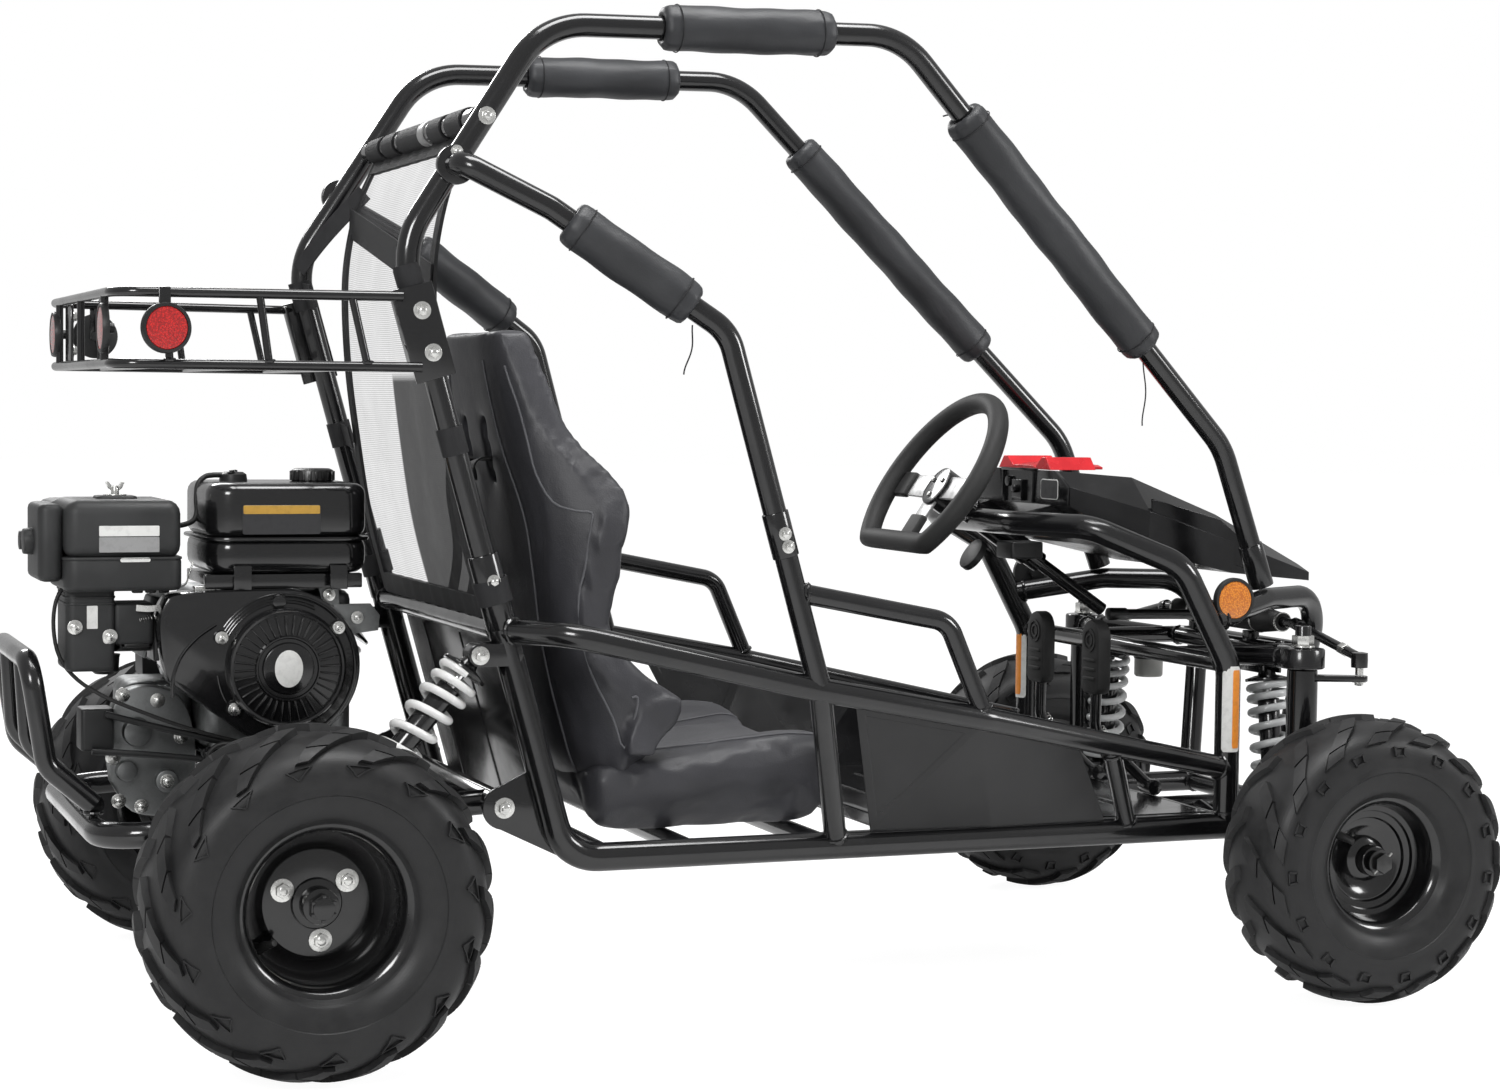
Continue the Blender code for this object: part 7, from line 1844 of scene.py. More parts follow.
def engine_block():
    """The crankcase with its base flange, and the leaning finned cylinder and head with its bolts."""
    shape = Shape()
    middle = at(0.026, -0.015, 0.438)
    shape.case(middle, (0.190, 0.210, 0.196), 0.022, 0.012)
    shape.case(middle - UP * 0.092, (0.172, 0.231, 0.012), 0.010, 0.003)
    along = Vector((-cos(radians(18)), 0, sin(radians(18))))
    turn = along.to_track_quat("X", "Z").to_matrix()
    start = CRANK + NEAR * 0.015
    shape.case(start + along * 0.087, (0.145, 0.069, 0.069), 0.012, 0.004, turn)
    for i in range(9):
        centre = start + along * 0.145 * (0.64 + 0.048 * i)
        shape.case(centre, (0.0026, 0.110, 0.086), 0.0012, 0.0005, turn, 2, 1)
    for y in (-0.045, 0.045):
        for z in (-0.030, 0.030):
            spot = start + along * 0.146 + turn @ Vector((0, y, z))
            shape.bolt(spot, along, 0.0050)
    shape.piece("engine_case", Paints.cast, "chassis", "engine")


def tank_and_filter():
    """The pressed tank with its cap and vent, and the air cleaner with its lower housing."""
    tank = Shape()
    tank.case(at(0.032, -0.070, 0.5835), (0.200, 0.190, 0.047), 0.034, 0.016, steps=8, rim=4)
    tank.case(at(0.032, -0.070, 0.638), (0.200, 0.190, 0.068), 0.034, 0.014, steps=8, rim=4)
    tank.case(at(0.032, -0.070, 0.6035), (0.209, 0.199, 0.0050), 0.038, 0.0020, steps=8, rim=2)
    for end in (-0.060, 0.060):
        foot = at(0.032 + end, -0.070, 0.562)
        tank.rod(foot - UP * 0.0255, foot, 0.0100, sides=20)
    for place in (-0.060, 0.060):
        tank.block(at(0.032 + place, -0.166, 0.556), (0.022, 0.004, 0.030), bevel=0.001)
    tank.block(at(0.026, -0.150, 0.551), (0.196, 0.012, 0.018), bevel=0.0015)
    tank.block(at(0.026, -0.060, 0.551), (0.180, 0.160, 0.014), bevel=0.0015)
    tank.piece("fuel_tank_shell", Paints.engine_black, "chassis", "fuel_tank", 40)
    cap = Shape()
    top = at(0.084, -0.047, 0.671)
    cap.turned(
        [(0, 0.017), (0.022, 0.017), (0.0262, 0.0150), (0.0275, 0.0110), (0.0275, 0.0020), (0.0240, 0), (0, 0)], top,
        UP, 48
    )
    for i in range(20):
        turn = Matrix.Rotation(tau * i / 20, 3, "Z")
        cap.block(top + UP * 0.0080 + turn @ Vector((0.0272, 0, 0)), (0.0030, 0.0042, 0.0120), turn, 0.0008)
    cap.piece("fuel_cap", Paints.dark_steel)
    vent = Shape()
    neck = at(-0.018, -0.051, 0.671)
    vent.turned([(0, 0.0125), (0.012, 0.0125), (0.0165, 0.0095), (0.0175, 0.0030), (0.0175, 0), (0, 0)], neck, UP, 40)
    vent.rod(neck + UP * 0.0085 - FORWARD * 0.010, neck + UP * 0.0085 - FORWARD * 0.024, 0.0034, sides=16)
    for side in (-1, 1):
        vent.bolt(neck + Vector((0.004 * side, 0.010 * side, 0.0115)), UP, 0.0030)
    vent.piece("tank_vent", Paints.plastic)
    labels("tank_blank_label", Paints.label_dark, (0.0205, 0.6275, (0.097, 0.036), -0.1654, 0.003))
    labels("tank_label_strip", Paints.label_gold, (0.0205, 0.6400, (0.095, 0.0105), -0.1659, 0.0015))
    cleaner = Shape()
    centre = at(-0.172, -0.095, 0.597)
    cleaner.case(centre + UP * 0.019, (0.140, 0.150, 0.072), 0.017, 0.017, steps=6, rim=4)
    cleaner.case(centre - UP * 0.0345, (0.142, 0.152, 0.041), 0.017, 0.006, steps=6)
    cleaner.case(centre - UP * 0.0155, (0.1436, 0.1536, 0.0036), 0.0175, 0.0014, steps=6, rim=2)
    cleaner.case(centre + UP * 0.0545, (0.050, 0.046, 0.008), 0.010, 0.003)
    low = at(-0.2084, -0.1025, 0.498)
    cleaner.case(low, (0.0588, 0.090, 0.110), 0.011, 0.006)
    for i in range(4):
        cleaner.case(low + UP * (0.051 - 0.0078 * i), (0.0612, 0.0924, 0.0032), 0.012, 0.0013, rim=2)
    cleaner.case(at(-0.156, -0.110, 0.500), (0.050, 0.062, 0.050), 0.008, 0.004)
    cleaner.case(at(-0.2565, -0.095, 0.600), (0.030, 0.118, 0.094), 0.012, 0.008)
    cleaner.rod(at(-0.270, -0.095, 0.600), at(-0.283, -0.095, 0.600), 0.017, 0.0155, sides=32, bevel=0.0012)
    cleaner.piece("air_cleaner_housing", Paints.dull_plastic, "chassis", "air_cleaner", 34)
    nut = Shape()
    lid = centre + UP * 0.0585
    nut.rod(lid, lid + UP * 0.0014, 0.0140, sides=32, bevel=0.0004)
    nut.rod(lid, lid + UP * 0.0120, 0.0052, 0.0042, sides=20, bevel=0.0006)
    for side in (-1, 1):
        wing = [(0.002, 0.004), (0.0085, 0.009), (0.0118, 0.0165), (0.0080, 0.0175), (0.0030, 0.0105)]
        outline = [(lid.x + side * x, lid.z + z) for x, z in wing]
        nut.plate(outline, 0.0026, upright_plane(lid.y), 0.0006)
    nut.piece("air_cleaner_wing_nut", Paints.zinc)
    labels(
        "air_cleaner_blank_labels", Paints.label_white,
        (-0.166, 0.6150, (0.072, 0.0125), -0.1704, 0.001),
        (-0.159, 0.5800, (0.036, 0.0052), -0.1714, 0.002),
        (-0.2070, 0.5095, (0.013, 0.028), -0.1480, 0.001),
    )
    labels("air_cleaner_grey_label", Paints.label_grey, (-0.166, 0.5985, (0.072, 0.0185), -0.1702, 0.001))


def carburettor():
    """The carburettor's bowl, levers and the links beside it."""
    metal_part = Shape()
    bowl = at(-0.188, -0.120, 0.462)
    metal_part.turned(
        [(0, -0.024), (0.012, -0.024), (0.0165, -0.0205), (0.0175, -0.004), (0.0185, 0), (0, 0)], bowl, UP, 40
    )
    metal_part.rod(at(-0.176, -0.105, 0.480), at(-0.125, -0.105, 0.480), 0.0165, sides=28, bevel=0.0015)
    metal_part.case(at(-0.150, -0.112, 0.486), (0.036, 0.034, 0.032), 0.005, 0.003)
    metal_part.case(at(-0.128, -0.112, 0.480), (0.008, 0.058, 0.052), 0.006, 0.0015)
    metal_part.piece("carburettor_body", Paints.dark_steel)
    lever = Shape()
    run = [at(-0.154, -0.146, 0.520), at(-0.140, -0.150, 0.519), at(-0.126, -0.150, 0.520)]
    lever.strap(curved(run, 4), UP, 0.0075, 0.0022)
    link = [at(-0.130, -0.135, 0.542), at(-0.096, -0.135, 0.545), at(-0.088, -0.135, 0.560), at(-0.083, -0.135, 0.575)]
    lever.tube(curved(link, 4), 0.0011, 8)
    lever.case(at(-0.070, -0.140, 0.541), (0.028, 0.012, 0.009), 0.003, 0.001)
    lever.rod(at(-0.190, -0.130, 0.4815), at(-0.190, -0.149, 0.4815), 0.0045, sides=16)
    lever.bolt(at(-0.228, -0.150, 0.498), NEAR, 0.0052)
    lever.bolt(at(-0.186, -0.148, 0.486), NEAR, 0.0052)
    spring = helix(at(-0.150, -0.140, 0.505), at(-0.108, -0.140, 0.512), 0.0030, 14, 10)
    lever.tube(spring, 0.0005, 6)
    lever.piece("carburettor_levers", Paints.zinc)
    dark = Shape()
    for line, radius in (
        ([at(-0.189, -0.130, 0.389), at(-0.110, -0.132, 0.367), at(-0.031, -0.128, 0.347)], 0.0042),
        ([at(-0.205, -0.130, 0.344), at(-0.140, -0.131, 0.338), at(-0.068, -0.128, 0.329)], 0.0042),
    ):
        dark.tube(curved(line, 6), radius, 12)
    dark.case(at(-0.197, -0.100, 0.369), (0.040, 0.046, 0.052), 0.005, 0.003)
    for i in range(6):
        spot = at(-0.150 + 0.016 * (i % 3), -0.128, 0.556 - 0.014 * (i // 3))
        dark.case(spot, (0.013, 0.012, 0.010), 0.003, 0.0015)
    dark.piece("control_linkage", Paints.plastic)


def drive_side():
    """The reduction gearbox, its near cover, the drive sprocket, the silencer and the chain."""
    box = Shape()
    centre = at(-0.1118, 0, 0.345)
    box.case(centre, (0.085, 0.120, 0.150), 0.018, 0.014)
    shaft = at(-0.1118, 0.155, 0.330)
    box.rod(Vector((shaft.x, 0, shaft.z)), shaft + LEFT * 0.0022, 0.0100, sides=24)
    cover = curved_outline([(at(s, 0, 0).x, z) for s, z in (
        (-0.176, 0.300), (-0.150, 0.262), (-0.104, 0.258), (-0.076, 0.290), (-0.072, 0.350), (-0.092, 0.405),
        (-0.140, 0.418), (-0.172, 0.398), (-0.180, 0.345), (-0.176, 0.300),
    )][:-1] + [(at(-0.176, 0, 0).x, 0.301)])
    box.plate(cover, 0.030, upright_plane(-0.075), 0.0040)
    for station, height, radius in ((-0.145, 0.362, 0.0185), (-0.158, 0.314, 0.0135), (-0.109, 0.300, 0.0150)):
        spot = at(station, -0.088, height)
        box.rod(spot, spot + NEAR * 0.014, radius, radius * 0.92, sides=32, bevel=0.0015)
    box.piece("gearbox_case", Paints.cast, "chassis", "gearbox", 34)
    steel = Shape()
    for station, height in (
        (-0.162, 0.408), (-0.119, 0.400), (-0.090, 0.354), (-0.109, 0.300), (-0.139, 0.268), (-0.167, 0.276),
        (-0.174, 0.330)
    ):
        depth = -0.102 if height == 0.300 else -0.0895
        steel.bolt(at(station, depth, height), NEAR, 0.0052)
    steel.piece("gearbox_bolts", Paints.zinc)
    teeth(shaft, 0.0262, 13, "drive_sprocket", "chassis")
    pot = Shape()
    middle = at(-0.172, 0.038, 0.5945)
    pot.case(middle, (0.150, 0.115, 0.105), 0.022, 0.018)
    pot.rod(middle - FORWARD * 0.070, middle - FORWARD * 0.100, 0.0120, sides=28, bevel=0.001)
    for i in range(6):
        pot.block(middle + Vector((-0.045 + 0.018 * i, 0.0575, 0)), (0.006, 0.003, 0.070), bevel=0.001)
    pot.piece("silencer_box", Paints.dull_plastic, "chassis", "muffler")
    chain(shaft)


def teeth(centre, radius, count, name, body):
    """A toothed sprocket on the y axis."""
    outline = []
    for i in range(count):
        for share, reach in ((0, -0.0030), (0.22, -0.0022), (0.40, 0.0030), (0.60, 0.0030), (0.78, -0.0022)):
            spot = centre + spoke(radius + reach, tau * (i + share) / count)
            outline.append((spot.x, spot.z))
    shape = Shape()
    shape.plate(outline, 0.0046, upright_plane(centre.y), 0.0004)
    shape.rod(centre - LEFT * 0.009, centre + LEFT * 0.006, radius * 0.45, sides=28, bevel=0.0010)
    shape.piece(name, Paints.dark_steel, body)


def chain(shaft):
    """Roller chain round both sprockets, link by link."""
    axle = at(0, 0.155, REAR_RADIUS)
    large, small = 0.0830, 0.0300
    along = shaft - axle
    lean = atan2(along.z, along.x)
    wrap = pi / 2 + asin((large - small) / along.length)
    line = []
    for i in range(41):
        angle = lean + pi - wrap + 2 * wrap * i / 40
        line.append(axle + spoke(large, angle))
    for i in range(21):
        angle = lean - pi + wrap + 2 * (pi - wrap) * i / 20
        line.append(shaft + spoke(small, angle))
    line.append(line[0])
    total = sum((b - a).length for a, b in zip(line, line[1:]))
    count = 2 * round(total / 0.0254)
    pins = []
    run, index = 0.0, 0
    for i in range(count):
        goal = total * i / count
        while run + (line[index + 1] - line[index]).length < goal:
            run += (line[index + 1] - line[index]).length
            index += 1
        step = line[index + 1] - line[index]
        pins.append(line[index] + step * (goal - run) / step.length)
    shape = Shape()
    for i, pin in enumerate(pins):
        after = pins[(i + 1) % count]
        shape.rod(pin - LEFT * 0.0062, pin + LEFT * 0.0062, 0.0030, sides=8)
        ahead = after - pin
        middle = (pin + after) / 2
        turn = Matrix.Rotation(-atan2(ahead.z, ahead.x), 3, "Y")
        for side in (-1, 1):
            place = middle + LEFT * side * (0.0046 if i % 2 else 0.0030)
            outline = outline_arc(
                (-ahead.length / 2, 0), 0.0048, 90, 270, 4
            ) + outline_arc((ahead.length / 2, 0), 0.0048, -90, 90, 4)
            frame_matrix = Matrix.Translation(place) @ turn.to_4x4() @ Matrix.Rotation(QUARTER, 4, "X")
            shape.plate(outline, 0.0013, frame_matrix)
    shape.piece("chain_links", Paints.dark_steel, "chassis", "drive_chain")


def hoses():
    """The vent hose, the throttle cable and the brake hose, each back into the kart."""
    runs = (
        ("vent_hose", 0.0068, [
            at(-0.042, -0.051, 0.6795), at(-0.054, -0.054, 0.6775), at(-0.064, -0.060, 0.668),
            at(-0.067, -0.066, 0.650),
            at(-0.067, -0.070, 0.634), at(-0.072, -0.072, 0.623), at(-0.086, -0.074, 0.6175),
            at(-0.1025, -0.074, 0.617)]),
        ("throttle_cable", 0.0050, [
            at(-0.236, -0.120, 0.548), at(-0.247, -0.122, 0.527), at(-0.250, -0.124, 0.495), at(-0.243, -0.126, 0.460),
            at(-0.222, -0.130, 0.432), at(-0.190, -0.136, 0.411), at(-0.150, -0.138, 0.393), at(-0.099, -0.138, 0.373),
            at(-0.050, -0.134, 0.357), at(-0.020, -0.128, 0.349)]),
        ("brake_hose", 0.0060, [
            at(-0.062, -0.150, 0.313), at(-0.066, -0.152, 0.340), at(-0.040, -0.160, 0.352), at(0.020, -0.186, 0.330),
            at(0.080, -0.212, 0.300), at(0.100, -0.218, 0.286)]),
    )
    for name, width, points in runs:
        line = curved(points, 4)
        shape = Shape()
        shape.tube(line, width / 2, 12)
        made = shape.piece(name, Paints.rubber)
        run = sum((b - a).length for a, b in zip(line, line[1:]))
        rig.cord(made, exit=line[0], length=run, diameter=width, far_end="object", stiffness="medium", path=line)


def engine():
    engine_block()
    fan_shroud()
    tank_and_filter()
    carburettor()
    drive_side()
    hoses()


def disc_reflector(name, centre, axis, paint):
    """A round reflector: a prismatic lens in a dark rim."""
    rim = Shape()
    rim.turned(
        [(0.0255, 0.0005), (0.0255, 0.0080), (0.0290, 0.0080), (0.0300, 0.0060), (0.0300, 0), (0, 0), (0, 0.0005)],
        centre, axis, 48
    )
    rim.rod(centre - axis * 0.009, centre + axis * 0.001, 0.0060, sides=20)
    rim.piece(name + "_rim", Paints.plastic)
    glass = Shape()
    glass.turned(
        [(0, 0.0085), (0.0150, 0.0083), (0.0245, 0.0075), (0.0258, 0.0060), (0.0258, 0.0004), (0, 0.0004)], centre,
        axis, 48
    )
    glass.piece(name + "_lens", paint)


def luggage_rack():
    """Two rod loops with uprights and floor rods, bolted bracket plates and four reflectors."""
    rack = Shape()
    loops = []
    for height in (0.900, 0.816):
        start = on_post(height)
        start = start - FORWARD * (CAGE_RADIUS + 0.004) + LEFT * (CAGE_RADIUS + 0.006)
        corner = at(-0.200, 0.268, height)
        loops.append((start, corner))
        rack.tube(rounded(mirrored_line([start, corner]), 0.035), 0.0060, 16)
    (top_start, top_corner), (low_start, low_corner) = loops
    steel = Shape()
    for _, side in SIDES:
        for share in (0.18, 0.50, 0.82):
            top = flipped(top_start.lerp(top_corner, share), side)
            low = flipped(low_start.lerp(low_corner, share), side)
            rack.rod(low, top, 0.0048, sides=16)
            rack.bead(low + UP * 0.005, UP, 0.0048)
        middle = (top_start + low_start) / 2
        middle.y = 0.3174
        lean = POST_BEND - POST_FOOT
        turn = Matrix.Rotation(atan2(lean.x, lean.z), 3, "Y")
        plate_spot = flipped(middle + FORWARD * CAGE_RADIUS, side)
        rack.block(plate_spot, (0.050, 0.005, 0.115), turn, 0.0012)
        rack.block(
            plate_spot + turn @ Vector((-0.024, 0, 0.010)) - LEFT * side * 0.007, (0.004, 0.018, 0.090), turn, 0.0010
        )
        for end in (0.026, -0.026):
            steel.bolt(plate_spot + turn @ Vector((0.004, 0, end)) + LEFT * side * 0.0025, LEFT * side, 0.0062)
    for share in (0.18, 0.50, 0.82):
        low = low_start.lerp(low_corner, share)
        rack.rod(low, flipped(low, -1), 0.0048, sides=16)
    for share in (-0.75, 0, 0.75):
        y = top_corner.y * share
        rack.rod(Vector((low_corner.x, y, low_corner.z)), Vector((top_corner.x, y, top_corner.z)), 0.0048, sides=16)
    for _, side in SIDES:
        rack.block(at(-0.194, side * 0.150, 0.858), (0.004, 0.052, 0.074), bevel=0.0010)
    rack.piece("luggage_rack_rods", Paints.frame_black, "chassis", "luggage_rack")
    for name, side in SIDES:
        aim = Vector(((top_corner.y - top_start.y) / (top_corner.x - top_start.x), -1, 0)).normalized()
        aim = flipped(Vector((aim.x, -aim.y, 0)), side)
        top = flipped(top_start.lerp(top_corner, 0.83), side)
        disc = top - UP * 0.042 + aim * 0.0075
        disc_reflector("side_reflector_" + name, disc, aim, Paints.red_lens)
        hanger = Shape()
        hanger.block(top - UP * 0.020 + aim * 0.0060, (0.014, 0.0030, 0.052), bevel=0.0008)
        hanger.piece("side_reflector_strap_" + name, Paints.frame_black)
        rear = at(-0.200, side * 0.215, 0.858)
        disc_reflector("rear_reflector_" + name, rear, -FORWARD, Paints.red_lens)
        steel.bolt(at(-0.1915, side * 0.138, 0.880), FORWARD, 0.0050)
        steel.bolt(at(-0.1915, side * 0.138, 0.836), FORWARD, 0.0050)
    steel.piece("rack_bolts", Paints.zinc)


def rear_guard():
    shape = Shape()
    foot = at(-0.206, 0.150, 0.2813)
    knee = at(-0.262, 0.150, 0.330)
    top = at(-0.282, 0.150, 0.458)
    shape.tube(rounded(mirrored_line([foot, knee, top]), 0.035), 0.0130, 20)
    for _, side in SIDES:
        line = [at(-0.282, 0.075, 0.458), at(-0.275, 0.075, 0.350), at(-0.206, 0.075, 0.2813)]
        shape.tube(rounded([flipped(point, side) for point in line], 0.035), 0.0104, 18)
    shape.rod(foot, flipped(foot, -1), 0.0130, sides=20)
    for y in (-0.150, -0.075, 0.075, 0.150):
        shape.bead(at(-0.206, y, 0.2715), UP, 0.0100)
    shape.piece("rear_guard_tubes", Paints.frame_black, "chassis", "rear_guard")


def swing_arm():
    """The swing arm's tubes, pivot, engine deck, bearing housings, caliper and shock feet."""
    shape = Shape()
    pivot = at(0.269, ARM_ACROSS, 0.278)
    knee = at(0.085, ARM_ACROSS, 0.268)
    rear = at(-0.206, ARM_ACROSS, 0.252)
    shape.tube(rounded(mirrored_line([pivot, knee, rear]), 0.060), 0.0160, 20)
    shape.rod(at(0.269, -0.2920, 0.278), at(0.269, 0.2920, 0.278), 0.0170, sides=28, bevel=0.0010)
    shape.block(at(0.026, 0, 0.3372), (0.190, 0.2914, 0.005), bevel=0.0010)
    axle = at(0, 0, REAR_RADIUS)
    for _, side in SIDES:
        bearing = axle + LEFT * side * ARM_ACROSS
        profile = [(0.0140, -0.012), (0.034, -0.012), (0.036, -0.010), (0.036, 0.010), (0.034, 0.012), (0.0140, 0.012)]
        shape.turned(profile, bearing, LEFT, 48, closed=True)
        shape.block(bearing + UP * 0.034, (0.056, 0.0236, 0.030), bevel=0.0020)
        foot = at(0.085, side * ARM_ACROSS, 0.296)
        shape.rod(foot, at(0.085, side * 0.2885, 0.296), 0.0140, sides=24, bevel=0.0010)
        shape.rod(foot, foot - UP * 0.040, 0.0140, sides=24)
        for station in (-0.0614, 0.102):
            top = at(station, side * 0.129, 0.3372)
            low = at(station, side * ARM_ACROSS, 0.252)
            shape.rod(low, top, 0.0112, sides=20)
            shape.bead(low.lerp(top, 0.14), top - low, 0.0112)
    shape.piece("swing_arm_tubes", Paints.frame_black, "chassis", "swing_arm")
    steel = Shape()
    for _, side in SIDES:
        for angle in (45, 135, 225, 315):
            turn = radians(angle)
            steel.bolt(axle + LEFT * side * 0.247 + spoke(0.026, turn), LEFT * side, 0.0042)
    for station in (-0.050, 0.102):
        for y in (-0.095, 0.095):
            steel.bolt(at(station, y, 0.3397), UP, 0.0056)
    steel.piece("swing_arm_bolts", Paints.zinc)
    caliper = Shape()
    for side in (-1, 1):
        caliper.case(at(-0.055, -0.150 + side * 0.0115, 0.268), (0.044, 0.0125, 0.088), 0.006, 0.003)
    caliper.case(at(-0.068, -0.150, 0.306), (0.018, 0.034, 0.012), 0.003, 0.002)
    caliper.rod(at(-0.055, -0.162, 0.262), at(-0.055, -0.174, 0.262), 0.0150, 0.0140, sides=32, bevel=0.0012)
    caliper.piece("brake_caliper", Paints.cast)


def rear_axle():
    """The live axle with its hubs, drilled disc and sprocket."""
    axle = at(0, 0, REAR_RADIUS)
    shape = Shape()
    shape.rod(axle - LEFT * 0.4860, axle + LEFT * 0.4860, 0.0123, sides=32)
    for side in (-1, 1):
        hub = axle + LEFT * side * 0.4577
        profile = [
            (0, 0), (0.0515, 0), (0.052, -0.001), (0.052, -0.0070), (0.050, -0.008), (0.031, -0.008), (0.029, -0.012),
            (0.0285, -0.045), (0, -0.045)
        ]
        shape.turned(profile, hub - LEFT * side * 0.0006, LEFT * side, 48)
    for y, radius in ((0.155, 0.030), (-0.150, 0.030)):
        spot = axle + LEFT * y
        inner = LEFT * (-0.026 if y > 0 else 0.026)
        shape.rod(spot + inner, spot - inner * 0.2, radius, sides=36, bevel=0.0015)
    shape.piece("rear_axle_shaft", Paints.dark_steel, "rear_wheels", "rear_axle")
    disc = Shape()
    disc.turned(
        [(0.030, -0.0019), (0.0745, -0.0019), (0.0745, 0.0019), (0.030, 0.0019)], axle - LEFT * 0.150, LEFT, 72,
        closed=True
    )
    for i in range(24):
        angle = tau * i / 24
        reach = 0.056 + 0.008 * (i % 3 - 1)
        spot = axle - LEFT * 0.150 + spoke(reach, angle)
        disc.turned(
            [(0.0022, -0.0021), (0.0032, -0.0021), (0.0032, 0.0021), (0.0022, 0.0021)], spot, LEFT, 16, closed=True
        )
    disc.piece("brake_disc", Paints.brushed, "rear_wheels")
    teeth(axle + LEFT * 0.155, 0.0775, 38, "axle_sprocket", "rear_wheels")


def steering_wheel():
    """The flat-bottomed wheel: grip foam, three spokes in sleeves, hub and stepped column."""
    rise = COLUMN_AXIS.cross(LEFT)
    if rise.z < 0:
        rise = -rise
    grip = Shape()
    ring = [radians(-46 + 272 * i / 90) for i in range(91)]
    loop = [WHEEL_CENTRE + (LEFT * cos(a) + rise * sin(a)) * 0.136 for a in ring]
    corner = loop[-1].lerp(loop[0], 0.5)
    bottom = [loop[-1].lerp(loop[0], i / 12) for i in range(1, 12)]
    grip.tube(loop + bottom, 0.0145, 24, closed=True)
    for angle in (0, 180, 270):
        turn = radians(angle)
        out = LEFT * cos(turn) + rise * sin(turn)
        reach = 0.136 if angle != 270 else (corner - WHEEL_CENTRE).length
        cross = COLUMN_AXIS.cross(out)
        frame_matrix = Matrix((out, cross, COLUMN_AXIS)).transposed()
        grip.case(
            WHEEL_CENTRE + out * (reach - 0.026) + COLUMN_AXIS * 0.0105, (0.046, 0.0390, 0.0105), 0.004, 0.003,
            frame_matrix
        )
    grip.piece("steering_wheel_grip", Paints.grip, "steering_wheel", "steering_wheel")
    spokes = Shape()
    for angle in (0, 180, 270):
        turn = radians(angle)
        out = LEFT * cos(turn) + rise * sin(turn)
        cross = COLUMN_AXIS.cross(out)
        frame_matrix = Matrix((out, cross, COLUMN_AXIS)).transposed()
        reach = 0.122 if angle != 270 else 0.084
        outline = [(0.016, -0.0185), (reach, -0.0165), (reach, 0.0165), (0.016, 0.0185)]
        placed = Matrix.Translation(WHEEL_CENTRE + COLUMN_AXIS * 0.012) @ frame_matrix.to_4x4()
        spokes.plate(outline, 0.0040, placed, 0.0008)
    spokes.piece("steering_spokes", Paints.brushed, "steering_wheel")
    hub = Shape()
    profile = [
        (0, 0.0050), (0.0235, 0.0050), (0.0295, 0.0065), (0.0300, 0.0090), (0.0300, 0.0340), (0.0220, 0.0360),
        (0.0150, 0.0370), (0.0150, 0.0600), (0.0120, 0.0620), (0.0095, 0.0640), (0.0095, 0.3280), (0, 0.3280),
    ]
    hub.turned(profile, WHEEL_CENTRE, COLUMN_AXIS, 48)
    hub.turned(
        [(0.0095, 0.184), (0.0150, 0.184), (0.0150, 0.204), (0.0095, 0.204)], WHEEL_CENTRE, COLUMN_AXIS, 32, closed=True
    )
    hub.piece("steering_column", Paints.frame_black, "steering_wheel")
    bolts = Shape()
    for i in range(3):
        angle = radians(30 + 120 * i)
        out = (LEFT * cos(angle) + rise * sin(angle)) * 0.0165
        bolts.bolt(WHEEL_CENTRE + out + COLUMN_AXIS * 0.0058, -COLUMN_AXIS, 0.0034, washer=False)
    bolts.piece("steering_hub_bolts", Paints.zinc, "steering_wheel")


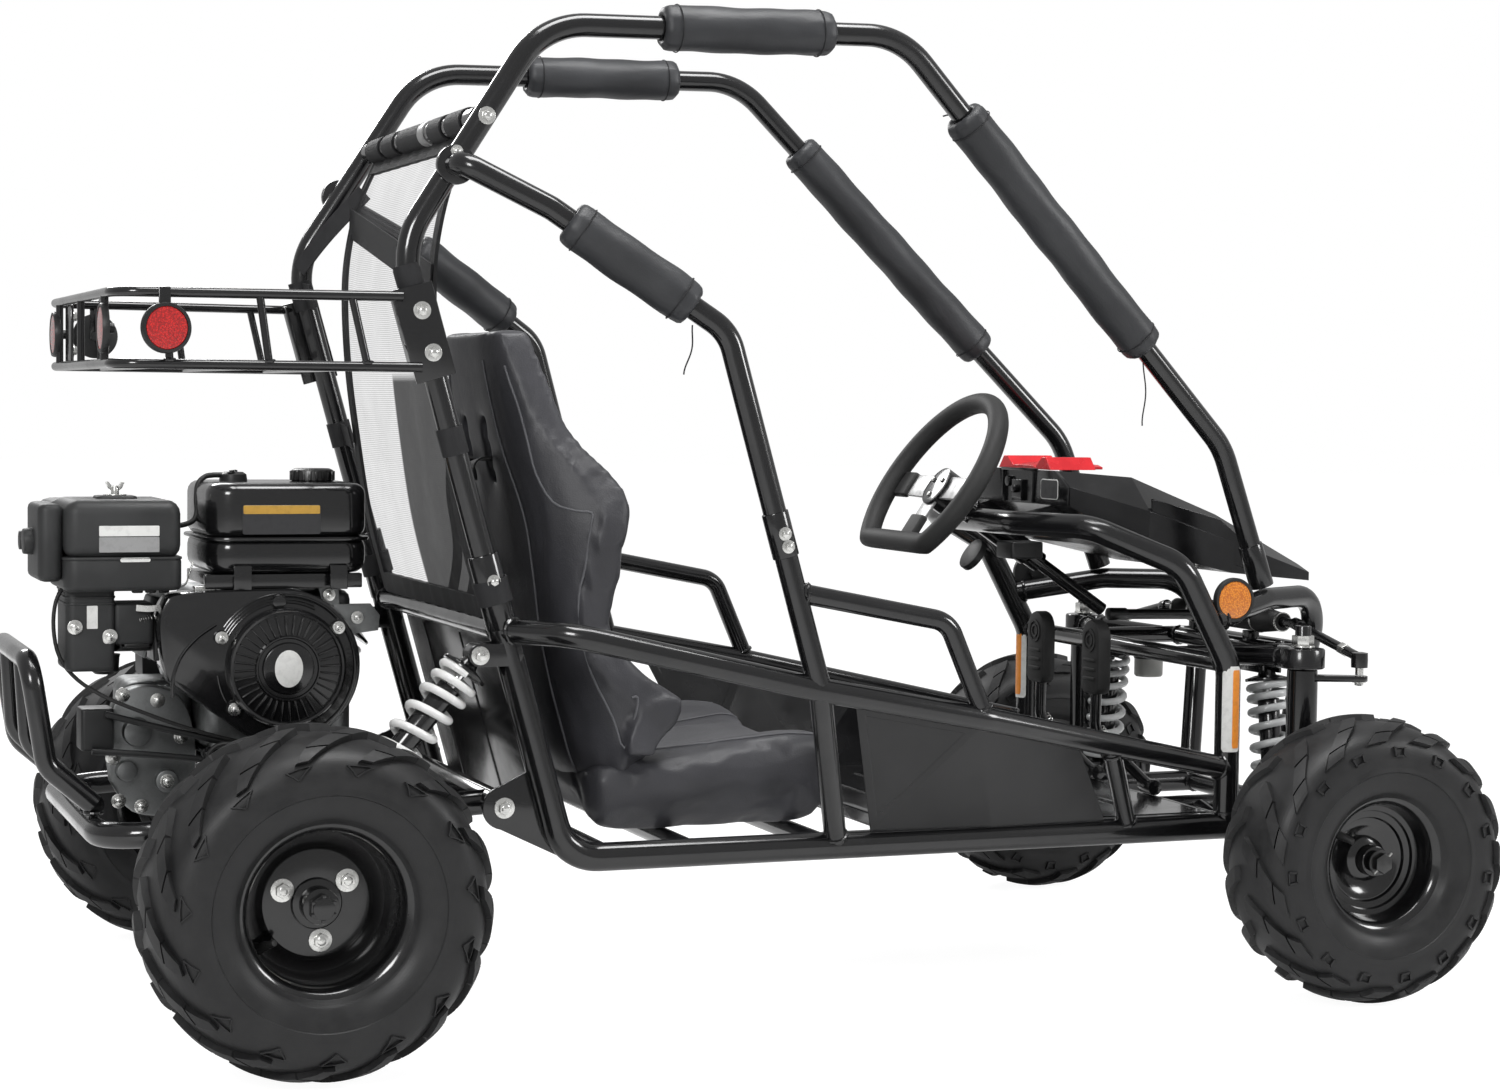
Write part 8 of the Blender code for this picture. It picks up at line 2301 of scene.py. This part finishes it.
def steering_gear():
    """The rack with ribbed bellows, its sliding rods with rod ends, and the link shaft."""
    rack = Shape()
    rack.rod(RACK_CENTRE - LEFT * 0.090, RACK_CENTRE + LEFT * 0.090, 0.0180, sides=36, bevel=0.0010)
    for _, side in SIDES:
        out = LEFT * side
        profile = [(0.0078, 0.086), (0.0190, 0.086)]
        for i in range(11):
            place = 0.094 + 0.0046 * i
            shrink = 0.0054 * i / 10
            profile += [(0.0190 - shrink, place), (0.0160 - shrink * 0.7, place + 0.0023)]
        profile += [(0.0133, 0.1455), (0.0126, 0.1500), (0.0078, 0.1500)]
        rack.turned(profile, RACK_CENTRE, out, 48, closed=True)
    rack.piece("steering_rack_bellows", Paints.rubber, "chassis", "steering_rack", 24)
    clips = Shape()
    for _, side in SIDES:
        for place, radius in ((0.0890, 0.0194), (0.1475, 0.0136)):
            start = RACK_CENTRE + LEFT * side * (place - 0.0018)
            profile = [(radius - 0.0010, 0), (radius + 0.0005, 0), (radius + 0.0005, 0.0036), (radius - 0.0010, 0.0036)]
            clips.turned(profile, start, LEFT * side, 36, closed=True)
    clips.piece("steering_bellows_clips", Paints.zinc)
    rods = Shape()
    rods.rod(RACK_CENTRE - LEFT * 0.1905, RACK_CENTRE + LEFT * 0.1905, 0.0068, sides=24)
    ends = Shape()
    for _, side in SIDES:
        inner = RACK_CENTRE + LEFT * side * 0.184
        outer = at(1.462, side * 0.345, 0.4404)
        along = (outer - inner).normalized()
        rods.rod(inner, outer - along * 0.008, 0.0068, sides=24)
        rods.rod(inner - along * 0.004, inner + along * 0.012, 0.0088, sides=24, bevel=0.0008)
        ends.rod(outer - along * 0.046, outer - along * 0.034, 0.0088, sides=6, bevel=0.0005)
        rods.turned(
            [(0.0052, -0.0110), (0.0112, -0.0100), (0.0115, 0), (0.0112, 0.0100), (0.0052, 0.0110)],
            Vector((outer.x, outer.y, 0.4372)), UP, 36, closed=True
        )
        ends.rod(Vector((outer.x, outer.y, 0.4172)), Vector((outer.x, outer.y, 0.4480)), 0.0055, sides=20)
    rods.piece("steering_tie_rods", Paints.frame_black, "steering_rods", "steering_rods")
    ends.piece("steering_rod_nuts", Paints.zinc, "steering_rods")
    link = Shape()
    top = WHEEL_CENTRE + COLUMN_AXIS * 0.3402
    low = RACK_CENTRE - (RACK_CENTRE - top).normalized() * 0.0188
    along = low - top
    link.rod(top, low, 0.0074, sides=24)
    link.rod(top, top + along * 0.16, 0.0092, sides=28, bevel=0.0008)
    link.rod(low - along * 0.20, low - along * 0.02, 0.0092, sides=28, bevel=0.0008)
    link.piece("steering_link", Paints.dark_steel, "steering_link", "steering_link_shaft")


def wishbones():
    """The upper and lower arms with their ball-joint housings and weld beads, and the lower arms' shock bar and ears.
    """
    for name, side in SIDES:
        for level, ring_low, inner, height, rail in (
            ("upper", 0.4248, 0.160, 0.432, STUB_RADIUS), ("lower", 0.122, 0.120, 0.212, SIDE_RADIUS)
        ):
            shape = Shape()
            ring = at(WHEELBASE, side * KINGPIN_ACROSS, ring_low)
            profile = [
                (0.0119, 0.0005), (0.0285, 0.0005), (0.0300, 0.0020), (0.0300, 0.0255), (0.0285, 0.0275),
                (0.0119, 0.0275)
            ]
            shape.turned(profile, ring, UP, 48, closed=True)
            middle = ring + UP * 0.014
            reach = inner + rail + 0.0008
            for end in (-1, 1):
                pivot = at(WHEELBASE + end * 0.055, side * reach, height)
                near = middle.lerp(pivot, 0.12)
                shape.rod(pivot, near, 0.0125, sides=24)
                shape.bead(middle.lerp(pivot, 0.26), pivot - near, 0.0122)
            if level == "lower":
                share = (0.255 - inner) / (KINGPIN_ACROSS - inner)
                bar_height = height + (middle.z - height) * share
                spread = FORWARD * (0.055 * (1 - share) + 0.0125)
                bar = at(WHEELBASE, side * 0.255, bar_height)
                shape.rod(bar - spread, bar + spread, 0.0100, sides=20)
                for ear in (-1, 1):
                    top = 0.205
                    outline = outline_arc((0, top), 0.014, 0, 180, 12) + [(-0.014, bar_height), (0.014, bar_height)]
                    shape.plate(outline, 0.005, crossways(at(WHEELBASE + ear * 0.0138, side * 0.255, 0)), 0.0008)
            shape.piece(f"{level}_wishbone_{name}", Paints.frame_black, "chassis", f"{level}_arm_{name}")


def uprights():
    """Each upright with its studs, nuts, steering arm and spindle."""
    for name, side in SIDES:
        body = "knuckle_" + name
        pin = at(WHEELBASE, side * KINGPIN_ACROSS, 0)
        shape = Shape()
        profile = [
            (0, 0.1720), (0.0195, 0.1720), (0.0210, 0.1735), (0.0210, 0.4020), (0.0205, 0.4225), (0.0190, 0.4240),
            (0, 0.4240),
        ]
        shape.turned(profile, pin, UP, 40)
        shape.rod(pin + UP * 0.1150, pin + UP * 0.4830, 0.0108, sides=28, bevel=0.0008)
        out = LEFT * side
        spindle = pin + UP * FRONT_RADIUS
        shape.rod(spindle, spindle + out * 0.1940, 0.0098, sides=28, bevel=0.0006)
        shape.rod(spindle, spindle + out * 0.0960, 0.0240, 0.0158, sides=36, bevel=0.0015)
        tip = (pin.x + 0.071, pin.y + side * 0.030)
        outline = outline_arc(tip, 0.0115, -90, 90, 12) + [(pin.x, pin.y + 0.0168), (pin.x, pin.y - 0.0168)]
        shape.plate(outline, 0.008, Matrix.Translation((0, 0, 0.412)), 0.0010)
        shape.piece("upright_" + name, Paints.frame_black, body, "knuckle_" + name)
        steel = Shape()
        steel.rod(pin + UP * 0.4538, pin + UP * 0.4560, 0.0163, sides=32, bevel=0.0004)
        steel.rod(pin + UP * 0.4560, pin + UP * 0.4700, 0.0150, sides=6, bevel=0.0010)
        steel.rod(pin + UP * 0.1110, pin + UP * 0.1205, 0.0150, sides=6, bevel=0.0010)
        steel.bolt(Vector((tip[0], tip[1], 0.4080)), -UP, 0.0052)
        steel.piece("upright_nuts_" + name, Paints.zinc, body)


def pedals():
    """The two pedals: rubber pads with raised bars, their stems and return springs."""
    for name, across in (("brake", 0.080), ("throttle", -0.090)):
        pad_centre = at(1.195, across, 0.425)
        shape = Shape()
        half = 0.026
        outline = outline_arc((0, 0.105 / 2 - half), half, 0, 180, 20) + outline_arc(
            (-half + 0.012, -0.040), 0.012, 180, 270, 6
        )
        outline += outline_arc((half - 0.012, -0.040), 0.012, 270, 360, 6)
        shape.plate(outline, 0.0210, crossways(pad_centre), 0.0040)
        for ring in (0.0150, 0.0080):
            shape.turned(
                [(ring - 0.0016, 0.0100), (ring - 0.0016, 0.0122), (ring + 0.0016, 0.0122), (ring + 0.0016, 0.0100)],
                pad_centre + UP * 0.024, -FORWARD, 32, closed=True
            )
        for i in range(3):
            spot = pad_centre - UP * (0.004 + 0.0130 * i) - FORWARD * 0.0108
            shape.block(spot, (0.0036, 0.034, 0.0050), bevel=0.0012)
        shape.piece(name + "_pedal_pad", Paints.rubber, "chassis", name + "_pedal")
        arm = Shape()
        foot = at(FRONT_POST, across, 0.2378)
        line = [pad_centre + FORWARD * 0.002, pad_centre - UP * 0.105, foot]
        arm.tube(rounded(line, 0.030), 0.0078, 18)
        arm.rod(foot - LEFT * 0.0173, foot + LEFT * 0.0173, 0.0109, sides=28, bevel=0.0008)
        arm.piece(name + "_pedal_arm", Paints.frame_black)
        spring = Shape()
        spring.tube(
            helix(pad_centre - UP * 0.100 + FORWARD * 0.010, at(1.255, across, 0.262), 0.0042, 12, 10), 0.0007, 6
        )
        spring.piece(name + "_pedal_spring", Paints.zinc)


def section(station, half, bottom, top):
    """The nose fairing's six-sided cross-section."""
    shoulder = (top - bottom) * 0.45
    rows = ((-1, bottom), (-1, top - shoulder), (-0.72, top), (0.72, top), (1, top - shoulder), (1, bottom))
    return [at(station, half * share, height) for share, height in rows]


def softened(made, width, segments, angle):
    """Rounds a piece's edges that turn more than an angle in degrees."""
    edge = made.modifiers.new("edges", "BEVEL")
    edge.width = width
    edge.segments = segments
    edge.limit_method = "ANGLE"
    edge.angle_limit = radians(angle)


def fairing():
    """The faceted nose with its hooded dash, its side skirts, and the red ridge on it."""
    rows = ((0, 0.80, 0, 0), (0.25, 1, 0.06, 0.55), (0.60, 0.88, 0.45, 0.85), (1, 0.56, 1, 1))
    half, length = 0.192, 0.414
    sections = []
    for along, width, down, under in rows:
        sections.append(
            section(DASH_STATION + length * along, half * width, 0.640 - 0.110 * under, 0.688 - 0.136 * down)
        )
    shell = Shape()
    shell.stack(sections)
    for _, side in SIDES:
        skirt = [(0, 0.652), (0, 0.622), (0.104, 0.566), (0.204, 0.546), (0.206, 0.560), (0.119, 0.622)]
        inward = Matrix.Rotation(-side * radians(8), 4, "Z") @ Matrix.Rotation(QUARTER, 4, "X")
        shell.plate(skirt, 0.0040, Matrix.Translation(at(1.226, side * 0.1855, 0)) @ inward, 0.0008)
    made = shell.piece("nose_fairing_shell", Paints.gloss_plastic, "chassis", "nose_fairing", 20)
    softened(made, 0.0028, 3, 12)
    base = 0.6883
    ridge = Shape()
    shares = ((0.01, 0.20, 0.30), (0.12, 0.30, 0.62), (0.26, 0.24, 0.34))
    ridge.stack([section(DASH_STATION + length * a, half * w, base, base + 0.018 * h) for a, w, h in shares])
    for side in (-1, 1):
        outline = [(side * x, z) for x, z in ((-0.026, 0), (0.026, 0), (0.010, 0.0176), (-0.002, 0.0176))]
        ridge.plate(outline, 0.072, crossways(at(1.158, side * 0.056, base)), 0.0010)
    red = ridge.piece("nose_ridge", Paints.red_plastic, "chassis", "nose_top", 20)
    softened(red, 0.0012, 2, 12)
    dash = Shape()
    rear = at(DASH_STATION, 0, 0.664)
    for side in (-1, 1):
        shield = ((0.050, -0.0235), (0.150, -0.0235), (0.152, 0.0020), (0.112, 0.0240), (0.060, 0.0240))
        outline = [(side * x, z) for x, z in shield]
        dash.plate(outline, 0.0068, crossways(rear + FORWARD * 0.0005), 0.0014)
        dash.block(rear + LEFT * side * 0.0475 - FORWARD * 0.0012, (0.0075, 0.0040, 0.046), bevel=0.0010)
    dash.block(rear + UP * 0.0238 - FORWARD * 0.0012, (0.0100, 0.0990, 0.0040), bevel=0.0010)
    dash.case(rear - UP * 0.006 - FORWARD * 0.0012, (0.0090, 0.030, 0.030), 0.001, 0.0008)
    dash.rod(rear - FORWARD * 0.0050 - UP * 0.004, rear - FORWARD * 0.0120 - UP * 0.004, 0.0060, sides=24, bevel=0.0010)
    dash.rod(
        rear + LEFT * 0.030 + UP * 0.006, rear + LEFT * 0.030 + UP * 0.006 - FORWARD * 0.0060, 0.0075, sides=28,
        bevel=0.0010
    )
    dash.piece("dash_panel", Paints.gloss_plastic)
    label = Shape()
    turn = Matrix.Rotation(QUARTER, 3, "Y") @ Matrix.Rotation(QUARTER, 3, "Z")
    label.case(rear - LEFT * 0.098 - FORWARD * 0.0034 - UP * 0.002, (0.052, 0.028, 0.0008), 0.005, 0.0002, turn, 4, 1)
    label.piece("dash_label_border", Paints.label_white)
    inner = Shape()
    inner.case(rear - LEFT * 0.098 - FORWARD * 0.0037 - UP * 0.002, (0.0496, 0.0256, 0.0008), 0.004, 0.0002, turn, 4, 1)
    inner.piece("dash_label_field", Paints.label_dark)
    bolts = Shape()
    for station, y, height in ((1.300, 0.120, 0.6395), (1.400, 0.090, 0.609)):
        for _, side in SIDES:
            bolts.bolt(at(station, side * y, height), UP, 0.0040)
    bolts.piece("fairing_bolts", Paints.zinc)
    under = Shape()
    under.case(at(1.092, -0.050, 0.5755), (0.050, 0.052, 0.024), 0.005, 0.003)
    disc = at(1.030, -0.020, 0.5700)
    under.rod(disc, disc + COLUMN_AXIS * 0.010, 0.024, sides=36, bevel=0.0015)
    under.piece("dash_underside_box", Paints.plastic)


def panels():
    """The floor pan with pressed ribs, the two side panels with their piping, and the rear splash panel."""
    dressed("floor_pan", Paints.frame_black, 0.0004)
    ribs = Shape()
    for i in range(6):
        station = 0.820 + 0.072 * i
        ribs.block(at(station, 0, 0.2302), (0.012, 0.440, 0.0022), bevel=0.0009)
    ribs.piece("floor_pan_ribs", Paints.frame_black)
    for name, side in SIDES:
        made = dressed("side_panel_" + name, Paints.panel_black, 0.0008)
        shape = bmesh.new()
        shape.from_mesh(made.data)
        outer = max(shape.faces, key=lambda face: face.calc_area() * (1 if face.normal.y * side > 0 else 0))
        for width, depth in ((0.010, 0.0), (0.0022, -0.0022), (0.0080, 0.0)):
            bmesh.ops.inset_region(shape, faces=[outer], thickness=width, depth=depth, use_even_offset=True)
        shape.to_mesh(made.data)
        shape.free()
    splash = Shape()
    low, high = on_post(0.236), on_post(0.478)
    rise = high - low
    turn = Matrix.Rotation(atan2(rise.x, rise.z), 3, "Y")
    middle = (low + high) / 2 + FORWARD * 0.0205
    splash.block(Vector((middle.x, 0, middle.z)), (0.0022, 0.556, rise.length), turn, 0.0006)
    for y in (-0.190, 0.0, 0.190):
        splash.block(Vector((middle.x - 0.0012, y, middle.z)), (0.0026, 0.006, rise.length * 0.94), turn, 0.0009)
    splash.piece("rear_splash_panel", Paints.panel_black)


def fittings():
    """Reflectors ahead of the front posts, the brake reservoir, post straps, and the blank labels."""
    reservoir = Shape()
    cup = at(1.352, 0.040, 0.402)
    reservoir.turned([(0, -0.0205), (0.0185, -0.0205), (0.0208, -0.0180), (0.0210, 0.0060), (0, 0.0060)], cup, UP, 40)
    reservoir.piece("brake_reservoir_cup", Paints.grey_cup)
    lid = Shape()
    lid.turned(
        [(0, 0.0225), (0.0180, 0.0225), (0.0218, 0.0195), (0.0220, 0.0070), (0.0210, 0.0060), (0, 0.0060)], cup, UP, 40
    )
    lid.piece("brake_reservoir_cap", Paints.plastic)
    for name, side in SIDES:
        spot = at(1.289, side * 0.2990, 0.519)
        disc_reflector("front_reflector_" + name, spot, LEFT * side, Paints.amber_lens)
    for number, (low, high) in enumerate(((0.718, 0.744), (0.914, 0.938))):
        wrap = Shape()
        middle = flipped(on_post((low + high) / 2), -1)
        wrap.band(middle, flipped(POST_BEND - POST_FOOT, -1), 0.0152, high - low, 0.0020)
        wrap.piece(f"post_strap_{number + 1}", Paints.webbing)
    strips = (
        ("near_post_blank_label", Paints.label_white, -1, 0.314, 0.430, -146, -58, 0.0),
        ("near_post_orange_strip", Paints.label_orange, -1, 0.319, 0.425, -98, -62, 0.0004),
        ("far_post_blank_label", Paints.label_white, 1, 0.326, 0.442, -206, -122, 0.0),
        ("far_post_orange_strip", Paints.label_orange, 1, 0.331, 0.437, -200, -150, 0.0004),
    )
    for name, paint, side, low, high, first, last, lift in strips:
        shape = Shape()
        middle = Vector((RAIL_FRONT.x, side * 0.300, 0))
        rings = []
        for i in range(17):
            angle = radians(first + (last - first) * i / 16)
            way = around(1, angle)
            drop = 0.004 * (1 if i in (0, 16) else 0.3 if i in (1, 15) else 0)
            inner, outer = middle + way * (0.0170 + lift), middle + way * (0.0175 + lift)
            rings.append(
                [
                    inner + UP * (low + drop), outer + UP * (low + drop), outer + UP * (high - drop),
                    inner + UP * (high - drop)
                ]
            )
        shape.stack(rings)
        shape.piece(name, paint)


def front_end():
    steering_wheel()
    steering_gear()
    wishbones()
    uprights()
    pedals()
    fairing()
    panels()
    fittings()


camera()
studio()
main_frame()
cage()
wheels()
seat()
rear_net()
shocks()
pads()
engine()
swing_arm()
rear_axle()
luggage_rack()
rear_guard()
front_end()
dressed("drive_cover", Paints.dull_plastic)

LOW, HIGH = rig.bounds()
with open("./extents.json", "w") as file:
    json.dump({"cad": [list(CAD_BOX[0]), list(CAD_BOX[1])], "visual": [list(LOW), list(HIGH)]}, file)
